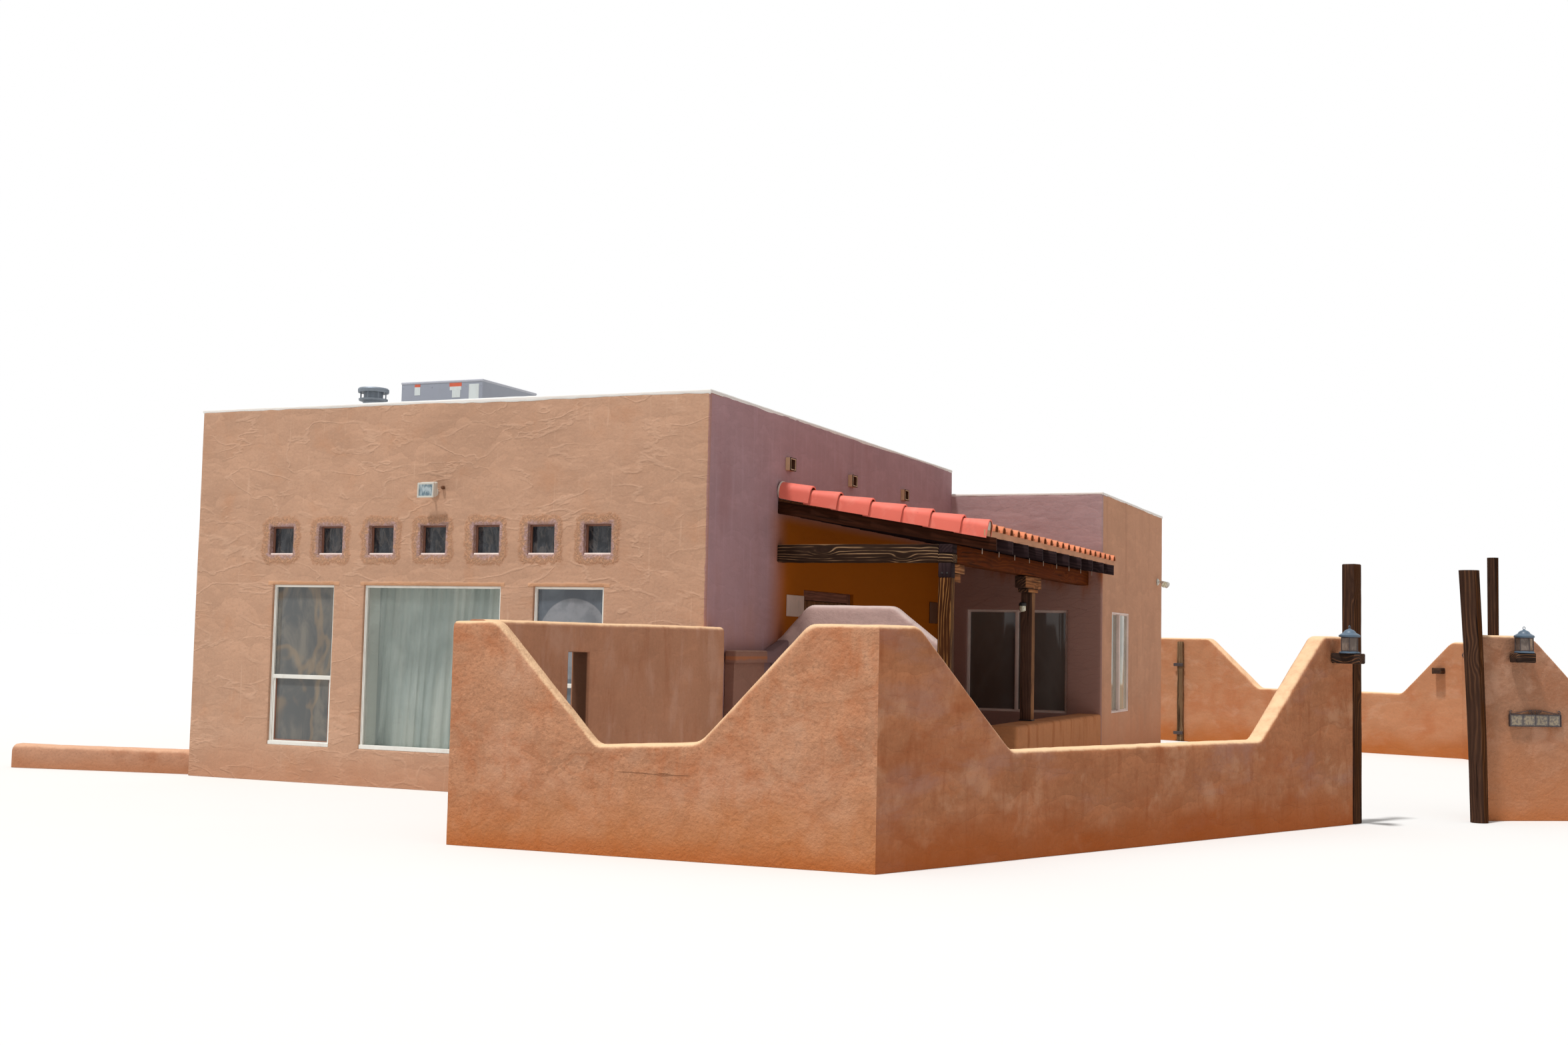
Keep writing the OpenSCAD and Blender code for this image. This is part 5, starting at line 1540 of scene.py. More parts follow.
@dataclass
class HouseWalls:
    """The plastered walls, floors and roofs of the two blocks."""

    door: Opening = Opening(2.24, 3.81, 0.1, 2.2)
    corner: float = 0.028
    edge: float = 0.006
    spout_w: ClassVar[float] = 0.16
    spout_h: ClassVar[float] = 0.14
    spout_ys: ClassVar[Point3] = (-1.975, -0.045, 1.885)

    def _front(self, top: float) -> Wall:
        """The front wall with its hung, picture and small windows."""
        p, half = PLAN, PLAN.small_w / 2
        wide = [(x, p.hung_w, p.sill, p.head) for x in p.hung_xs] + [(p.row_x, p.picture_w, p.sill, p.head)]
        small = [(x, p.small_w, p.small_z - half, p.small_z + half) for x in p.small_xs]
        holes = [Opening.about(x - p.xl, *size) for x, *size in wide + small]
        ends = dict(round_start=self.corner, round_end=self.corner, round_inner=False, end_finish=1)
        relief = dict(step=0.032, waves=((0.010, 1.1), (0.005, 0.33), (0.0025, 0.11)), proud=0.006)
        place = (p.xl, p.yf), 0, 2 * p.xr
        return Wall.level(*place, p.wall, top, openings=holes, edge=0.014, **ends, **relief)

    def build(self) -> None:
        """Builds the six outer walls and dresses what is inside them."""
        p, pal = PLAN, Palette
        main, wing = p.main_top - p.cap, p.wing_top - p.cap
        plaster("front_wall", "front_wall", "tan_stucco", [pal.tan, pal.mauve], self._front(main))
        start, long, full = p.yf + p.wall, p.yb - p.yf - p.wall, p.yw - p.yf - p.wall
        size = self.spout_w, p.main_roof, p.main_roof + self.spout_h
        holes = [self.door, *(Opening.about(y - start, *size) for y in self.spout_ys)]
        right = Wall.level((p.xr, start), 90, long, p.wall, main, openings=holes, edge=self.edge, calm=0.4)
        plaster("right_wall", "right_wall", "mauve_stucco", [pal.mauve], right)
        self._wing(wing)
        meet = p.yw - p.yb
        line = [(0, wing), (meet - 0.004, wing), (meet + 0.004, main), (full, main)]
        openings = [Opening.about(p.yw - y, p.rear_w, p.wing_sill, p.head) for y in p.left_ys[::-1]]
        soft = dict(step=0.06, round_start=self.corner, round_inner=False, edge=self.edge)
        left = Wall((p.xl, p.yw), 270, full, p.wall, line, openings=openings, **soft)
        plaster("left_wall", "left_wall", "tan_stucco", [pal.side_tan], left)
        inside = {"dividing_wall": pal.room, "floor_slab": pal.slab, "porch_floor": pal.slab}
        for node, finish in {**inside, "main_roof": pal.roofing, "wing_roof": pal.roofing}.items():
            dress_node(node, finish)

    def _wing(self, top: float) -> None:
        """The wing's front, right and back walls."""
        p, pal = PLAN, Palette
        span = p.wing_sill, p.head
        soft = dict(round_end=self.corner, round_inner=False, edge=self.edge)
        inner, side, begin, wide = p.xr - p.wall, p.yb + p.wall, p.xw - p.wall, p.xw - p.xl - 2 * p.wall
        window = [Opening.about(p.front_x - inner, p.front_w, *span)]
        front = Wall.level((inner, p.yb), 0, p.xw - inner, p.wall, top, openings=window, end_finish=1, **soft)
        plaster("wing_front", "wing_front_wall", "mauve_stucco", [pal.wing_mauve, pal.side_tan], front)
        window = [Opening.about(p.side_y - side, p.side_w, *span)]
        right = Wall.level((p.xw, side), 90, p.yw - side, p.wall, top, openings=window, calm=0.4, **soft)
        plaster("wing_right", "wing_right_wall", "tan_stucco", [pal.side_tan], right)
        windows = [Opening.about(begin - x, p.rear_w, *span) for x in p.rear_xs]
        back = Wall.level((begin, p.yw), 180, wide, p.wall, top, step=0.06, edge=self.edge, openings=windows)
        plaster("wing_back", "wing_back_wall", "tan_stucco", [pal.side_tan], back)


@dataclass
class ParapetCaps:
    """The white coating brushed over the parapets and down their inner faces."""

    out: float = 0.006
    drop: float = 0.028
    ragged: float = 0.032

    def _lower_edge(self, top: float, seed: int) -> Callable[[np.ndarray], np.ndarray]:
        """Height of the ragged lower edge along a wall."""

        def height(us: np.ndarray) -> np.ndarray:
            """Brush runs, long and short."""
            places = np.column_stack([us, np.full(len(us), seed * 3.1), np.zeros(len(us))])
            long = 0.5 + 0.5 * lumps(places, 1.4, seed)
            short = 0.5 + 0.5 * lumps(places, 0.12, seed + 3)
            return top - self.drop - self.ragged * long * (0.45 + 0.55 * short) * 0.9

        return height

    def build(self) -> None:
        """Makes the ring on the main block, and the one on the wing that starts and ends at it."""
        p, o = PLAN, self.out
        x0, x1, y0, y1 = p.xl - o, p.xr + o, p.yf - o, p.yb + o
        main = [(x0, y0), (x1, y0), (x1, y1), (x0, y1), (x0, y0)]
        wing = [(p.xr, p.yb - o), (p.xw + o, p.yb - o), (p.xw + o, p.yw + o), (x0, p.yw + o), (x0, p.yb)]
        solids = []
        soft = dict(step=0.035, inner_step=0.3, round_top=0.022, arc=3, waves=((0.006, 0.5), (0.003, 0.09)))
        rings = (main, p.main_top, p.main_roof, 1.0), (wing, p.wing_top, p.wing_roof, 0.0)
        for line, top, roof, ends in rings:
            for i, (start, end) in enumerate(itertools.pairwise(line)):
                foot = self._lower_edge(top, len(solids) + 1)
                skews = dict(skew_start=1.0 if i else ends, skew_end=-1.0 if i < 3 else -ends)
                side = Wall.level(
                    start, heading_of(start, end), math.dist(start, end), p.wall + 2 * o, top, foot=foot,
                    inner_foot=roof, proud=0.0, **skews, **soft,
                )
                solids.append(side.build())
        piece("parapet_coating", solids, [Palette.coating], "roof_coating", "parapet_caps")


@dataclass
class Windows:
    """Metal window frames, sashes and panes."""

    face: float = 0.026
    deep: float = 0.08
    setback: float = 0.03
    flush: float = 0.006
    small_face: float = 0.016
    small_setback: float = 0.055
    small_deep: float = 0.13
    sash: float = 0.022
    pane: float = 0.012

    def _ring(self, width: float, height: float, face: float, deep: float) -> Solid:
        """An outer frame with a raised lip and a stepped inner stop."""
        lip = [(0, 0.004), (0.004, 0), (face * 0.6, 0), (face * 0.66, 0.006), (face, 0.01)]
        return frame_ring(width, height, [*lip, (face, deep), (0, deep)])

    def _sash(self, width: float, height: float, face: float, back: float) -> Solid:
        """A slimmer frame inside the outer one."""
        profile = [(0, 0.002), (0.002, 0), (face - 0.005, 0), (face, 0.005), (face, 0.026), (0, 0.026)]
        return frame_ring(width, height, profile).at(0, back, 0)

    def _sill(self, width: float, high: float) -> Solid:
        """The outer sill of a front window."""
        return block((0.002 - width / 2, -0.02, 0.0), (width / 2 - 0.002, 0.02, high), 0.004)

    def _hung(self) -> list[Solid]:
        """A hung window: frame, sill, and a lower sash with a brown gasket."""
        p, f = PLAN, self.face
        rail, x = p.meeting - p.sill, p.hung_w / 2 - f
        lower = self._sash(2 * x, rail + 0.02 - f, self.sash, 0.018).at(0, 0, f)
        gasket = self._sash(2 * (x - self.sash), rail + 0.02 - f - 2 * self.sash, 0.012, 0.024)
        gasket = gasket.at(0, 0, f + self.sash).wearing(1)
        bar = block((-x, 0.006, rail - 0.022), (x, self.deep - 0.01, rail + 0.022), 0.004)
        frames = [self._ring(p.hung_w, p.head - p.sill, f, self.deep), lower, gasket, bar]
        return [*frames, self._sill(p.hung_w, 0.042)]

    def _slider(self, width: float) -> list[Solid]:
        """A sliding window: frame, two sashes that pass, and their meeting stile."""
        f, height = self.face, PLAN.head - PLAN.wing_sill
        half = width / 2 - f
        solids = [self._ring(width, height, f, self.deep)]
        for side, back in ((-1, 0.044), (1, 0.014)):
            sash = self._sash(half + f / 2, height - 2 * f, 0.01, back)
            solids.append(sash.at(side * (half / 2 - f / 4), 0, f))
        return [*solids, block((-0.026, 0.006, f), (0.026, self.deep - 0.008, height - f), 0.004)]

    def _pane(self, x0: float, x1: float, z0: float, z1: float, depth: float) -> Solid:
        """A pane at a depth in its frame."""
        return block((x0, depth - self.pane / 2, z0), (x1, depth + self.pane / 2, z1), 0.001)

    def build(self) -> None:
        """Makes the frames and panes of every window."""
        p, pal, f = PLAN, Palette, self.face
        front, height, rail, middle = p.yf + self.setback, p.head - p.sill, p.meeting - p.sill, self.deep / 2
        hung = [solid.at(x, front, p.sill) for x in p.hung_xs for solid in self._hung()]
        piece("hung_window_frames", hung, [pal.white_frame, pal.brown_frame], "window_frame", "hung_windows")
        parts = self._ring(p.picture_w, height, f, self.deep), self._sill(p.picture_w, 0.045)
        picture = [solid.at(p.row_x, front, p.sill) for solid in parts]
        piece("picture_window_frame", picture, [pal.white_frame], "window_frame", "picture_window")
        x, wide = p.hung_w / 2 - f, p.picture_w / 2 - f
        one = [self._pane(-wide, wide, f, height - f, middle)]
        two = [self._pane(-x, x, f, rail, middle), self._pane(-x, x, rail, height - f, middle)]
        for name, place, panes, finish in (
            ("hung_window_panes", p.hung_xs[0], two, pal.hung_glass),
            ("right_window_panes", p.hung_xs[1], two, pal.arched_glass),
            ("picture_window_pane", p.row_x, one, pal.picture_glass),
        ):
            piece(name, [pane.at(place, front, p.sill) for pane in panes], [finish], "glass", "window_glass")
        self._small()
        self._wing()

    def _small(self) -> None:
        """The seven small windows, each with a pale sill."""
        p, pal, face, half = PLAN, Palette, self.small_face, PLAN.small_w / 2
        ring = self._ring(p.small_w, p.small_w, face, self.small_deep)
        corner = 0.002 - half, 0.015 - self.small_setback, -0.004
        sill = block(corner, (half - 0.002, 0.012, 0.018), 0.006).wearing(1)
        pane = self._pane(face - half, half - face, face, p.small_w - face, 0.03)
        places = [(x, p.yf + self.small_setback, p.small_z - half) for x in p.small_xs]
        frames = [part.at(*place) for place in places for part in (ring, sill)]
        finishes = [pal.brown_frame, pal.sill_white]
        piece("small_window_frames", frames, finishes, "window_frame", "small_windows")
        panes = [pane.at(*place) for place in places]
        piece("small_window_panes", panes, [pal.small_glass], "glass", "window_glass")

    def _wing(self) -> None:
        """The sliding windows of the wing, the left side and the back."""
        p, pal, f = PLAN, Palette, self.face
        spots = [
            (p.front_w, p.front_x, p.yb + self.setback, 0, 0),
            (p.side_w, p.xw - self.flush, p.side_y, 90, 1),
            *((p.rear_w, x, p.yw - self.setback, 180, 0) for x in p.rear_xs),
            *((p.rear_w, p.xl + self.setback, y, -90, 0) for y in p.left_ys),
        ]
        frames, panes = [], []
        for width, x, y, turn, pale in spots:
            frames += [solid.at(x, y, p.wing_sill, turn) for solid in self._slider(width)]
            half, top = width / 2 - f, p.head - p.wing_sill - f
            both = self._pane(-half, 0.0, f, top, 0.057), self._pane(0.0, half, f, top, 0.027)
            panes += [solid.wearing(pale).at(x, y, p.wing_sill, turn) for solid in both]
        piece("wing_window_frames", frames, [pal.pink_frame], "window_frame", "wing_windows")
        piece("wing_window_panes", panes, [pal.dark_glass, pal.side_glass], "glass", "window_glass")


@dataclass
class Curtains:
    """Pleated cloth behind the three front windows, hung from rods."""

    back: float = 0.345
    drop: float = 1.9
    foot: float = 0.335
    rod_r: float = 0.011
    pleat: float = 0.026
    lean: float = 0.05
    columns: int = 420
    rows: int = 26

    def _cloth(self, middle: float, width: float, folds: float, seed: int) -> tuple[Solid, float]:
        """One curtain as a single surface.

        Args:
            middle: Its middle along the wall.
            width: Width that it covers.
            folds: Number of pleats.
            seed: Number that picks how the pleats wander.

        Returns:
            The cloth and the width it was cut to.
        """
        s, t = np.meshgrid(np.linspace(0, 1, self.columns), np.linspace(0, 1, self.rows))
        flat = np.column_stack([s.ravel() * 6, t.ravel() * 0.8, np.full(s.size, float(seed))])
        wander = lumps(flat, 0.8, seed).reshape(s.shape) * (0.35 + 1.1 * t)
        phase = 2 * math.pi * folds * (s + self.lean * t) + wander * 3.4
        full = self.pleat * (0.4 + 0.6 * np.clip(s * 1.8 - 0.3, 0, 1))
        uneven = lumps(flat, 0.5, seed + 2).reshape(s.shape)
        swell = full * (0.75 + 0.25 * np.sin(math.pi * t) + 0.35 * uneven)
        x = middle - width / 2 + width * s + 0.006 * np.sin(2 * phase) + 0.012 * wander * t
        y = PLAN.yf + self.back + np.clip(swell, 0, self.pleat) * (1 - 2 * np.abs(np.sin(phase / 2)))
        z = self.foot + self.drop * (1 - t) + 0.006 * np.sin(phase) * t
        points = np.stack([x, y, z], axis=-1)
        cut = float(np.mean(np.linalg.norm(np.diff(points, axis=1), axis=2).sum(axis=1)))
        index = np.arange(s.size).reshape(s.shape)
        quads = np.stack([index[:-1, :-1], index[:-1, 1:], index[1:, 1:], index[1:, :-1]], axis=-1)
        return Solid(points.reshape(-1, 3), quads.reshape(-1, 4).tolist()), cut

    def build(self) -> None:
        """Hangs the three curtains on their rods."""
        p, pal = PLAN, Palette
        left, right = p.hung_xs
        y, top = p.yf + self.back, self.foot + self.drop
        rods = []
        for middle, width in ((left, 0.9), (p.row_x, 1.88), (right, 0.9)):
            ends = [(middle + side * width / 2, y, top - 0.004) for side in (-1, 1)]
            rods.append(tube(ends, self.rod_r, 12))
            for side in (-1, 1):
                x = middle + side * (width / 2 - 0.03)
                rods.append(block((x - 0.008, p.yf + p.wall, top - 0.02), (x + 0.008, y, top + 0.004), 0.002))
        piece("curtain_rods", rods, [pal.white_frame], "window_frame")
        for name, middle, width, folds, finish, seed in (
            ("left_curtain", left, 0.86, 7, pal.grey_cloth, 3),
            ("picture_curtain", p.row_x, 1.84, 17, pal.teal_cloth, 7),
            ("right_curtain", right, 0.86, 5, pal.blue_cloth, 11),
        ):
            solid, cut = self._cloth(middle, width, folds, seed)
            cloth = piece(name, [solid], [finish], "curtain", "curtains", smooth=180)


@dataclass
class PorchDoor:
    """The pair of plank doors under the porch, in their frame."""

    planks: int = 5
    plank_gap: float = 0.003
    jamb: float = 0.11
    gap: float = 0.004

    def build(self) -> None:
        """Makes the frame and the leaves."""
        lo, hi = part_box("door_frame")
        tall, deep, jamb = hi.z - lo.z, hi.x - lo.x, self.jamb
        posts = [timber(tall, jamb, deep, 41 + i).turned("Y", -90) for i in range(2)]
        head = timber(hi.y - lo.y - 2 * jamb, deep, jamb, 43).at(hi.x, lo.y + jamb, hi.z - jamb, 90)
        solids = [posts[0].at(hi.x, lo.y, lo.z), posts[1].at(hi.x, hi.y - jamb, lo.z), head]
        piece("door_surround", solids, [Palette.surround], "dark_timber", "door_frame")
        self._leaves(*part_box("entry_doors"))

    def _leaves(self, lo: Vector, hi: Vector) -> None:
        """Two leaves of upright planks with ledges, hinges and a handle each."""
        half = (hi.y - lo.y - self.gap) / 2
        wide, thick = half / self.planks, (hi.x - lo.x) * 0.7
        solids = []
        for leaf in range(2):
            y0 = lo.y + leaf * (half + self.gap)
            for i in range(self.planks):
                plank = timber(hi.z - lo.z, wide - self.plank_gap, thick, 50 + 7 * leaf + i, wear=0.001)
                solids.append(plank.turned("Y", -90).at(hi.x, y0 + i * wide, lo.z))
            for z in (lo.z + 0.25, lo.z + 0.95, hi.z - 0.3):
                solids.append(timber(half - 0.06, 0.013, 0.11, 70 + leaf).at(lo.x + 0.014, y0 + 0.03, z, 90))
            low, high = (y0 + half - 0.28, y0 + half) if leaf else (y0, y0 + 0.28)
            for z in (lo.z + 0.27, hi.z - 0.28):
                hinge = block((hi.x - 0.001, low, z), (hi.x + 0.005, high, z + 0.035), 0.001)
                solids.append(hinge.wearing(1))
            y = y0 + (0.05 if leaf else half - 0.05)
            path = [(hi.x + out, y, z) for out, z in ((0, 1.05), (0.045, 1.07), (0.05, 1.16), (0, 1.19))]
            solids.append(tube(path, 0.007).wearing(1))
        piece("plank_doors", solids, [Palette.door, Palette.steel], "door_timber", "entry_doors")


@dataclass
class PorchFrame:
    """Posts, beams, corbels, rafters and roof boards of the porch."""

    post: float = 0.145
    front: float = -2.25
    post_x: float = 4.97
    cap: float = 2.315
    beam: float = 0.16
    beam_low: float = 2.466
    beam_top: float = 2.663
    beam_out: float = 1.965
    mid_y: float = 1.04
    wall_top: float = 0.735
    rafters: int = 10
    rafter_t: float = 0.04
    rafter_h: float = 0.135
    eave: float = 2.3
    tail: float = 0.12
    deck_t: float = 0.025
    boards: int = 16
    hidden: float = 0.042

    def roof_z(self, x: float) -> float:
        """Height of the rafters' top at a distance from the house."""
        return self.beam_top + self.rafter_h + (self.beam_out - x) * PLAN.pitch

    def build(self) -> None:
        """Makes the timbers from the ground up."""
        self._posts()
        self._beams()
        self._corbels()
        self._rafters()
        self._boards()
        self._lamp()

    @staticmethod
    def upright(length: float, width: float, seed: int, wear: float) -> Solid:
        """A square timber that stands on its end, from its low corner."""
        return timber(length, width, width, seed, wear, 0.008, 0.06).turned("Y", -90).at(width, 0, 0)

    def _posts(self) -> None:
        """The corner post with its bolted top block, and the post on the low wall."""
        pal, x, y, z, wide = Palette, self.post_x, self.mid_y, self.wall_top, self.post
        corner = self.upright(self.cap, wide, 5, 0.006).at(x, self.front, 0)
        top = self.upright(self.beam_low - self.cap, wide, 6, 0.004).wearing(2).at(x, self.front, self.cap)
        middle = self.upright(2.27 - z, wide, 9, 0.004).wearing(1).at(x, y, z)
        bolt = lathe([(0, 0), (0.009, 0.002), (0.011, 0.008), (0, 0.012)], 12).turned("X", 90).wearing(3)
        bolts = [bolt.at(x + side, self.front + 0.006, 2.36) for side in (0.045, 0.1)]
        shoe = block((x - 0.006, y - 0.006, z), (x + 0.151, y + 0.151, z + 0.012), 0.003).wearing(3)
        finishes = [pal.post, pal.inner_post, pal.rafter, pal.steel]
        solids = [corner, top, middle, *bolts, shoe]
        piece("porch_post_timbers", solids, finishes, "dark_timber", "porch_posts")

    def _beams(self) -> None:
        """The front beam and the eave beam, halved over each other at the corner."""
        pal, low, high, deep = Palette, self.beam_low, self.beam_top - self.beam_low, self.beam
        long = self.post_x - PLAN.xr
        front = timber(long, deep, high, 13, 0.006, 0.008, 0.05).at(PLAN.xr, self.front, low)
        tongue = timber(deep, deep, high / 2, 13, 0.005, 0.008, 0.05).at(self.post_x, self.front, low)
        tongue.grain = tongue.grain + np.array([long, 0, 0])
        piece("front_beam_timber", [front, tongue], [pal.beam], "dark_timber", "front_beam")
        x = self.post_x + deep
        eave = timber(PLAN.yb - self.front - deep, deep, high, 17, 0.006, 0.008, 0.06)
        lap = timber(deep, deep, high / 2, 18, 0.005, 0.008, 0.05).wearing(1)
        solids = [eave.at(x, self.front + deep, low, 90), lap.at(x, self.front, low + high / 2, 90)]
        piece("eave_beam_timber", solids, [pal.brown_beam, pal.rafter], "dark_timber", "eave_beam")

    def _corbels(self) -> None:
        """Two stepped layers over the middle post, and half of them behind the corner post."""
        middle, back = self.mid_y + self.post / 2, self.front + self.post
        solids = []
        for seed, start, long, low, high in (
            (23, middle - 0.36, 0.72, 2.318, self.beam_low),
            (24, middle - 0.225, 0.45, 2.27, 2.318),
            (27, back, 0.35, 2.365, self.beam_low),
            (28, back, 0.2, 2.27, 2.365),
        ):
            layer = timber(long, self.post, high - low, seed, 0.005, 0.008, 0.05)
            solids.append(layer.at(self.post_x + self.post, start, low, 90))
        piece("corbel_timbers", solids, [Palette.bracket], "dark_timber", "corbels")

    def _rafters(self) -> None:
        """Rafters, and the pegs under their tails."""
        lo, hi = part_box("rafters")
        gap = (hi.y - lo.y - self.rafter_t) / (self.rafters - 1)
        x, z = PLAN.xr + self.eave - 0.03, self.roof_z(self.eave) - self.rafter_h
        size = self.eave + self.tail, self.rafter_t, self.rafter_h
        solids, pegs = [], []
        for i in range(self.rafters):
            y = lo.y + i * gap
            rafter = timber(*size, 80 + i, 0.002, 0.004).pitched(PLAN.pitch).wearing(int(i == 0))
            solids.append(rafter.at(PLAN.xr, y, self.roof_z(0) - self.rafter_h))
            pegs.append(tube([(x, y + 0.02, z - 0.05), (x, y + 0.02, z + 0.03)], 0.004))
        piece("rafter_timbers", solids, [Palette.rafter, Palette.barge], "dark_timber", "rafters")
        piece("eave_pegs", pegs[:-1], [Palette.hook], "lamp_housing")

    def _boards(self) -> None:
        """Roof boards and the painted eave board."""
        lo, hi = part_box("porch_deck")
        wide, long = self.eave / self.boards, hi.y - lo.y
        boards = []
        for i in range(self.boards):
            board = timber(long - self.hidden, wide - 0.003, self.deck_t, 100 + i, 0.0015, 0.003, 0.3)
            board = board.at((i + 1) * wide - 0.0015, 0, 0, 90).pitched(PLAN.pitch)
            boards.append(board.at(PLAN.xr, lo.y + self.hidden, self.roof_z(0)))
        piece("porch_roof_boards", boards, [Palette.deck], "dark_timber", "porch_deck")
        out = self.eave + 0.022
        edge = timber(long, 0.022, 0.068, 120, 0.002, 0.003).at(PLAN.xr + out, lo.y, self.roof_z(out), 90)
        piece("eave_board", [edge], [Palette.eave_board], "painted_timber", "fascia")

    def _lamp(self) -> None:
        """The jar lamp on the middle post, with its dark cap and arm."""
        cap = lathe([(0.044, 0.07), (0.046, 0.08), (0.044, 0.1), (0.03, 0.112), (0, 0.115)], 24)
        jar = lathe([(0, 0.006), (0.02, 0.0), (0.037, 0.012), (0.041, 0.045), (0.038, 0.071)], 24).wearing(1)
        x, y, z = self.post_x + 0.04, self.mid_y - 0.055, 2.04
        arm = block((x - 0.02, y + 0.02, z + 0.07), (x + 0.02, y + 0.058, z + 0.11), 0.004)
        finishes = [Palette.steel, Palette.lens]
        piece("post_lamp", [cap.at(x, y, z), jar.at(x, y, z), arm], finishes, "lamp_housing")


@dataclass
class PorchTiles:
    """Barrel tiles over pan tiles, and the cap tiles along the rake."""

    porch: PorchFrame
    rows: int = 21
    courses: int = 7
    radius: float = 0.078
    wall: float = 0.014
    pan: float = 0.045
    over: float = 0.045
    lap: float = 0.07
    cap_r: float = 0.096
    cap_rise: float = 0.085
    cap_leg: float = 0.1
    cap_ends: Sequence[float] = (0.376, 0.694, 1.056, 1.415, 1.72, 2.056, 2.34)
    cap_lifts: Sequence[float] = (0.02, 0.004, -0.004, -0.014, -0.014, -0.022, -0.028)

    def __post_init__(self) -> None:
        """Works out the slope and the height of the boards at the house."""
        self.slope = math.atan(PLAN.pitch)
        self.tilt = Matrix.Rotation(self.slope, 4, "Y")
        self.base = self.porch.roof_z(0) + self.porch.deck_t

    @staticmethod
    def _tile(
        length: float, radii: Point2, thick: float, arc: int, span: float = 180.0, leg: float = 0.0
    ) -> Solid:
        """A tapered half pipe down the X axis, open below.

        Args:
            length: Its length.
            radii: Its radius at its upper and at its lower end.
            thick: How thick it is.
            arc: Faces round it.
            span: Angle that it covers.
            leg: Height of the straight sides under its arch.

        Returns:
            The tile, with its inner faces in the second finish of its piece.
        """
        angles = np.radians(np.linspace(90 - span / 2, 90 + span / 2, arc + 1))
        upper, lower = radii
        middle, last = (length * 0.5, (upper + lower) / 2), (length, lower - 0.003)
        rings = []
        for x, radius in ((0.0, upper), middle, (length - 0.005, lower), last):
            sides = []
            for r in (radius, radius - thick):
                y, z = r * np.cos(angles), r * np.sin(angles)
                if leg:
                    y, z = np.pad(y, 1, "edge"), np.pad(z, 1, constant_values=-leg)
                sides.append(np.column_stack([np.full(len(y), x), y, z]))
            rings.append(np.concatenate([sides[0], sides[1][::-1]]))
        made = loft(rings, ends=False)
        half = len(rings[0]) // 2
        for base, flip in ((0, 1), (6 * half, -1)):
            for i in range(half - 1):
                ring = [base + i, base + i + 1, base + 2 * half - 2 - i, base + 2 * half - 1 - i]
                made.faces.append(ring[::flip])
        made.finish = ([0] * half + [1] * half) * 3 + [0] * (2 * half - 2)
        return made

    def build(self) -> None:
        """Lays the field and the rake."""
        self._field()
        self._rake()

    def _field(self) -> None:
        """Rows of overlapping barrels, with a pan in each valley."""
        lo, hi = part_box("field_tiles")
        random = np.random.default_rng(21)
        pitch, base = (hi.y - lo.y) / self.rows, self.base + self.pan
        run = (self.porch.eave + self.over) / math.cos(self.slope)
        reach, radii = run / self.courses, (self.radius - 0.016, self.radius - 0.004)
        solids = []
        for row, course in itertools.product(range(self.rows), range(self.courses)):
            lap = self.lap if course else 0.0
            y = lo.y + (row + 0.5) * pitch + random.uniform(-0.003, 0.003)
            turn = spin("Z", random.uniform(-0.6, 0.6))
            slid = Matrix.Translation((course * reach - lap, 0, random.uniform(-0.006, -0.004)))
            place = Matrix.Translation((PLAN.xr, y, base)) @ self.tilt @ slid @ turn
            made = self._tile(reach + lap, radii, self.wall, 14).moved(place)
            solids.append(replace(made, tint=random.uniform(0, 1)))
        for valley in range(self.rows + 1):
            place = Matrix.Translation((PLAN.xr, lo.y + valley * pitch, base + 0.046))
            trough = self._tile(run - 0.02, (0.07, 0.066), 0.01, 10, 130.0)
            made = trough.moved(place @ self.tilt @ spin("X", 180)).wearing(1, random.uniform(0, 1))
            made.points[:, 1] = np.clip(made.points[:, 1], lo.y - 0.02, hi.y)
            solids.append(made)
        for made in solids:
            made.points[:, 0] = np.clip(made.points[:, 0], PLAN.xr, hi.x)
        piece("barrel_tiles", solids, [Palette.clay, Palette.pan], "clay_tile", "field_tiles")

    def _rake(self) -> None:
        """Cap tiles that overlap down the rake, bedded in mortar, with a collar at the wall."""
        lo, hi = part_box("rake_tiles")
        random = np.random.default_rng(5)
        y, r, base, lifts = lo.y + self.cap_r, self.cap_r, self.base + self.cap_rise, self.cap_lifts
        solids = []
        for i, (end, lift) in enumerate(zip(self.cap_ends, lifts)):
            start, upper = (self.cap_ends[i - 1] - self.lap, r - 0.034) if i else (0.0, r - 0.01)
            cap = self._tile((end - start) / math.cos(self.slope), (upper, r), 0.015, 24, leg=self.cap_leg)
            place = Matrix.Translation((PLAN.xr + start, y, base - start * PLAN.pitch + lift))
            made = cap.moved(place @ self.tilt)
            made.points[:, 0] = np.clip(made.points[:, 0], PLAN.xr + 0.02, hi.x)
            made.points[:, 1] = np.clip(made.points[:, 1], lo.y, None)
            solids.append(replace(made, tint=random.uniform(0.0, 0.5)))
        for x, long, size, lift in ((0.0, 0.024, r, lifts[0]), (2.2, 0.125, r - 0.02, lifts[-1])):
            plug = lathe([(0, 0), (size - 0.012, 0), (size, 0.01), (size, long), (0, long)], 28).wearing(2)
            plug = plug.moved(Matrix.Rotation(math.pi / 2 + self.slope, 4, "Y"))
            plug = plug.at(PLAN.xr + x, y, base + lift - x * PLAN.pitch)
            plug.points[:, 0] = np.clip(plug.points[:, 0], PLAN.xr, None)
            solids.append(plug)
        ends = (0.01, lo.y + 0.05, 0), (self.porch.eave + 0.02, lo.y + 0.16, self.cap_rise - 0.03)
        solids.append(block(*ends, 0.01).wearing(2).pitched(PLAN.pitch).at(PLAN.xr, 0, self.base))
        finishes = [Palette.coral, Palette.pan, Palette.mortar]
        piece("rake_cap_tiles", solids, finishes, "coral_tile", "rake_tiles")


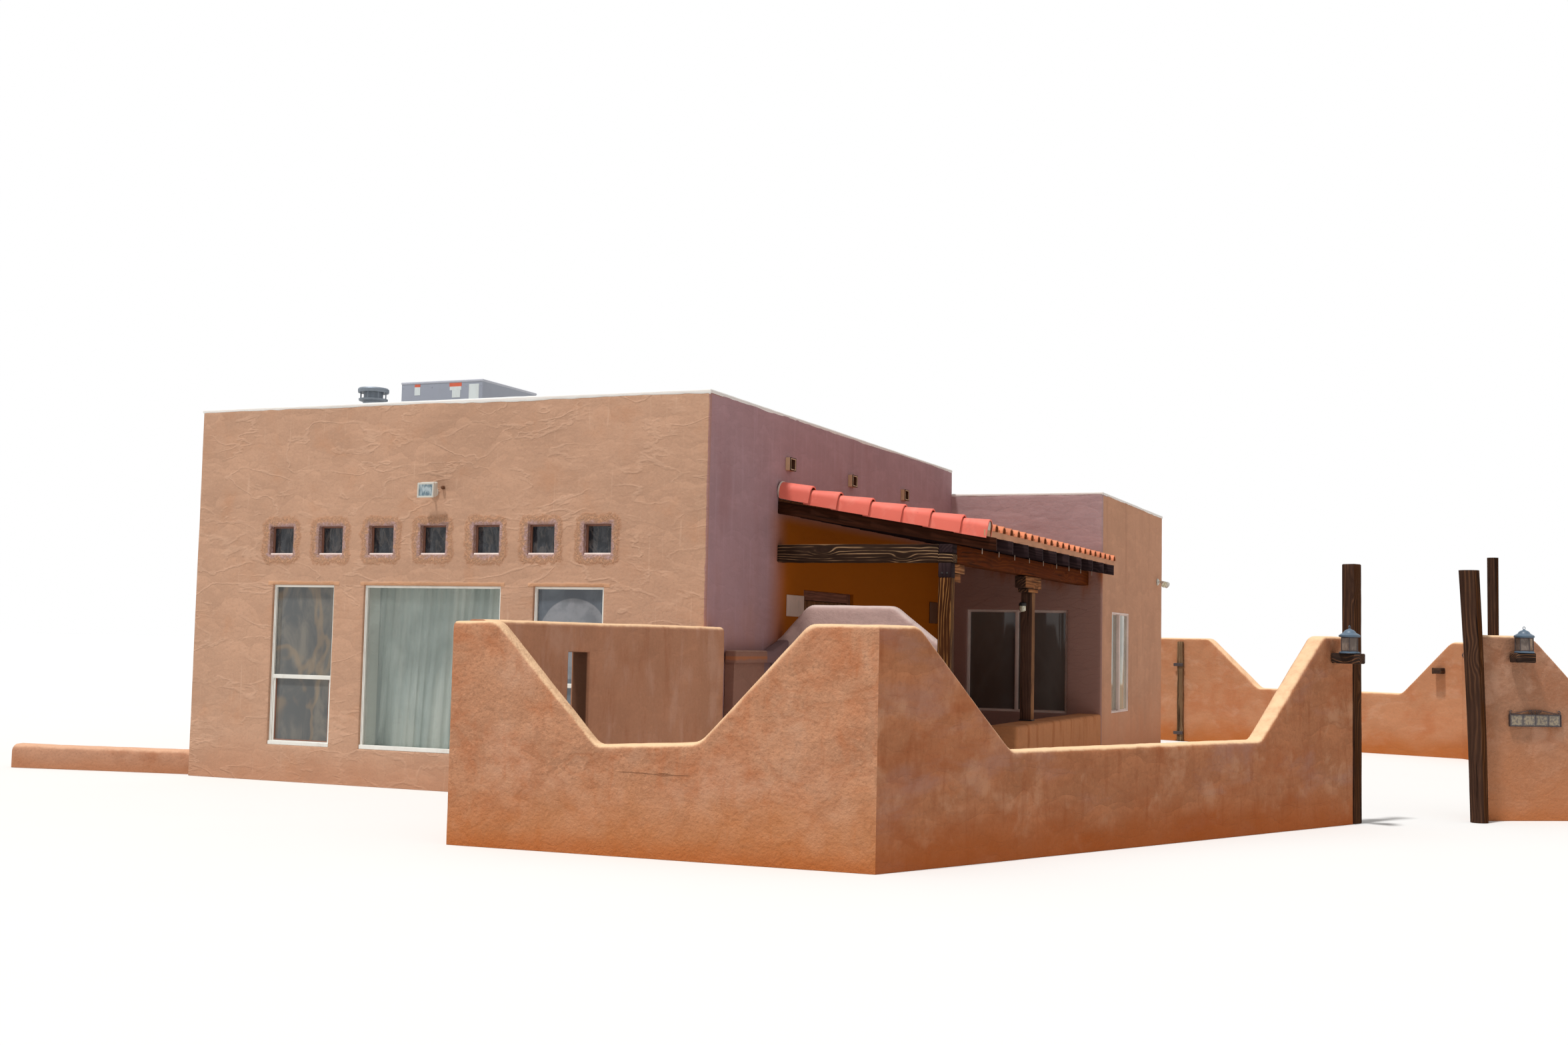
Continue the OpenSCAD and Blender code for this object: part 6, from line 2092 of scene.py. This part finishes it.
@dataclass
class PorchMasonry:
    """The low porch wall, the screen wall and the ledge on the house."""

    low_thick: float = 0.36
    pier: float = 0.925
    groove: float = 0.015
    base: float = 0.11
    lip: float = 0.145

    def build(self) -> None:
        """Makes the three pieces of masonry."""
        p, pal, thick = PLAN, Palette, self.low_thick
        soft = dict(step=0.03, inner_step=0.03, arc=4, waves=((0.006, 0.5), (0.004, 0.12)), proud=0.0)
        lo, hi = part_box("low_porch_wall")
        start, low = lo.y + self.pier + self.groove, dict(round_top=0.045, **soft)
        walls = (
            Wall.level((hi.x, lo.y), 90, self.pier, thick, hi.z, round_start=0.04, round_end=0.03, **low),
            Wall.level((hi.x, start), 90, hi.y - start, thick, hi.z, round_start=0.03, **low),
        )
        plaster("low_porch_wall", "low_porch_wall", "orange_stucco", [pal.porch_low], *walls)
        lo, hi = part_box("screen_wall")
        run = hi.x - lo.x
        line = [(0, 1.64), (0.35, 2.02), (run - 0.5, 2.02), (run, 1.64)]
        screen = Wall((lo.x, lo.y), 0, run, hi.y - lo.y, line, round_top=0.06, blur=0.045, **soft)
        plaster("screen_wall", "screen_wall", "mauve_stucco", [pal.screen], screen)
        lo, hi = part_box("wall_ledge")
        x, y, base, lip, low = p.xr + self.lip, hi.y - 0.4, self.base, self.lip, lo.y + 0.02
        foot = dict(foot=lambda us: np.full(len(us), 1.4), inner_foot=1.4)
        walls = (
            Wall((p.xr + base, low), 90, y - low, base, [(0, 1.44), (y, 1.44)], round_top=0.01, **soft),
            Wall.level((x, lo.y), 90, y - lo.y, lip, 1.53, round_top=0.03, round_start=0.02, **foot, **soft),
            Wall((x, y), 90, 0.4, lip, [(0, 1.53), (0.4, 1.64)], round_top=0.03, **soft),
        )
        plaster("wall_ledge", "wall_ledge", "mauve_stucco", [pal.ledge], *walls)


@dataclass
class YardWalls:
    """The stepped adobe walls round the yard and the low wall at the left."""

    front_left: Point2 = (2.775, -7.765)
    front_dir: float = 2.5
    front_len: float = 3.485
    angled_dir: float = 64.5
    angled_len: float = 6.42
    gate_gap: float = 1.43
    gate_dir: float = 46.0
    gate_wall_dir: float = 34.0
    gate_wall_len: float = 4.6
    gate_back: float = 0.14
    rear_corner: Point2 = (9.87, 10.24)
    rear_dir: float = 158.7
    rear_len: float = 5.83
    radius: float = 0.05
    high: float = 1.84
    low: float = 1.0
    kerb_dir: float = 12.0
    kerb_len: float = 2.34

    def __post_init__(self) -> None:
        """Works out the corners of the walls."""
        self.front_right = along(self.front_left, self.front_dir, self.front_len)
        self.angled_end = along(self.front_right, self.angled_dir, self.angled_len)
        self.gate_end = along(self.angled_end, self.gate_dir, self.gate_gap)
        self.gate_corner = self.by_gate(self.gate_wall_len)

    def by_gate(self, ahead: float, left: float = 0.0) -> Point2:
        """A place ahead and to the left of the gate wall's end at the gate."""
        return along(along(self.gate_end, self.gate_wall_dir, ahead), self.gate_wall_dir + 90, left)

    def on_angled(self, from_end: float) -> Point3:
        """Place and turn on the angled wall's outer face, at a distance from its gate end."""
        return *along(self.angled_end, self.angled_dir + 180, from_end), self.angled_dir

    def on_gate(self, from_end: float) -> Point3:
        """Place and turn on the gate wall's outer face, at a distance from its gate end."""
        return *self.by_gate(from_end), self.gate_wall_dir

    def on_rear(self, from_end: float) -> Point3:
        """Place and turn on the rear wall's inner face, at a distance from its right end."""
        corner = along(self.rear_corner, self.rear_dir + 90, PLAN.yard_thick)
        return *along(corner, self.rear_dir, from_end), self.rear_dir - 180

    @staticmethod
    def _mitre(heading: float, other: float) -> float:
        """Slant of a mitred end of a wall, where it meets one with another heading."""
        return math.tan(math.radians((heading - other) / 2))

    def _bays(self, length: float, run: Sequence[float], bays: int = 1) -> list[Point2]:
        """Top line with low bays between high parts."""
        bay = (length - run[3]) / bays
        line = [(0.0, self.high)]
        for near, far in ((i * bay, (i + 1) * bay) for i in range(bays)):
            line += [(near + run[0], self.high), (near + run[0] + run[1], self.low)]
            line += [(far - run[2], self.low), (far, self.high)]
        return [*line, (length, self.high)]

    def _wall(self, start: Point2, heading: float, length: float, line: list[Point2], **more: object) -> Wall:
        """A yard wall with the softness that they share."""
        shared = dict(step=0.036, inner_step=0.036, round_top=self.radius, arc=4, blur=0.045, proud=0.0)
        shared["waves"] = ((0.006, 0.7), (0.004, 0.2), (0.003, 0.07))
        return Wall(start, heading, length, PLAN.yard_thick, line, **{**shared, **more})

    def build(self) -> None:
        """Makes the walls in order round the yard."""
        pal, slot, front, side = Palette, "orange_stucco", self.front_dir, self.angled_dir
        dip = (0.0, 1.735), (0.375, 1.745), (1.275, 0.82), (2.12, 0.87), (2.985, 1.76)
        soft = dict(step=0.03, inner_step=0.04, round_start=0.02, skew_end=self._mitre(front, side))
        wall = self._wall(self.front_left, front, self.front_len, [*dip, (self.front_len, 1.76)], **soft)
        plaster("front_yard", "front_yard_wall", slot, [pal.yard_front], wall)
        dip = (0.0, 1.76), (0.415, 1.76), (1.445, 0.835), (4.852, 0.835), (5.897, 1.785)
        soft = dict(round_end=0.03, skew_start=self._mitre(side, front))
        wall = self._wall(self.front_right, side, self.angled_len, [*dip, (self.angled_len, 1.785)], **soft)
        plaster("angled_yard", "angled_yard_wall", slot, [pal.yard_side], wall)
        self._slotted()
        self._gate_side()
        top, long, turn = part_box("left_low_wall")[1].z, self.kerb_len, self.kerb_dir
        start = along((PLAN.xl, PLAN.yf + 0.14), turn + 180, long)
        line = [(0, top), (long - 0.14, top), (long, top - 0.05)]
        soft = dict(step=0.035, inner_step=0.035, round_top=0.08, arc=5, round_start=0.06, blur=0.03)
        waves = (0.008, 0.4), (0.006, 0.1)
        kerb = Wall(start, turn, long, 0.24, line, waves=waves, proud=0.0, **soft)
        plaster("left_low_wall", "left_low_wall", slot, [pal.kerb], kerb)

    def _slotted(self) -> None:
        """The wall from the front yard wall to the house, with its tall slot."""
        thick = PLAN.yard_thick
        inner = along(self.front_left, self.front_dir + 90, thick)
        house = (PLAN.xr - 0.05, PLAN.yf + 0.2)
        lean = heading_of(inner, house)
        start, end = along(inner, self.front_dir, thick), along(house, lean - 90, thick)
        long, shift = math.dist(start, end), thick * math.cos(math.radians(self.front_dir - lean))
        slot = Opening(1.15 - shift, 1.455 - shift, 0.56, 1.495)
        soft = dict(step=0.04, inner_step=0.05, openings=[slot], edge=0.02, round_end=0.05)
        wall = self._wall(start, heading_of(start, end), long, [(0, 1.755), (long, 1.755)], **soft)
        plaster("side_yard", "side_yard_wall", "orange_stucco", [Palette.yard_slot], wall)

    def _gate_side(self) -> None:
        """The gate wall, the return wall and the rear wall."""
        pal, slot, off = Palette, "orange_stucco", self.gate_back
        gate, rear = self.gate_wall_dir, self.rear_dir
        back = heading_of(self.gate_corner, self.rear_corner)
        line = [(max(u - off, 0.0), z) for u, z in self._bays(self.gate_wall_len, (0.72, 0.84, 0.84, 0.67))]
        soft = dict(round_start=0.04, blur=0.07, skew_end=self._mitre(gate, back))
        wall = self._wall(self.by_gate(off), gate, self.gate_wall_len - off, line, **soft)
        plaster("gate_wall", "gate_wall", slot, [pal.yard_gate], wall)
        long = math.dist(self.gate_corner, self.rear_corner)
        soft = dict(step=0.05, skew_start=self._mitre(back, gate), skew_end=self._mitre(back, rear))
        line = self._bays(long, (0.67, 0.84, 0.84, 0.67), 2)
        wall = self._wall(self.gate_corner, back, long, line, inner_step=0.05, **soft)
        plaster("return_wall", "return_wall", slot, [pal.yard_rear], wall)
        soft = dict(step=0.05, inner_step=0.045, skew_start=self._mitre(rear, back), round_end=0.04)
        line = self._bays(self.rear_len, (0.18, 0.83, 0.96, 1.26))
        wall = self._wall(self.rear_corner, rear, self.rear_len, line, **soft)
        plaster("rear_yard", "rear_yard_wall", slot, [pal.yard_rear], wall)


@dataclass
class GateTimber:
    """The gate posts, the blocks in the walls and the old stile."""

    yard: YardWalls
    post_w: float = 0.136
    post_h: float = 2.483
    round_h: float = 2.465
    round_r: float = 0.086
    flare: float = 0.012
    lean: float = 1.85
    pole_r: float = 0.056
    pole_h: float = 2.62
    block_h: float = 0.105

    def build(self) -> None:
        """Sets the posts and the blocks where the walls carry them."""
        yard, r = self.yard, self.round_r
        square = PorchFrame.upright(self.post_h, self.post_w, 31, 0.003)
        post = pole([(0, r), (1.2, r + 0.004), (self.round_h, r + self.flare)], 4)
        bend = 0.012 * np.sin(math.pi * np.clip(post.points[:, 2] / self.round_h, 0, 1))
        post.points[:, 0] += bend - post.points[:, 2] * math.tan(math.radians(self.lean))
        thin = pole([(0, self.pole_r - 0.004), (self.pole_h, self.pole_r)], 8, 28, 4, 0.005)
        solids = [
            square.at(*yard.angled_end, 0, yard.angled_dir),
            post.at(*yard.by_gate(0.015, -r - 0.059), 0),
            thin.at(*yard.by_gate(0.45, PLAN.yard_thick + self.pole_r), 0),
        ]
        piece("gate_post_timbers", solids, [Palette.gate], "dark_timber", "gate_posts")
        self._blocks()

    def _blocks(self) -> None:
        """Blocks that stand out of the walls, the stile with its hinge straps and a hook."""
        yard, pal, high = self.yard, Palette, self.block_h
        stub = timber(0.294, 0.115, high, 61, 0.008, 0.008, 0.03).at(-0.0575, 0, 0, -90)
        shelf = timber(0.215, 0.14, high, 62, 0.010, 0.010, 0.03).at(-0.1075, -0.14, 0)
        rear = timber(0.15, 0.17, high, 63, 0.01, 0.01, 0.03).at(-0.085, 0, 0, -90)
        stile = timber(1.77, 0.05, 0.13, 64, 0.012, 0.008, 0.05).turned("Y", -90)
        stile = stile.at(0.065, -0.05, 0).wearing(1)
        old = [block((-0.12, -0.062, z), (0.07, -0.048, z + 0.055), 0.004).wearing(2) for z in (0.12, 1.33)]
        bow = (0.0, -0.03, 1.58), (-0.03, -0.03, 1.63), (0.0, -0.03, 1.68)
        hook = [(0.03, -0.01, 1.56), *bow, (0.04, -0.01, 1.69)]
        solids = []
        for (x, y, turn), z, parts in (
            (yard.on_angled(0.37), 1.52, [stub]),
            (yard.on_gate(0.555), 1.56, [shelf]),
            (yard.on_rear(0.42), 1.32, [rear]),
            (yard.on_rear(5.125), 0.0, [stile, *old]),
            (yard.on_rear(0.02), 0.0, [tube(hook, 0.012).wearing(2)]),
        ):
            solids += [part.at(x, y, z, turn) for part in parts]
        piece("wall_block_timbers", solids, [pal.shelf, pal.stile, pal.iron], "dark_timber", "wall_blocks")


@dataclass
class Lanterns:
    """Two yard lanterns with a two-tier roof, six panes and a hanging ring."""

    yard: YardWalls
    timbers: GateTimber
    width: float = 0.195
    height: float = 0.262

    def _one(self) -> list[Solid]:
        """One lantern, standing on z = 0."""
        r, h = self.width / 2, self.height
        base, pane_r, eave = 0.05 * h, 0.84 * r, 0.6 * h
        tiers = (
            (0.0, -0.02), (0.96, -0.02), (1.0, 0.01), (0.99, 0.05), (0.9, 0.075), (0.66, 0.125), (0.6, 0.14),
            (0.56, 0.17), (0.4, 0.23), (0.16, 0.265), (0.1, 0.29), (0.0, 0.295),
        )
        rim = base + 0.005
        foot = [(0, 0), (0.96 * r, 0), (0.98 * r, 0.004), (0.96 * r, base), (0.8 * r, rim), (0, rim)]
        roof = lathe([(a * r, eave + b * h) for a, b in tiers], 36)
        panes = lathe([(0, base), (pane_r, base), (pane_r, eave), (0, eave)], 6, 30).wearing(1)
        solids = [lathe(foot, 36), roof, panes]
        for i in range(6):
            corner = along((0, 0), 30 + 60 * i, pane_r + 0.001)
            solids.append(tube([(*corner, base), (*corner, eave)], 0.005).wearing(2))
        for z in (base + 0.006, eave - 0.014):
            ring = [(-0.004, 0), (0.005, 0), (0.005, 0.008), (-0.004, 0.008)]
            solids.append(lathe([(pane_r + a, z + b) for a, b in ring], 6, 30).wearing(2))
        loop, middle = 0.05 * h, 0.94 * h
        circle = [(loop * math.cos(a), 0, middle + loop * math.sin(a)) for a in np.arange(16) * math.pi / 8]
        return [*solids, tube(circle, 0.0032, 6, loop=True)]

    def build(self) -> None:
        """Stands one lantern on each wall block."""
        yard, high, solids = self.yard, self.timbers.block_h - 0.004, []
        for (x, y, turn), out, z in ((yard.on_angled(0.37), 0.162, 1.52), (yard.on_gate(0.555), 0.095, 1.56)):
            solids += [part.at(0, -out, 0).at(x, y, z + high, turn) for part in self._one()]
        finishes = [Palette.slate, Palette.pane, Palette.iron]
        piece("wall_lanterns", solids, finishes, "lantern_metal", "lanterns")


@dataclass
class NumberPlate:
    """A wrought-iron frame with four blank glazed tiles and scrolls on top."""

    yard: YardWalls
    width: float = 0.57
    height: float = 0.122
    thick: float = 0.025
    low: float = 0.931
    bar: float = 0.006
    tiles: int = 4

    def _scrolls(self) -> list[Solid]:
        """The double arch, its curls and the knobs at both ends."""
        half, top = self.width / 2, self.height
        solids = []

        def rod(points: Iterable[Point2], radius: float, sides: int = 6) -> None:
            """Adds a rod through points across and up the plate, on the side that is being made."""
            solids.append(tube([(sign * x, -0.012, z) for x, z in points], radius, sides))

        for sign in (-1, 1):
            rod([(half - 0.006, 0.0), (half - 0.006, top + 0.026)], 0.005, 8)
            turns, shares = np.linspace(0, 5, 12), np.linspace(0, 1, 14)
            hook = [(half - 0.018 - 0.012 * math.cos(t), top + 0.024 + 0.012 * math.sin(t)) for t in turns]
            rod(hook, 0.004)
            bow = ((t, math.sin(t * math.pi / 2) ** 1.5) for t in shares)
            rod([((half - 0.02) * (1 - t), top + 0.004 + 0.036 * rise) for t, rise in bow], 0.0034)
            for middle, wind in ((0.022, 6.5), (0.05, -6.5)):
                curl = ((0.004 + 0.014 * t, wind * t) for t in np.linspace(0, 1, 22))
                rod([(middle + r * math.cos(a), top + 0.02 + r * math.sin(a)) for r, a in curl], 0.0036)
        return solids

    def build(self) -> None:
        """Makes the frame, the tiles and the scrolls."""
        x, y, turn = self.yard.on_gate(0.726)
        bar, thick = self.bar, self.thick
        section = [(0, 0), (bar, 0), (bar, thick), (0, thick)]
        solids = [frame_ring(self.width, self.height, section).at(0, -thick, 0)]
        wide, high = (self.width - 2 * bar) / self.tiles, self.height - bar
        for i in range(self.tiles):
            low = bar + i * wide - self.width / 2
            tile = block((low + 0.001, -0.02, bar), (low + wide - 0.001, -0.002, high), 0.002).wearing(1)
            u = (tile.points[:, 0] - low) / (wide / 2) - 1
            v = (tile.points[:, 2] - self.height / 2) / ((high - bar) / 2)
            tile.grain = np.column_stack([u, np.zeros(len(u)), v])
            solids.append(tile)
        placed = [solid.at(x, y, self.low, turn) for solid in solids + self._scrolls()]
        piece("number_plate_frame", placed, [Palette.iron, Palette.tiles], "lantern_metal", "number_plate")


@dataclass
class RoofEquipment:
    """The cooling unit, the vent and the spouts."""

    lid_h: float = 0.028
    curb_h: float = 0.15
    lip: float = 0.006
    slats: int = 22
    spout_out: float = 0.055
    sheet: float = 0.008
    spout_lip: float = 0.016
    vent_r: float = 0.186

    def build(self) -> None:
        """Makes the three."""
        self._cooler()
        self._vent()
        self._spouts()

    def _cooler(self) -> None:
        """A sheet-metal cabinet with a flush lid, screws, louvres, blank labels and a curb."""
        lo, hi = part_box("cooling_unit")
        foot, lid = lo.z + self.curb_h, hi.z - self.lid_h
        x0, y0, x1, y1 = lo.x + self.lip, lo.y + self.lip, hi.x - self.lip, hi.y - self.lip
        wide, deep, high = x1 - x0, y1 - y0, lid - foot
        solids = [
            block((lo.x + 0.06, lo.y + 0.06, lo.z), (hi.x - 0.06, hi.y - 0.06, foot + 0.01), 0.004),
            block((x0, y0, foot), (x1, y1, lid + 0.01), 0.006),
            block((lo.x, lo.y, lid), (hi.x, hi.y, hi.z), 0.006).wearing(4),
        ]
        rows = foot + 0.08, (foot + lid) / 2, lid - 0.05
        for share, z in itertools.product((0.02, 0.38, 0.8, 0.98), rows):
            x = x0 + share * wide
            corner, end = (x - 0.006, y0 - 0.003, z - 0.006), (x + 0.006, y0 + 0.001, z + 0.006)
            solids.append(block(corner, end, 0.002))
        for left, right, low, top, kind in (
            (0.165, 0.235, 0.965, 0.995, 3), (0.165, 0.235, 0.875, 0.965, 2), (0.595, 0.745, 0.955, 0.995, 3),
            (0.6, 0.74, 0.915, 0.955, 2), (0.63, 0.73, 0.835, 0.915, 2), (0.835, 0.955, 0.78, 0.975, 2),
        ):
            corner = x0 + left * wide, y0 - 0.0025, foot + low * high
            end = x0 + right * wide, y0 + 0.001, foot + top * high
            solids.append(block(corner, end, 0.0008).wearing(kind))
        z0, z1 = foot + 0.1, lid - 0.08
        for share in ((i + 0.5) / self.slats for i in range(self.slats)):
            x, y = x0 + 0.08 + (wide - 0.16) * share, y0 + 0.08 + (deep - 0.16) * share
            solids.append(block((x0 - 0.006, y - 0.016, z0), (x0 + 0.004, y + 0.010, z1), 0.003).wearing(1))
            solids.append(block((x - 0.016, y1 - 0.004, z0), (x + 0.010, y1 + 0.006, z1), 0.003).wearing(1))
        finishes = [Palette.cabinet, Palette.grille, Palette.label, Palette.warm_label, Palette.lid]
        piece("cooling_unit_cabinet", solids, finishes, "grey_sheet_metal", "cooling_unit")

    def _vent(self) -> None:
        """A sheet-metal stack with a flange, an open gap with rods, and a thin cap."""
        lo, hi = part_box("roof_vent")
        x, y, r, low, top = (lo.x + hi.x) / 2, (lo.y + hi.y) / 2, self.vent_r, lo.z, hi.z
        stack, neck, cap = 0.66 * r, top - 0.155, top - 0.055
        skirt = stack + 0.06
        profiles = (
            [(0, low), (skirt, low), (skirt, low + 0.006), (stack, low + 0.05), (stack, neck), (0, neck)],
            [(stack, neck - 0.02), (0.92 * r, neck - 0.004), (0.94 * r, neck + 0.018), (stack, neck + 0.024)],
            [(0, neck), (0.62 * r, neck), (0.62 * r, cap), (0, cap)],
            [
                (0, cap), (0.9 * r, cap), (0.98 * r, cap - 0.006), (r, cap + 0.006), (r, top - 0.02),
                (0.94 * r, top - 0.006), (0, top),
            ],
        )
        solids = [lathe(profile, 48).at(x, y, 0) for profile in profiles]
        for i in range(8):
            rod = along((x, y), 45 * i + 12, 0.86 * r)
            solids.append(tube([(*rod, neck), (*rod, cap)], 0.006))
        piece("roof_vent_stack", solids, [Palette.zinc], "galvanised", "roof_vent")

    def _spouts(self) -> None:
        """Open sheet-metal boxes through the wall, each with a turned lip and a dark inside."""
        low, out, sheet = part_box("scuppers")[0], PLAN.xr + self.spout_out, self.sheet
        wide, tall = HouseWalls.spout_w / 2, HouseWalls.spout_h / 2
        corners = ((-1, -1), (1, -1), (1, 1), (-1, 1))
        parts = (
            (0, sheet, low.x, out, 0),
            (0, self.spout_lip, out - 0.008, out, 0),
            (sheet, sheet + 0.002, low.x, out - 0.01, 1),
        )
        solids = []
        for y, (outer, inner, x0, x1, finish) in itertools.product(HouseWalls.spout_ys, parts):
            rings = []
            for x, inset in ((x0, outer), (x0, inner), (x1, inner), (x1, outer)):
                a, b = wide - inset, tall - inset
                rings.append([(x, y + side * a, low.z + tall + up * b) for side, up in corners])
            solids.append(loft(rings, loop=True).wearing(finish))
        piece("roof_spouts", solids, [Palette.spout, Palette.hollow], "grey_sheet_metal", "scuppers")


@dataclass
class WallLamps:
    """The floodlight on the front and the pair of round lamps on the wing."""

    width: float = 0.2
    height: float = 0.155
    deep: float = 0.07
    middle: Point3 = (-0.022, -4.09, 3.14)
    slant: float = 0.2
    tip: float = 14.0

    def build(self) -> None:
        """Makes the lamps."""
        pal, p = Palette, PLAN
        w, h, d = self.width / 2, self.height / 2, self.deep
        x, y, z = self.middle
        rim = frame_ring(2 * w, 2 * h, [(0, 0), (0.016, 0), (0.02, 0.012), (0, 0.016)]).at(0, -d - 0.008, -h)
        glass = block((-w + 0.016, -d - 0.003, -h + 0.016), (w - 0.016, -d + 0.002, h - 0.016), 0.002)
        body = block((-w, -d, -h), (w, 0, h), 0.012), rim, glass.wearing(1)
        solids = [part.moved(Matrix.Translation((x, y, z)) @ spin("X", self.tip)) for part in body]
        for part in solids:
            part.points[:, 0] += self.slant * (part.points[:, 2] - z)
        mount = lathe([(0, 0), (0.05, 0), (0.05, 0.014), (0.035, 0.024), (0, 0.026)], 28).turned("X", 90)
        knob = lathe([(0, 0), (0.018, 0), (0.02, 0.02), (0.012, 0.036), (0, 0.038)], 16).turned("X", 90)
        arm = [(x, p.yf - 0.01, z - 0.025), (x, p.yf - 0.06, z - 0.035), (x, p.yf - 0.09, z - 0.01)]
        solids += [mount.at(x, p.yf, z - 0.025), tube(arm, 0.011, 12)]
        solids.append(knob.at(x + 0.11, p.yf, z + 0.02).wearing(2))
        solids += self._pair(p.xw, p.yw - 0.42, 2.68)
        finishes = [pal.lamp, pal.lamp_glass, pal.notice, pal.lens]
        piece("wall_lamps", solids, finishes, "lamp_housing", "floodlights")

    def _pair(self, x: float, y: float, z: float) -> list[Solid]:
        """Two round lamps on a plate, each turned outwards and down."""
        plate = lathe([(0, 0), (0.055, 0), (0.055, 0.012), (0.03, 0.03), (0, 0.03)], 28)
        hood = lathe([
            (0, 0), (0.022, 0.001), (0.026, 0.03), (0.034, 0.05), (0.049, 0.085), (0.05, 0.108),
            (0.045, 0.11), (0.044, 0.104), (0, 0.09),
        ])
        lens = lathe([(0, 0.096), (0.03, 0.099), (0.045, 0.108), (0, 0.1085)]).wearing(3)
        solids = [plate.turned("Y", 90).at(x, y, z)]
        for side in (-1, 1):
            turn = spin("Z", side * 50) @ spin("Y", 115)
            place = Matrix.Translation((x + 0.075, y + side * 0.05, z)) @ turn
            arm = [(x + out, y + side * off, z) for out, off in ((0.02, 0.02), (0.05, 0.035), (0.085, 0.055))]
            solids += [hood.moved(place), lens.moved(place), tube(arm, 0.011, 12)]
        return solids


@dataclass
class PorchFittings:
    """Small fittings on the house wall under the porch."""

    thick: float = 0.012

    def build(self) -> None:
        """A pale board and a brown notice board, both blank."""
        x0, x1 = PLAN.xr, PLAN.xr + self.thick
        board = block((x0, -1.968, 1.897), (x1, -1.481, 2.132), 0.004)
        notice = block((x0, 3.05, 1.91), (x1, 3.39, 2.2), 0.004).wearing(1)
        piece("porch_wall_panels", [board, notice], [Palette.board, Palette.notice], "grey_sheet_metal")


def main() -> None:
    """Builds the house in order."""
    logging.basicConfig(level=logging.INFO, format="%(message)s")
    yard, porch = YardWalls(), PorchFrame()
    timbers = GateTimber(yard)
    for part in (
        Studio(), HouseWalls(), ParapetCaps(), Windows(), Curtains(), PorchDoor(), porch, PorchTiles(porch),
        PorchMasonry(), yard, timbers, Lanterns(yard, timbers), NumberPlate(yard), RoofEquipment(),
        WallLamps(), PorchFittings(),
    ):
        part.build()
    bpy.context.scene.view_settings.view_transform = "Standard"
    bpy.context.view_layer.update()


if __name__ == "__main__":
    main()
